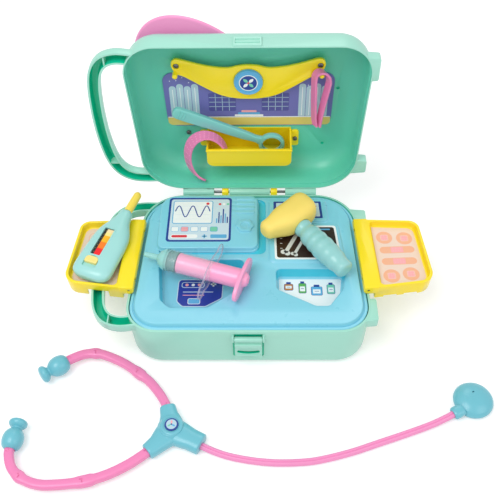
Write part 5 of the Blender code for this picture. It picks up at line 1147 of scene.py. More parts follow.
def bottle(face, foot, wide, tall, colour):
    x, y = foot
    body = rect(x - wide, y - 2, x + wide, y + tall)
    cap = rect(x - wide * 0.5, y + tall - 0.3, x + wide * 0.5, y + tall + 2.6)
    label = rect(x - wide * 0.66, y + 0.8, x + wide * 0.66, y + tall * 0.62)
    line = [(x - wide * 0.4, y + tall * 0.36), (x + wide * 0.4, y + tall * 0.36)]
    return border(face, 1, body, [1.8] * 4, 0.55, inkNavy, colour) + [
        patch(face, 1, cap, [0.5] * 4, inkNavy, 3), patch(face, 3, label, [0.6] * 4, inkWhite, 3),
        stroke(face, 4, line, 0.6, inkNavy)]


def buildBottleCard():
    sizes = bottlePrint
    face = deckSizes["floor"]
    parts = [card("bottleCard", sizes["corners"], sizes["radii"], face, inkWhite)]
    for foot, wide, tall, colour in sizes["bottles"]:
        parts += bottle(face, foot, wide, tall, colour)
    finish(joinUp(parts), None, "base", ["bottle_card"], 20)


labelPrint = {
    "corners": [(-82.6, -54), (-74.9, -62.5), (-47.3, -62.5), (-27.5, -50), (-26.5, -20), (-82, -20)],
    "inset": 2, "panel": (-76, -34, -50, -26),
    "dots": [(-70, -30, inkRose), (-63, -30, inkWhite), (-56, -30, inkRose)],
    "lines": [((-74, -40), (-40, -40), inkPale), ((-74, -44.5), (-50, -44.5), inkRose)],
    "tab": (-68, -57, -54, -49), "plus": (-40, -29),
}


def buildLabel():
    sizes = labelPrint
    face = deckSizes["floor"]
    corners = insetCorners(sizes["corners"], sizes["inset"])
    parts = [card("recessLabel", corners, [5] * 6, face, inkPale),
             patch(face, 0, insetCorners(corners, 0.9), [4] * 6, inkRoyal),
             *border(face, 1, rect(*sizes["panel"]), [3] * 4, 0.7, inkPale, inkRoyal)]
    for x, y, colour in sizes["dots"]:
        parts.append(spot(face, 3, (x, y), 1.9, colour))
    for start, end, colour in sizes["lines"]:
        parts.append(stroke(face, 1, [start, end], 0.9, colour))
    parts += border(face, 1, rect(*sizes["tab"]), [2] * 4, 0.6, inkWhite, inkSky)
    parts += plus(face, 1, sizes["plus"], 3.2, 1.0, inkWhite)
    finish(joinUp(parts), None, "base", ["recess_label"], 20)


buildMonitorCard()
buildChartCard()
buildFilmCard()
buildBottleCard()
buildLabel()
print("deck cards done")


# latch flap: a plate on a barrel with a finger bar, a slot and a scooped foot

latchSizes = {
    "half": 14.8, "low": 19, "high": 58, "pivotY": -105, "pivotZ": 56, "sheet": 2.4, "barrel": 2.5,
    "axle": 1.3, "axleOut": 2.7, "bar": (42, 48.5), "brim": (24.5, 27),
    "bow": [(0, 28.6, 34.0), (6, 29.2, 34.4)], "bowEnd": (31.0, 35.2), "scoop": (16, 8),
    "dish": [(-4.2, 15, 4.6, 0, 38.6), (-0.1, 11.5, 2.6, 0, 38.6), (0.55, 8, 1.4, 0, 38.6)],
}


# the slot's outline bows down a little in its middle
def latchSlot():
    end = latchSizes["half"] - 2.6
    low, high = latchSizes["bowEnd"]
    (_, midLow, midHigh), (out, outLow, outHigh) = latchSizes["bow"]
    return [(-end, low), (-out, outLow), (0, midLow), (out, outLow), (end, low), (end, high), (out, outHigh),
            (0, midHigh), (-out, outHigh), (-end, high)]


# barrel and axle as one solid along X, from an axle's end at (x, y, z)
def latchBarrel(x, y, z):
    axle, barrel, reach = latchSizes["axle"], latchSizes["barrel"], latchSizes["axleOut"]
    end = [(axle - 0.3, 0), (axle - 0.09, 0.09), (axle, 0.3), (axle, reach), (barrel - 0.4, reach),
           (barrel - 0.12, reach + 0.12), (barrel, reach + 0.4)]
    long = -2 * x
    profile = end + [(radius, long - place) for radius, place in end[::-1]]
    return put(turned("barrel", profile, 28), along((x, y, z), (1, 0, 0)))


def buildLatch():
    sizes = latchSizes
    half, y, height = sizes["half"], sizes["pivotY"], sizes["pivotZ"]
    outline = rect(-half, sizes["low"], half, sizes["high"])
    flap = greens(slab("latch", outline, [3.5, 3.5, 1, 1], 0, sizes["sheet"], 0, 0.7))
    low, high = sizes["bar"]
    weld(flap, slab("bar", rect(-half + 0.3, low, half - 0.3, high), [1] * 4, -2.4, 1, 0, 0.9))
    low, high = sizes["brim"]
    weld(flap, slab("brim", rect(-half + 1.6, low, half - 1.6, high), [0.8] * 4, -0.7, 1, 0, 0.5))
    ends = [1.2, 0, 0, 0, 1.2]
    # the slot's faces take slot 2, the darker painted shade
    carve(flap, greens(slab("slot", latchSlot(), ends + ends, -9, 9, segments=4), 2))
    radius, place = sizes["scoop"]
    carve(flap, stack("scoop", [(-9, radius, radius, 0, place), (9, radius, radius, 0, place)], 64))
    carve(flap, stack("dish", sizes["dish"], 40, 2.6))
    put(flap, uprightFrame(y))
    weld(flap, latchBarrel(-half - sizes["axleOut"], y, height))
    finish(soften(flap, 0.3, 2, 40), None, "latch", ["latch_flap"])


# hinge clips and the screws' heads

clipSizes = {
    "span": (26.0, 34.0), "radius": 5, "bore": 1.9, "groove": 2.9, "grooveHalf": 1.2, "tailLow": 48,
    "tailY": 102.3, "tailThick": 2.4, "pinRadius": 1.6, "pinHalf": 81.5,
}
screwSizes = {"head": 2.9, "crown": 2.0, "shaft": 1.5, "cross": 1.9, "slotWide": 0.62, "slotDeep": 1.0}


def buildClips():
    sizes = clipSizes
    axis, height = caseSizes["axisY"], caseSizes["baseHeight"]
    for sign, label in ((-1, "left"), (1, "right")):
        x0, x1 = sorted(sign * x for x in sizes["span"])
        clip = rod(sizes["radius"], (x0, axis, height), (x1, axis, height), 36, 0.5)
        tail = slab("tail", rect(x0, sizes["tailLow"], x1, height), [1.2, 1.2, 0.2, 0.2], 0,
                    sizes["tailThick"], 0, 0.5)
        weld(clip, put(tail, uprightFrame(sizes["tailY"])))
        carve(clip, rod(sizes["bore"], (x0 - 3, axis, height), (x1 + 3, axis, height), 24))
        middle, half = (x0 + x1) / 2, sizes["grooveHalf"]
        carve(clip, rod(sizes["groove"], (middle - half, axis, height), (middle + half, axis, height), 24))
        finish(soften(clip, 0.2, 2, 45), yellow, "base", ["hinge_clip_" + label])
    half = sizes["pinHalf"]
    pin = rod(sizes["pinRadius"], (-half, axis, height), (half, axis, height), 20, 0.3)
    finish(pin, steel, "base", ["hinge_pin"])


# a pan-head screw with a cross recess, its head towards the front
def screwHead(x, z, headY, length):
    sizes = screwSizes
    head, crown, shaft = sizes["head"], sizes["crown"], sizes["shaft"]
    profile = [(head * 0.55, 0), (head * 0.82, 0.18), (head * 0.96, 0.55), (head, 1.1), (head, crown),
               (shaft, crown), (shaft, crown + length - 1), (0.3, crown + length)]
    piece = turned("screw", profile, 24)
    for turn in (0, 1):
        a, b = (sizes["cross"], sizes["slotWide"]) if turn else (sizes["slotWide"], sizes["cross"])
        carve(piece, block((-a, -b, -1), (a, b, sizes["slotDeep"])))
    return put(piece, axes((x, headY - 0.3, z), (1, 0, 0), (0, 0, -1), (0, 1, 0)))


# the heads' depths and the shafts' lengths, by the piece that they hold
screwDepths = {"emblem": (147.5, 6), "wing": (140.6, 8.6), "pocket": (144.8, 5)}


def buildScrews():
    for i, (x, z) in enumerate(screwPlaces["emblem"], 1):
        finish(screwHead(x, z, *screwDepths["emblem"]), steel, "lid", ["emblem_screw_%d" % i])
    for held in ("wing", "pocket"):
        x, z = screwPlaces[held]
        for sign, label in ((-1, "left"), (1, "right")):
            piece = screwHead(sign * x, z, *screwDepths[held])
            finish(piece, steel, "lid", [held + "_screw_" + label])


# trays, drawn outward from the case wall and along it

traySizes = {
    "corners": [(2.5, -51.6), (73, -45), (69, 45.5), (2.5, 50.6)], "radii": [1.5, 16, 12, 1.5],
    "card": [(13.4, -46.8), (68, -41.4), (64.4, 41.4), (13.4, 45.6)], "cardRadii": [1, 11, 8, 1], "skirt": 57,
    "rim": 77, "floor": 68.6, "notch": (22.5, 46.5), "dips": (17, 40), "dipWide": 15, "dipHigh": 2.2,
    "barRadius": 5.4, "barSpan": (-51.9, 51.0), "reach": 70, "bore": 1.6, "pin": 1.3,
    "pinSpan": (-51.3, 45.7),
    "well": [(-2.95, 0), (-0.15, 0.35), (-0.5, 0.4), (-4.9, 0.25), (-1.7, 0.35), (-0.75, 0.45), (-0.35, 0.7),
             (-0.1, 0.9)],
}


def trayFrom(out):
    corners = list(traySizes["corners"])
    corners[0], corners[3] = (out, corners[0][1]), (out, corners[3][1])
    return corners


# the hinge bar along the tray's inner edge, drawn out-up and carried along the wall
def trayBar():
    radius, pivot, height = traySizes["barRadius"], trayHinge["out"], trayHinge["height"]
    turns = [math.radians(a) for a in range(155, 275, 10)]
    section = [(radius * math.cos(turn), radius * math.sin(turn)) for turn in turns]
    section += [(0, -radius), (11, -radius), (11, 5), (1.6 - radius, 5), (0.7 - radius, 4.5)]
    outline = [(pivot + a, height + z) for a, z in section]
    bar = slab("bar", outline, [0] * len(outline), *traySizes["barSpan"], 0.5, 0.5, edgeSegments=2)
    return put(bar, axes((0, 0, 0), (1, 0, 0), (0, 0, 1), (0, 1, 0)))


def traySlot(station):
    pivot, height = trayHinge["out"], trayHinge["height"]
    corners = rect(pivot - 8, height - 8, pivot + 3.2, height + 3)
    slot = slab("slot", corners, [0, 0, 1.2, 0], station - 2.1, station + 2.1, segments=4)
    return put(slot, axes((0, 0, 0), (1, 0, 0), (0, 0, 1), (0, 1, 0)))


def buildTray(sign, label):
    sizes = traySizes
    pivot, height, reach = trayHinge["out"], trayHinge["height"], sizes["reach"]
    tray = slab("tray", sizes["corners"], sizes["radii"], sizes["skirt"], sizes["rim"], 1.1, segments=10)
    openMesh(tray, "VERT")
    pickVerts(tray, lambda co: co.z < sizes["skirt"] + 0.1)
    bpy.ops.transform.resize(value=(0.97, 0.978, 1), center_override=(37.7 * mm, 0, 0))
    closeMesh()
    weld(tray, trayBar())
    well = plan("well", insetCorners(trayFrom(9), 2.5), [6, 14, 10, 6], sizes["rim"] + 3, 7)
    carve(tray, raiseFace(well, sizes["well"]))
    low, under = sizes["skirt"] - 3, sizes["floor"] - 1.8
    carve(tray, slab("under", insetCorners(trayFrom(8), 3), [3, 13, 9, 3], low, under, 1.2, segments=8))
    carve(tray, block((-6.6, -reach, low), (6.6, reach, 66.6)))
    start, end = sizes["notch"]
    cuts = [(start, end, under - 0.1)]
    if label == "right":
        high = sizes["skirt"] + sizes["dipHigh"]
        cuts = [(start, start + sizes["dipWide"], high) for start in sizes["dips"]]
    for start, end, high in cuts:
        carve(tray, block((start, -reach, low), (end, reach, high)))
    for station in trayHinge["ears"]:
        carve(tray, traySlot(station))
    carve(tray, rod(sizes["bore"], (pivot, -56, height), (pivot, 47.1, height), 20))
    put(tray, trayFrame(sign))
    finish(soften(tray, 0.25, 2, 45), yellow, label + "_tray", ["tray_" + label])
    low, high = sizes["pinSpan"]
    pin = put(rod(sizes["pin"], (pivot, low, height), (pivot, high, height), 18, 0.3), trayFrame(sign))
    finish(pin, steel, label + "_tray", ["tray_pin_" + label])


# what is printed on the trays' cards: round and long dressings on one, plain outlines on the other
trayPrint = {
    "round": [(28, 27), (51, 25), (28, -30), (50, -28)], "roundRadius": 9.4, "roundPad": 4.4,
    "roundHole": 2.6, "long": (8, -9), "longSpan": (20, 60), "longHalf": 5, "longPad": (33, 47, 4),
    "hole": 0.42, "outlines": [(19, -36, 60, -8), (19, -2, 36, 34), (42, -2, 58, 34)],
}


def roundDressing(face, out, place):
    half, step = trayPrint["roundPad"], trayPrint["roundHole"]
    pad = rect(out - half, place - half, out + half, place + half)
    parts = [spot(face, 0, (out, place), trayPrint["roundRadius"], inkPeach)]
    parts += border(face, 1, pad, [1.6] * 4, 0.5, inkBeige, inkRose)
    for i in range(9):
        hole = (out - step + step * (i % 3), place - step + step * (i // 3))
        parts.append(spot(face, 3, hole, trayPrint["hole"], inkBeige, 10))
    return parts


def longDressing(face, place):
    (x0, x1), half = trayPrint["longSpan"], trayPrint["longHalf"]
    pad0, pad1, padHalf = trayPrint["longPad"]
    parts = [patch(face, 0, rect(x0, place - half, x1, place + half), [half] * 4, inkPeach),
             patch(face, 1, rect(pad0, place - padHalf, pad1, place + padHalf), [1] * 4, inkRose)]
    for i in range(8):
        hole = (35.4 + 3 * (i % 4), place - 1.6 + 3.2 * (i // 4))
        parts.append(spot(face, 2, hole, trayPrint["hole"], inkBeige, 10))
    return parts


def buildTrayCard(sign, label):
    face = traySizes["floor"]
    corners = insetCorners(traySizes["card"], 1.5)
    parts = [card("trayCard", corners, traySizes["cardRadii"], face, inkBeige, 8)]
    if label == "right":
        for out, place in trayPrint["round"]:
            parts += roundDressing(face, out, place)
        for place in trayPrint["long"]:
            parts += longDressing(face, place)
    else:
        for corners in trayPrint["outlines"]:
            parts += border(face, 0, rect(*corners), [5] * 4, 0.7, inkPeach, inkBeige)
    piece = joinUp(parts)
    put(piece, trayFrame(sign))
    finish(piece, None, label + "_tray", ["tray_card_" + label], 20)


buildLatch()
buildClips()
buildScrews()
for sign, label in ((-1, "left"), (1, "right")):
    buildTray(sign, label)
    buildTrayCard(sign, label)
print("latch, hinge, screws and trays done")


# lid fittings, drawn in X-Z against the lid's floor

wingSizes = {
    "front": 140, "thick": 3, "post": 5.2, "postTo": 149.2, "bore": 1.8, "peg": (81.6, 219.4), "pegOut": 7.6,
    "seat": (17.6, 17.0), "half": [(0, 229.6), (11.2, 228.6), (22.6, 225.8), (39.4, 227.2), (57.4, 231.4),
                                   (77, 237.6), (83.2, 236.4), (85.6, 231.5), (84.6, 225), (79.7, 218),
                                   (70.4, 213.4), (49, 199), (31.2, 188.7), (14.1, 184.4), (0, 183.6)],
}
badgeSizes = {"place": (0, 208.8), "radius": 16.3, "back": 139.7, "level": 3.58}


# a flat face through a dense outline
def outlinePlan(name, points, z=0.0):
    fresh()
    bpy.ops.mesh.primitive_circle_add(vertices=len(points), radius=1, fill_type="NGON")
    piece = bpy.context.object
    piece.name = name
    for vert, point in zip(piece.data.vertices, points):
        vert.co = (point[0] * mm, point[1] * mm, z * mm)
    return facesOut(piece)


# a closed outline through a few stations, as one smooth loop
def loop(points, pieces=5):
    total = len(points)
    route = easy([(*points[i % total], 0) for i in range(-2, total + 3)], pieces)
    return [(p.x, p.y) for p in route[2 * pieces:(total + 2) * pieces]]


# the flat outline given a height and softened edges on the side that shows
def platePiece(name, points, thick, edge):
    piece = outlinePlan(name, points)
    raiseFace(piece, [(thick, 0)])
    roundEdges(piece, lambda a, b: a.z > thick - 0.01 and b.z > thick - 0.01, edge, 3)
    return piece


# turned about an axis that points into the lid, from a place in X-Z
def turnedInto(name, profile, x, y, z, sides=32):
    return put(turned(name, profile, sides), axes((x, y, z), (1, 0, 0), (0, 0, -1), (0, 1, 0)))


def buildWing():
    sizes = wingSizes
    half = sizes["half"]
    outline = loop(half + [(-x, z) for x, z in half[-2:0:-1]], 4)
    front, thick = sizes["front"], sizes["thick"]
    wing = put(platePiece("wing", outline, thick, 0.9), facingFrame(front + thick))
    for sign in (-1, 1):
        x, z = screwPlaces["wing"]
        x = sign * x
        weld(wing, rod(sizes["post"], (x, 142, z), (x, sizes["postTo"], z), 32))
        carve(wing, turnedInto("well", [(4.2, -2), (4.2, 0), (3.6, 0.4), (3.3, 2.6)], x, front, z))
        carve(wing, rod(sizes["bore"], (x, front, z), (x, 153, z), 20))
        x, z = sizes["peg"]
        peg = [(1.2, 0), (2.2, 0.2), (2.8, 0.8), (3.0, 1.6), (3.0, 8.6)]
        weld(wing, turnedInto("peg", peg, sign * x, front - sizes["pegOut"], z))
    x, z = badgeSizes["place"]
    raised, sunk = sizes["seat"]
    weld(wing, rod(raised, (x, front - 0.5, z), (x, front + 1, z), 64, 0.3))
    carve(wing, rod(sunk, (x, front - 2, z), (x, front - 0.25, z), 64))
    finish(soften(wing, 0.25, 2, 45), yellow, "lid", ["wing_plate"])


# one flat ink on a badge: a disc or a leaf, sunk a little and standing proud by its rise
def badgeInk(level, rise, wide, high, material, out=0, sides=60, power=2.0, sunk=0.3):
    rings = [(level - sunk, wide, high, out, 0), (level + rise, wide, high, out, 0)]
    return dress(stack("ink", rings, sides, power), material)


# badge disc: a blue dome with a raised rim and a plain sprig of four leaves
def buildBadge():
    sizes = badgeSizes
    radius, level = sizes["radius"], sizes["level"]
    profile = [(radius, 0.05), (radius, 2.8), (radius - 0.3, 3.5), (radius - 1.0, 3.95), (radius - 1.8, 3.8),
               (radius - 2.3, 3.35), (radius - 6, 3.5), (4, 3.6), (0.1, 3.62)]
    parts = [dress(turned("badge", profile, 72), inkSky), badgeInk(level, 0, 10.6, 10.6, inkWhite),
             badgeInk(level, 0.04, 9.6, 9.6, inkNavy)]
    for i in range(4):
        leaf = badgeInk(level, 0.08, 3.4, 1.9, (inkWhite, inkMint)[i % 2], 4.4, 32, 1.5)
        parts.append(put(leaf, Matrix.Rotation(math.radians(45 + 90 * i), 4, "Z")))
    parts.append(badgeInk(level, 0.12, 1.3, 1.3, inkRed, 0, 24))
    x, z = sizes["place"]
    piece = put(joinUp(parts), axes((x, sizes["back"], z), (1, 0, 0), (0, 0, 1), (0, -1, 0)))
    finish(piece, None, "lid", ["wing_badge"], 30)


pocketSizes = {
    "half": 50.5, "front": 113.5, "back": 149.2, "low": 103.5, "top": 134.5, "wall": 2, "cutAbove": 9,
    "frontTop": 129.5, "band": (126.6, 129.2), "bandOut": 0.7, "lugOut": 9.5, "lugSpan": (107, 131),
    "lugY": 146.8, "lugThick": 2.4, "bore": 1.8,
}


def buildPocket():
    sizes = pocketSizes
    half, low, top, wall = sizes["half"], sizes["low"], sizes["top"], sizes["wall"]
    front, back, over = sizes["front"], sizes["back"], sizes["top"] + sizes["cutAbove"]
    pocket = slab("pocket", rect(-half, low, half, top), [8, 8, 0.6, 0.6], 0, back - front, 0, 1.4)
    room = rect(-half + wall, low + wall, half - wall, over)
    carve(pocket, slab("inner", room, [6, 6, 0.3, 0.3], wall, back - front - wall, 0, 1.0))
    put(pocket, uprightFrame(front))
    slope = [(front - 3, sizes["frontTop"]), (front + 4, sizes["frontTop"] + 0.2), (back - 4, top - 0.6),
             (back - 4, over), (front - 3, over)]
    cutter = slab("slope", slope, [0] * 5, -60, 60)
    carve(pocket, put(cutter, axes((0, 0, 0), (0, 1, 0), (0, 0, 1), (1, 0, 0))))
    band0, band1 = sizes["band"]
    out = half + sizes["bandOut"]
    weld(pocket, put(slab("band", rect(-out, band0, out, band1), [0.8] * 4, -0.7, 6, 0, 0.5),
                     uprightFrame(front)))
    room = rect(-half + wall, 108, half - wall, over)
    carve(pocket, put(slab("inner", room, [2] * 4, wall, back - front - wall), uprightFrame(front)))
    x, z = screwPlaces["pocket"]
    low, high = sizes["lugSpan"]
    for sign in (-1, 1):
        x0, x1 = sorted((sign * (half - 1), sign * (half + sizes["lugOut"])))
        lug = slab("lug", rect(x0, low, x1, high), [3.5] * 4, 0, sizes["lugThick"], 0, 0.6)
        weld(pocket, put(lug, uprightFrame(sizes["lugY"])))
        carve(pocket, rod(sizes["bore"], (sign * x, 144, z), (sign * x, 153, z), 20))
    finish(soften(pocket, 0.25, 2, 45), yellow, "lid", ["pocket"])


# backdrop card: a plain evening wall with dots, a lattice and a pale panel on each side
backdropPrint = {
    "corners": [(-97, 138), (97, 138), (98.5, 214), (-98.5, 214)], "thick": 0.8, "front": 149.0,
    "floor": [(-96.4, 139), (96.4, 139), (96.6, 150.5), (-96.6, 150.5)], "skirting": (-96, 150.5, 96, 151.6),
    "lattices": (-47, 15), "latticeLow": 160, "latticeWide": 32, "latticeHigh": 26, "lineHalf": 0.3,
    "drapes": 4, "drapeFrom": 58, "drapeStep": 8.6, "drapeWide": 8, "drapeTop": 199, "dots": 26,
    "steps": [(17, inkWhite), (13, inkSky), (9, inkRose)], "stepLow": 152, "stepRise": 3.1,
}


def wallTile(corners, radii, layer, material, segments=4):
    low = backdropPrint["thick"] + inkStep * layer
    return dress(slab("ink", corners, radii, low - 0.2, low + inkStep, segments=segments), material)


def wallLattice(x0):
    sizes = backdropPrint
    low, wide, high, half = sizes["latticeLow"], sizes["latticeWide"], sizes["latticeHigh"], sizes["lineHalf"]
    parts = [wallTile(rect(x0, low, x0 + wide, low + high), [2] * 4, 0, inkGrid)]
    for i in range(1, 4):
        x, z = x0 + wide / 4 * i, low + high / 4 * i
        for line in (rect(x - half, low + 0.6, x + half, low + high - 0.6),
                     rect(x0 + 0.6, z - half, x0 + wide - 0.6, z + half)):
            parts.append(wallTile(line, [0.1] * 4, 1, inkDrape, 1))
    return parts


def wallDrape(side, i):
    sizes = backdropPrint
    start = sizes["drapeFrom"] + sizes["drapeStep"] * i
    x0, x1 = sorted((side * start, side * (start + sizes["drapeWide"])))
    high = sizes["drapeTop"] - 3 * (i % 2)
    return [wallTile(rect(x0, 152, x1, high), [0.6, 0.6, 4, 4], 0, inkDrape),
            wallTile(rect(x0 + 3.6, 153, x0 + 4.4, high - 5), [0.2] * 4, 1, inkWhite, 1)]


def buildBackdrop():
    sizes = backdropPrint
    thick = sizes["thick"]
    sheet = slab("backdrop", sizes["corners"], [12] * 4, 0, thick, 0.1, segments=8, edgeSegments=1)
    parts = [dress(sheet, inkNight), wallTile(sizes["floor"], [11, 11, 0.5, 0.5], 0, inkStraw, 8),
             wallTile(rect(*sizes["skirting"]), [0.2] * 4, 1, inkWhite, 1)]
    for x0 in sizes["lattices"]:
        parts += wallLattice(x0)
    for side in (-1, 1):
        for i in range(sizes["drapes"]):
            parts += wallDrape(side, i)
    for i in range(sizes["dots"]):
        x = -90 + 7.2 * i
        z = 191 + 17 * abs(math.sin(i * 2.3)) if abs(x) < 88 else 203
        dot = stack("ink", [(thick - 0.2, 0.6, 0.6, x, z), (thick + inkStep, 0.6, 0.6, x, z)], 12)
        parts.append(dress(dot, inkWhite))
    for i, (wide, colour) in enumerate(sizes["steps"]):
        low = sizes["stepLow"] + sizes["stepRise"] * i
        parts.append(wallTile(rect(-wide, low, wide, low + 2.7), [1] * 4, 2, colour))
    piece = put(joinUp(parts), facingFrame(sizes["front"]))
    finish(piece, None, "lid", ["backdrop_card"], 20)


# emblem: a smooth oval plate with a shallow channel and small pits
emblemSizes = {
    "half": (113, 67), "turn": 125, "place": (-42.2, 152.1, 182.6), "channel": (12, 14.4), "pits": 9,
    "pitHalf": (84, 40), "bore": 1.8,
    "rings": [(0.0, 2.0), (0.25, 1.0), (0.8, 0.2), (1.6, 0.0), (3.6, 0.0), (4.4, 0.4), (4.8, 1.0),
              (5.0, 2.0)],
}


def buildEmblem():
    sizes = emblemSizes
    long, wide = sizes["half"]
    turn = math.radians(sizes["turn"])
    aim = Vector((math.cos(turn), 0, math.sin(turn)))
    cross = Vector((aim.z, 0, -aim.x))
    emblem = stack("emblem", [(h, long - e, wide - e) for h, e in sizes["rings"]], 120)
    near, far = sizes["channel"]
    outer = stack("channel", [(4.5, long - near, wide - near), (6, long - near + 1, wide - near + 1)], 120)
    core = stack("core", [(4, long - far, wide - far), (7, long - far - 1, wide - far - 1)], 120)
    carve(emblem, carve(outer, core))
    for i in range(sizes["pits"]):
        angle = math.radians(40 * i + 12)
        x, y = sizes["pitHalf"][0] * math.cos(angle), sizes["pitHalf"][1] * math.sin(angle)
        carve(emblem, stack("pit", [(4.4, 1.2, 1.2, x, y), (4.7, 1.7, 1.7, x, y), (6, 2.2, 2.2, x, y)], 24))
    put(emblem, axes(sizes["place"], aim, cross, aim.cross(cross)))
    for x, z in screwPlaces["emblem"]:
        carve(emblem, rod(sizes["bore"], (x, 151, z), (x, 155.6, z), 20))
    finish(emblem, emblemPink, "lid", ["emblem"], 30)


# bracelet strip hooked on the pocket's wall: rounded edges and rows of small bumps
bandSizes = {
    "centre": (-50.5, 111.2), "half": (25, 34), "wide": 14.2, "thick": 2.4, "lean": 8, "turn": 38,
    "place": 123.0, "start": -8, "sweep": 270, "stations": 66, "rows": (-4.8, -1.6, 1.6, 4.8),
}


def buildBand():
    sizes = bandSizes
    (cx, cz), (rx, rz) = sizes["centre"], sizes["half"]
    thick, total = sizes["thick"], sizes["stations"]
    route, widths, scales, marks = [], [], [], []
    for i in range(total + 1):
        angle = math.radians(sizes["start"] + sizes["sweep"] * i / total)
        lean = sizes["lean"] * max(0.0, (angle - math.radians(150)) / math.radians(112))
        end = min(i, total - i)
        out = Vector((math.cos(angle) / rx, 0, math.sin(angle) / rz)).normalized()
        turn = math.radians(sizes["turn"]) * min(1.0, max(0.0, (math.degrees(angle) - 80) / 60))
        width = Vector((0, math.cos(turn), 0)) + out * math.sin(turn)
        face = out * math.cos(turn) - Vector((0, math.sin(turn), 0))
        route.append(Vector((cx + (rx - thick / 2) * math.cos(angle), sizes["place"] - lean,
                             cz + (rz - thick / 2) * math.sin(angle))))
        widths.append(width)
        scales.append((min(1.0, math.sqrt(max(0.0, 1 - (1 - min(1, (end + 0.4) / 5)) ** 2))), 1.0))
        if i % 3 == 1 and end > 4:
            marks.append((route[-1] + face * thick * 0.5, width, face))
    section = flatSection(sizes["wide"] / 2, 1.1, 0.5, 0.6)
    parts = [dress(sweep("band", route, section, widths=widths, sizes=scales), pink)]
    bump = dress(stack("bump", [(-0.3, 0.8, 0.8), (0.15, 0.72, 0.72), (0.3, 0.45, 0.45)], 10), bubblegum)
    for here, width, face in marks:
        for row in sizes["rows"]:
            only(bump)
            bpy.ops.object.duplicate()
            parts.append(put(bpy.context.object, along(here + width * row, face)))
    bpy.data.objects.remove(bump, do_unlink=True)
    finish(joinUp(parts), None, "band", ["plaster_band"], 50)


# mirror: a tapered handle with grip lines, a rimmed ring and its silvered disc
mirrorSizes = {
    "end": (-88, 171.8), "ring": (27, 121.6), "low": 130.5, "high": 136.5, "middle": 133.5, "hole": 11.6,
    "groove": 13.0, "disc": 12.7, "neck": 14.1, "gripLines": (8.0, 11.5, 15.0), "gripHalf": 5.4,
    "half": [(0, 0), (0.004, 3.2), (0.02, 6.0), (0.05, 7.3), (0.09, 7.6), (0.234, 7.6), (0.54, 6.4),
             (0.79, 5.6), (0.93, 4.2), (1.0, 5.6)],
    "rim": [(11.6, -3), (14.4, -3), (15.2, -2.6), (15.6, -1.8), (15.6, 1.8), (15.2, 2.6), (14.4, 3),
            (11.6, 3)],
}


def buildMirror():
    sizes = mirrorSizes
    end, ring = Vector(sizes["end"]), Vector(sizes["ring"])
    aim = (ring - end).normalized()
    side = Vector((-aim.y, aim.x))
    reach = (ring - end).length - sizes["neck"]
    low, high, middle = sizes["low"], sizes["high"], sizes["middle"]
    upper = easy([(s * reach, w, 0) for s, w in sizes["half"]], 4)
    outline = [(p.x, p.y) for p in upper] + [(p.x, -p.y) for p in upper[:0:-1]]
    points = [tuple(end + aim * s + side * w) for s, w in outline]
    handle = put(raiseFace(outlinePlan("handle", points), [(high - low, 0)]), facingFrame(high))
    soften(handle, 1.5, 3, 40)
    weld(handle, turnedInto("rim", sizes["rim"], ring.x, middle, ring.y, 64))

    def through(radius, start, stop, edge=0.0):
        return rod(radius, (ring.x, start, ring.y), (ring.x, stop, ring.y), 64, edge)

    carve(handle, through(sizes["hole"], 128, 139), through(sizes["groove"], middle - 1.1, middle + 1.1))
    for s in sizes["gripLines"]:
        a, b = (end + aim * s + side * w for w in (sizes["gripHalf"], -sizes["gripHalf"]))
        weld(handle, rod(0.7, (a.x, low, a.y), (b.x, low, b.y), 16, 0.3))
    finish(handle, mirrorTeal, "mirror", ["mirror_frame"])
    disc = through(sizes["disc"], middle - 0.7, middle + 0.7, 0.2)
    finish(disc, silver, "mirror", ["mirror_disc"])


# tweezers: one bent strip hung on the wing plate's right peg, with pinched, ribbed tips
tweezerSizes = {
    "long": 75, "place": 134.6, "half": 4.9, "thick": 1.3, "wideAim": (-0.5, 0.866, 0),
    "faceAim": (0.866, 0.5, 0), "ribs": (1, 2, 3, 4), "ribHalf": 4.2, "middle": 79,
    "shares": [(-0.0507, -0.9387), (-0.0747, -0.7920), (-0.0907, -0.5253), (-0.1013, -0.2587),
               (-0.1067, -0.0720), (-0.0907, 0.0213), (-0.0400, 0.0667), (0.0320, 0.0587), (0.0933, -0.0107),
               (0.1120, -0.1040), (0.1013, -0.2053), (0.0667, -0.4187), (0.0240, -0.7120), (0.0, -0.9387)],
}


def buildTweezers():
    sizes = tweezerSizes
    (x, z), long = wingSizes["peg"], sizes["long"]
    route = easy([(x + across * long, sizes["place"], z + up * long) for across, up in sizes["shares"]], 6)
    width = Vector(sizes["wideAim"])
    section = flatSection(sizes["half"], sizes["thick"], 0.5, 0.6)
    parts = [dress(sweep("strip", route, section, widths=[width] * len(route)), pink)]
    reach = width * sizes["ribHalf"]
    for i in sizes["ribs"]:
        for here in (route[i], route[-1 - i]):
            out = Vector(sizes["faceAim"]) * (1 if here.x > sizes["middle"] else -1) * 1.2
            parts.append(dress(rod(0.45, here - reach + out, here + reach + out, 10, 0.15), pink))
    finish(joinUp(parts), None, "tweezer", ["tweezers"], 40)


buildWing()
buildBadge()
buildPocket()
buildBackdrop()
buildEmblem()
buildBand()
buildMirror()
buildTweezers()
print("lid fittings done")


# instruments that lie out on the deck and in the left tray

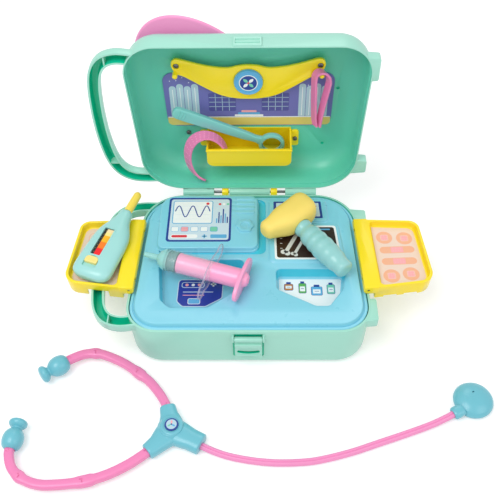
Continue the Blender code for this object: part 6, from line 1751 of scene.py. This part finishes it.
syringeSizes = {
    "tip": (-117.5, -7.1, 81.9), "aim": (0.950, -0.312, 0.0), "tintedTo": 29,
    "outer": [(1.9, 0), (2.5, 0.5), (2.9, 1.4), (3.4, 9), (3.6, 15.2), (3.9, 16.2), (5.0, 17.2), (7.2, 18.4),
              (9.2, 20.2), (10.9, 22.6), (12.2, 25.2), (13.0, 27.8), (13.5, 30.4), (13.6, 32.5), (13.6, 82.4),
              (13.4, 83)],
    "bore": [(1.3, -3), (1.3, 0), (1.6, 15), (2.6, 18.0), (6.0, 19.6), (8.4, 21.8), (10.0, 24.4),
             (11.2, 27.4), (12.1, 30.4), (12.3, 33), (12.3, 86)],
    "flange": (39.5, 13.7, 78.5, 81.0), "press": (29.5, 12.6, 114.4, 119.0),
    "seal": [(0.1, 29), (7, 29.0), (9.2, 29.8), (10.5, 30.4), (11.6, 32), (11.9, 33.4), (11.6, 34.2),
             (11.2, 34.6), (11.2, 36.4), (11.6, 36.9), (11.9, 37.6), (11.9, 40.2), (11.6, 40.6), (6, 41.2)],
    "rod": [(10.6, 41.6), (11.3, 41.8), (11.7, 42.4), (11.7, 43.8), (11.3, 44.4), (11.2, 45), (11.2, 111.6),
            (11.35, 113.4), (11.8, 115.2)],
}


# a wavy finger flange: an oval plate with rounded edges, waisted where fingers rest
def wingPlate(name, half, high, low, top, edge, waist):
    slight = edge * 0.3
    rings = [(low, half - edge, high - edge), (low + slight, half - slight, high - slight),
             (low + edge, half, high), (top - edge, half, high), (top - slight, half - slight, high - slight),
             (top, half - edge, high - edge)]
    piece = stack(name, rings, 72, 2.3)
    for vert in piece.data.vertices:
        share = abs(vert.co.x) / (half * mm)
        pinch = 1 - waist * math.exp(-((share - 0.56) / 0.17) ** 2)
        vert.co.y *= pinch
    return piece


def buildSyringe():
    sizes = syringeSizes
    aim = Vector(sizes["aim"]).normalized()
    place = along(sizes["tip"], aim, (-aim.y, aim.x, 0))
    barrel = turned("barrel", sizes["outer"], 72)
    half, high, low, top = sizes["flange"]
    weld(barrel, wingPlate("flange", half, high, low, top, 0.8, 0.3))
    carve(barrel, turned("bore", sizes["bore"], 72))
    soften(barrel, 0.2, 2, 50)
    barrel.data.materials.append(clear)
    barrel.data.materials.append(tinted)
    openMesh(barrel)
    pickFaces(barrel, lambda co, normal: co.z < sizes["tintedTo"])
    barrel.active_material_index = 1
    bpy.ops.object.material_slot_assign()
    closeMesh()
    barrel.data.materials.append(rimGrey)
    openMesh(barrel)
    pickFaces(barrel, lambda co, normal: low - 0.1 < co.z < top + 0.1 and abs(normal.z) < 0.8
              and co.xy.length > 13.7)
    barrel.active_material_index = 2
    bpy.ops.object.material_slot_assign()
    closeMesh()
    put(barrel, place)
    finish(barrel, None, "syringe", ["syringe_barrel"], 40)
    seal = turned("seal", sizes["seal"], 72)
    for i in range(8):
        angle = math.radians(45 * i)
        rib = block((-0.55, -0.55, 30), (0.55, 0.55, 33.2))
        for vert in rib.data.vertices:
            vert.co.x += 11.75 * mm
        carve(seal, put(rib, Matrix.Rotation(angle, 4, "Z")))
    put(seal, place)
    finish(seal, grey, "plunger", ["syringe_seal"], 30)
    plunger = turned("plunger", sizes["rod"], 72)
    half, high, low, top = sizes["press"]
    weld(plunger, wingPlate("press", half, high, low, top, 1.4, 0.0))
    boss = [(top - 1, 10.5, 9.0), (top + 0.6, 9.2, 8.2), (top + 3.4, 7.0, 6.6), (top + 4.2, 6.2, 5.8),
            (top + 4.5, 5.4, 5.0)]
    weld(plunger, stack("boss", boss, 56))
    dent = stack("dent", [(top - 1.4, 0.6, 0.6), (top + 4.8, 5.6, 5.2)], 4)
    carve(plunger, dent)
    put(plunger, place)
    finish(soften(plunger, 0.3, 2, 45), bubblegum, "plunger", ["syringe_plunger"])


hammerSizes = {
    "tip": (21, 22, 89.5), "aim": (0.753, 0.657, 0.0),
    "head": [(-5.4, 0, 3.5, 4), (-5.1, 0, 5.2, 5.8), (-4.2, 0, 7, 7.6), (-2.9, 0.2, 8.4, 9.1),
             (-1, 0.4, 9.8, 10.6), (1.6, 0.1, 10.2, 11.4), (5, -0.6, 10.9, 12.1), (9, -1.2, 12.1, 13.1),
             (14, -1.9, 14.1, 14.4), (19, -2.4, 16.1, 15.5), (24, -2.7, 17.4, 16.3), (29, -3.0, 17.7, 16.9),
             (34, -3.1, 17.8, 17.2), (40, -3.0, 18.0, 17.4), (45, -2.6, 18.2, 17.5), (49, -2.2, 18.3, 17.4),
             (53, -1.8, 18.2, 17.3), (56.5, -1.4, 17.7, 16.9), (59, -1.1, 16.9, 16.2), (61, -0.9, 16.0, 15.4),
             (62.6, -0.7, 14.8, 14.2), (63.7, -0.6, 13.2, 12.6), (64.2, -0.5, 11.6, 11.0)],
    "gripAim": (0.573, -0.819, 0.0), "middle": 38, "drop": 4,
    "grip": [(6.0, 9.7), (6.0, 19.7), (10.2, 19.7), (10.9, 20.2), (11, 21), (11, 24.4), (10.6, 25.4),
             (9.9, 26.6), (9.8, 28.2), (10.4, 30), (11.4, 32), (12.4, 34), (12.95, 36.6), (13.1, 39),
             (12.8, 41), (12.5, 42.6), (12.8, 44.4), (13.5, 46.6), (13.7, 48), (13.5, 50), (13.05, 52),
             (13.0, 53), (13.4, 55.4), (13.95, 58), (14.0, 59), (13.7, 62), (13.2, 64.4), (13.3, 67),
             (13.6, 70), (13.3, 72.4), (12.65, 75), (12.5, 78), (12.6, 81), (12.2, 83.6), (11.2, 86),
             (10.65, 88.4), (10.55, 90), (10.6, 96), (10.4, 97.4), (9.8, 98.4), (8.8, 99.2), (7.4, 99.75)],
}


# rings given as (distance, sideways shift, half width, half height) about an aim, as one bridged skin
def ringSkin(name, rings, power, sides=56):
    return stack(name, [(s, wide, high, shift, 0) for s, shift, wide, high in rings], sides, power)


def buildHammer():
    sizes = hammerSizes
    aim = Vector(sizes["aim"]).normalized()
    place = axes(sizes["tip"], (-aim.y, aim.x, 0), (0, 0, 1), aim)
    head = put(ringSkin("head", sizes["head"], 2.7), place)
    gripAim = Vector(sizes["gripAim"]).normalized()
    middle = Vector(sizes["tip"]) + aim * sizes["middle"] - Vector((0, 0, sizes["drop"]))
    for start, radius in ((19.4, 11.4), (9.0, 6.3)):
        carve(head, rod(radius, middle + gripAim * start, middle + gripAim * 30.4, 48))
    finish(soften(head, 0.4, 2, 50), softYellow, "hammer", ["hammer_head"], 40)
    grip = turned("grip", sizes["grip"], 64)
    put(grip, along(middle, gripAim, (-gripAim.y, gripAim.x, 0)))
    finish(grip, teal, "hammer", ["hammer_grip"], 50)


thermoSizes = {
    "neck": (-143.2, 51.7, 86.95), "length": 98.2, "halfWide": 23.2, "halfHigh": 9.8,
    "body": [(-0.0163, 0.1983, 0.4490), (-0.0061, 0.2586, 0.5714), (0.0204, 0.3190, 0.6735),
             (0.0560, 0.3450, 0.7050), (0.0916, 0.3707, 0.7347), (0.1380, 0.4330, 0.7720),
             (0.1833, 0.5172, 0.8163), (0.2340, 0.6310, 0.8700), (0.2851, 0.7414, 0.9184),
             (0.3360, 0.8210, 0.9540), (0.3870, 0.8793, 0.9796), (0.4580, 0.9150, 0.9950),
             (0.5295, 0.9397, 1.0), (0.6925, 0.9741, 1.0), (0.7700, 0.9890, 0.9950), (0.8452, 1.0, 0.9796),
             (0.8850, 0.9900, 0.9630), (0.9165, 0.9655, 0.9388), (0.9430, 0.9180, 0.8880),
             (0.9633, 0.8448, 0.8163), (0.9790, 0.7430, 0.7120), (0.9898, 0.6207, 0.5918),
             (0.9970, 0.4950, 0.4500), (1.0, 0.3707, 0.3265)],
    "window": (33.0, 71.4, -9.0, 3.0, 2.4), "slot": (73.4, 88.4, -11.4, 5.4, 3.4), "button": 8.6,
    "probe": [(3.2, 0), (3.3, 0.3), (3.3, 8.6), (4.5, 8.6), (4.9, 9.0), (4.9, 20), (4.86, 26), (4.75, 32),
              (4.7, 34), (4.5, 35.4), (4.2, 36.4), (3.6, 37.4), (2.8, 38.2), (1.6, 38.65)],
}


def thermoFrame():
    neck = Vector(thermoSizes["neck"])
    aim = Vector((-0.350, -0.937, -0.083)).normalized()
    across = Vector((-aim.y, aim.x, 0)).normalized()
    up = across.cross(aim)
    if up.z < 0:
        up = -up
    return neck, aim, across, up


# drawn as (along the body, across it) with height out of its face
def padOn(name, span, side, low, high, radius, edge=0.0):
    neck, aim, across, up = thermoFrame()
    radii = radius if isinstance(radius, list) else [radius] * 4
    piece = slab(name, rect(span[0], side[0], span[1], side[1]), radii, low, high, edge, segments=7)
    return put(piece, axes(neck, aim, across, up))


def buildThermometer():
    sizes = thermoSizes
    neck, aim, across, up = thermoFrame()
    body = stack("body", [(s * sizes["length"], wide * sizes["halfWide"], high * sizes["halfHigh"])
                          for s, wide, high in sizes["body"]], 60, 2.6)
    put(body, axes(neck, across, up, aim))
    top = sizes["halfHigh"]
    s0, s1, t0, t1, deep = sizes["window"]
    carve(body, padOn("window", (s0, s1), (t0, t1), top - deep, top + 3, 1.4))
    b0, b1, c0, c1, sunk = sizes["slot"]
    carve(body, padOn("slot", (b0, b1), (c0, c1), top - sunk, top + 3, [8, 2.2, 2.2, 8]))
    carve(body, rod(3.6, neck - aim * 3, neck + aim * 6.9, 32))
    rim = padOn("rim", (s0 - 1.6, s1 + 1.6), (t0 - 1.6, t1 + 1.6), top - 1.2, top + 0.12, 2.6, 0.3)
    carve(rim, padOn("window", (s0, s1), (t0, t1), top - 4, top + 3, 1.4))
    weld(body, rim)
    finish(soften(body, 0.35, 3, 50), paleTeal, "thermometer", ["thermometer_body"], 40)
    scaleLow = top - deep + 0.1
    gap = 0.5
    face = scaleLow + 0.9
    scale = padOn("scale", (s0 + gap, s1 - gap), (t0 + gap, t1 - gap), scaleLow, face, 1, 0.15)
    parts = [dress(scale, inkBlack)]

    def tile(span, side, layer, ink):
        return dress(padOn("ink", span, side, face - 0.2, face + 0.03 * (layer + 1), 0.15), ink)

    colours = [inkCream, creamYellow, inkOrange, inkOrange, inkCoral, inkCoral, inkHot, inkHot]
    wide = (s1 - s0 - 1.8) / len(colours)
    for i, ink in enumerate(colours):
        a = s0 + 0.9 + wide * i
        parts.append(tile((a, a + wide), (-5.4, 2.4), i % 2, ink))
    for i in range(7):
        a = s0 + 4 + i * (s1 - s0 - 8) / 6
        parts.append(tile((a - 0.15, a + 0.15), (-7.2, -6.2), 1, inkStraw))
    finish(joinUp(parts), None, "thermometer", ["thermometer_scale"], 20)
    start = b0 + 0.8
    button = slab("button", rect(start, c0 + 0.8, start + sizes["button"], c1 - 0.8), [7.2, 1, 1, 7.2],
                  top - sunk + 0.1, top + 0.8, 0.9, segments=9)
    put(button, axes(neck, aim, across, up))
    for i in range(3):
        a = start + 3.4 + 1.5 * i
        carve(button, padOn("line", (a - 0.2, a + 0.2), (c0 + 3, c1 - 3), top + 0.45, top + 2, 0.1))
    finish(button, creamYellow, "thermometer_switch", ["thermometer_button"], 35)
    probe = turned("probe", sizes["probe"], 48)
    put(probe, along(neck + aim * 6.6, -aim))
    finish(soften(probe, 0.25, 2, 50), paleYellow, "thermometer", ["thermometer_probe"], 40)


buildSyringe()
buildHammer()
buildThermometer()
print("instruments done")


# stethoscope: a Y-piece, two channelled ear arms with their ear pieces, and the chest piece

yokeSizes = {
    "centre": (-80, -186, 9), "boss": [(6, 12.4), (8.8, 11.9), (9.4, 11.5), (9.7, 10.9)],
    "dish": [(9.15, 8.4), (9.3, 8.9), (12, 9.2)],
    "profile": [(6, -8.1), (10.6, -8.0), (11.8, -7.6), (13.2, -6.4), (14.4, -5.0), (15.0, -2.6), (15.2, 0),
                (15.0, 2.6), (14.4, 5.0), (13.4, 6.4), (12.4, 7.4), (11.9, 8.0), (11.7, 8.5), (11.2, 8.8),
                (9, 8.95)],
    "arms": [
        [(0.0, 0.0), (-1.5, 9.0), (-3.6, 17.0), (-5.8, 25.5)],
        [(0.0, 0.0), (-6.5, -8.0), (-14.0, -16.5), (-22.4, -24.2)],
        [(0.0, 0.0), (11.0, -6.0), (21.0, -11.0), (31.2, -16.2)],
    ],
    "widths": [
        [(14.6, 8.0), (12.6, 7.7), (9.6, 7.4), (8.6, 7.4)],
        [(14.6, 8.0), (13.0, 7.7), (9.8, 7.4), (8.4, 7.2)],
        [(14.6, 8.0), (13.2, 7.8), (11.4, 7.7), (11.2, 7.8)],
    ],
}
armSizes = {
    "half": 5.0, "high": 4.6, "step": 1.15, "socket": 5.9,
    "top": [(-85.4, -163.6, 9), (-88.4, -156, 9), (-96, -143.6, 9), (-108, -129, 9.2), (-122, -117.6, 9.6),
            (-138, -106.4, 10), (-154, -98.4, 10.2), (-168.6, -93.6, 10.6), (-184, -94.6, 11.2),
            (-197, -100.8, 11.8), (-206, -107, 12.2)],
    "low": [(-99.6, -207.4, 9), (-106, -213.4, 9), (-121, -224.6, 9.2), (-141, -235.6, 9.6), (-164, -243, 10),
            (-188, -246.2, 10.2), (-208, -246.4, 10.6), (-225, -240.6, 11), (-237.6, -229.6, 11.4),
            (-243.6, -215, 11.8), (-243.4, -204.6, 12.2)],
    "tips": {"top": (-221, -118.4, 12.4), "low": (-241.4, -186, 12.4)},
    "tip": [(2.6, -6.05), (4, -6.0), (6.2, -5.2), (8.6, -3.4), (9.7, -1.6), (10.6, 1), (11.1, 3.6), (11.2, 6),
            (11.0, 8.4), (10.4, 11), (9.2, 13.3), (7.6, 15.4), (6.3, 16.6), (5.5, 17.4), (5.4, 18),
            (5.7, 18.8), (6.6, 19.2), (8.0, 20.2), (9.1, 21.5), (9.7, 23.0), (9.8, 24.2), (9.4, 25.4),
            (8.6, 26.4), (7.2, 27.2), (5.2, 27.8), (3, 28.1), (1.2, 28.2)],
}
chestSizes = {
    "centre": (241.5, -149, 0), "end": (221, -164.6, 8.2), "bore": 4.1,
    "cup": [(3, 9.5), (8, 8.8), (12, 7.2), (16, 5.4), (17.2, 3.9), (18.0, 3.2), (18.8, 3.0), (19.8, 3.1),
            (20.6, 3.5), (21.1, 4.2), (21.4, 5.2), (21.3, 6.2), (20.8, 7.2), (20.0, 8.6), (19.0, 9.8),
            (18.0, 10.6), (16.0, 11.8), (13.0, 13.4), (10.0, 14.4), (7.0, 15.0), (4.0, 15.3), (1.0, 15.4)],
    "ring": [(14, 0.4), (17.2, 0.4), (18.4, 0.55), (19.2, 0.9), (19.6, 1.3), (19.8, 1.8), (19.7, 2.3),
             (19.2, 2.6), (18.0, 2.7), (16.9, 3.2), (15.6, 4.9), (9.6, 7.8), (2, 8.7)],
    "nozzle": [(-5.0, 5.2, 3.8), (-4.7, 6.0, 4.4), (-4.0, 6.7, 5.0), (-1.5, 7.0, 5.2), (2.0, 7.0, 5.2),
               (7.0, 6.4, 4.8)],
}


def buildYoke():
    sizes = yokeSizes
    cx, cy, cz = sizes["centre"]
    yoke = turned("yoke", sizes["profile"], 72)
    for route, widths in zip(sizes["arms"], sizes["widths"]):
        path = easy([(x, y, 0) for x, y in route], 5)
        count = len(path) - 1
        scales = []
        for i in range(count + 1):
            t = i / count * (len(widths) - 1)
            k = min(int(t), len(widths) - 2)
            share = t - k
            scales.append(tuple(a + (b - a) * share for a, b in zip(widths[k], widths[k + 1])))
        ahead = (path[-1] - path[-2]).normalized()
        for push, shrink in ((0.5, 0.15), (0.9, 0.6), (1.2, 1.2)):
            path.append(path[count] + ahead * push)
            scales.append((scales[count][0] - shrink, scales[count][1] - shrink))
        weld(yoke, sweep("arm", path, ovalSection(1, 1, 2.7, 40), sizes=scales))
    boss, dish = ([(z, radius, radius, 0.8, 1) for z, radius in sizes[key]] for key in ("boss", "dish"))
    weld(yoke, stack("boss", boss, 72))
    carve(yoke, stack("dish", dish, 72))
    put(yoke, Matrix.Translation(Vector(sizes["centre"]) * mm))
    for label in ("top", "low"):
        start = Vector(armSizes[label][0])
        ahead = (Vector(armSizes[label][1]) - start).normalized()
        carve(yoke, rod(armSizes["socket"], start - ahead * 1.6, start + ahead * 12, 40))
    start = Vector(tubeSizes["route"][0])
    ahead = (Vector(tubeSizes["route"][1]) - start).normalized()
    carve(yoke, rod(4.1, start - ahead * 0.1, start + ahead * 12, 40))
    finish(soften(yoke, 0.3, 2, 50), seaTeal, "stethoscope", ["yoke"], 40)
    disc = dress(turned("badge", [(6.6, 0.05), (7.2, 0.4), (7.2, 0.9), (7.0, 1.35), (6.7, 1.6), (5.9, 1.6),
                                  (5.7, 1.45), (0.1, 1.45)], 60), inkNavy)
    parts = [disc, dress(stack("ink", [(1.2, 5.5, 5.5), (1.49, 5.5, 5.5)], 48), inkDrape)]
    for i in range(3):
        leaf = stack("ink", [(1.3, 2.0, 1.05, 2.6, 0), (1.53, 2.0, 1.05, 2.6, 0)], 28, 1.5)
        parts.append(dress(put(leaf, Matrix.Rotation(math.radians(90 + 120 * i), 4, "Z")),
                           (inkRose, inkMint, inkSky)[i]))
    parts.append(dress(stack("ink", [(1.3, 0.9, 0.9), (1.55, 0.9, 0.9)], 20), inkNavy))
    badge = put(joinUp(parts), Matrix.Translation(Vector((cx + 0.8, cy + 1.0, cz + 9.2)) * mm))
    finish(badge, None, "stethoscope", ["yoke_badge"], 30)


def buildEarArm(label):
    sizes = armSizes
    path = easy(sizes[label], 6)
    count = len(path) - 1
    scales = []
    for i in range(count + 1):
        t = i / count
        step = 0.0
        for low, high in ((0.36, 0.44), (0.70, 0.76)):
            step = max(step, min(1.0, (t - low) / 0.006 + 0.5, (high - t) / 0.03) * sizes["step"])
        scales.append((sizes["half"] + max(0.0, step), sizes["high"] + min(0.35, max(0.0, step) * 0.4)
                       - (0.1 if t < 0.06 else 0.0)))
    arm = sweep("arm", path, ovalSection(1, 1, 3.0, 32), sizes=scales)
    start, stop = int(count * 0.12), int(count * 0.88)
    under = [p - Vector((0, 0, 5.4)) for p in path[start:stop]]
    carve(arm, sweep("channel", under, ovalSection(2.6, 4.4, 4.0, 16)))
    for share in (0.07, 0.405, 0.725, 0.93):
        here = path[int(count * share)]
        ahead = (path[int(count * share) + 1] - here).normalized()
        side = ahead.cross(Vector((0, 0, 1))).normalized()
        notch = block((-0.6, -2.6, 3.83), (0.6, 1.43, 7))
        hook = block((-0.62, 0.4, 3.87), (2.6, 1.6, 7))
        for cutter in (notch, hook):
            carve(arm, put(cutter, axes(here, ahead, side, (0, 0, 1))))
    finish(soften(arm, 0.25, 2, 50), pink, "stethoscope", ["ear_arm_" + label], 40)
    end, tip = path[-1], Vector(sizes["tips"][label])
    ball = put(turned("ball", sizes["tip"], 56), along(end, tip - end))
    back = (path[-1] - path[-2]).normalized()
    carve(ball, rod(5.6, end - back * 10, end + back * 2.6, 40))
    finish(soften(ball, 0.25, 2, 60), seaTeal, "stethoscope", ["ear_tip_" + label], 50)


def buildChest():
    sizes = chestSizes
    centre, end = Vector(sizes["centre"]), Vector(sizes["end"])
    aim = (end - Vector(tubeSizes["route"][-2])).normalized()
    cup = put(turned("cup", sizes["cup"], 80), Matrix.Translation(centre * mm))
    stations = [end + aim * s for s, wide, high in sizes["nozzle"]]
    scales = [(wide, high) for s, wide, high in sizes["nozzle"]]
    weld(cup, sweep("nozzle", stations, ovalSection(1, 1, 2.3, 36), sizes=scales))
    carve(cup, rod(sizes["bore"], end - aim * 12, end + aim * 0.1, 40))
    slot = stack("slot", [(11, 1.5, 0.8), (18, 1.5, 0.8)], 24, 2.6)
    turn = Matrix.Rotation(0.5, 4, "Z")
    carve(cup, put(slot, Matrix.Translation((centre + Vector((-1, 5, 0))) * mm) @ turn))
    finish(soften(cup, 0.4, 3, 50), seaTeal, "stethoscope", ["chest_cup"], 45)
    ring = put(turned("ring", sizes["ring"], 80), Matrix.Translation(centre * mm))
    finish(ring, seaTeal, "stethoscope", ["chest_ring"], 45)


buildYoke()
for label in ("top", "low"):
    buildEarArm(label)
buildChest()
print("stethoscope done")
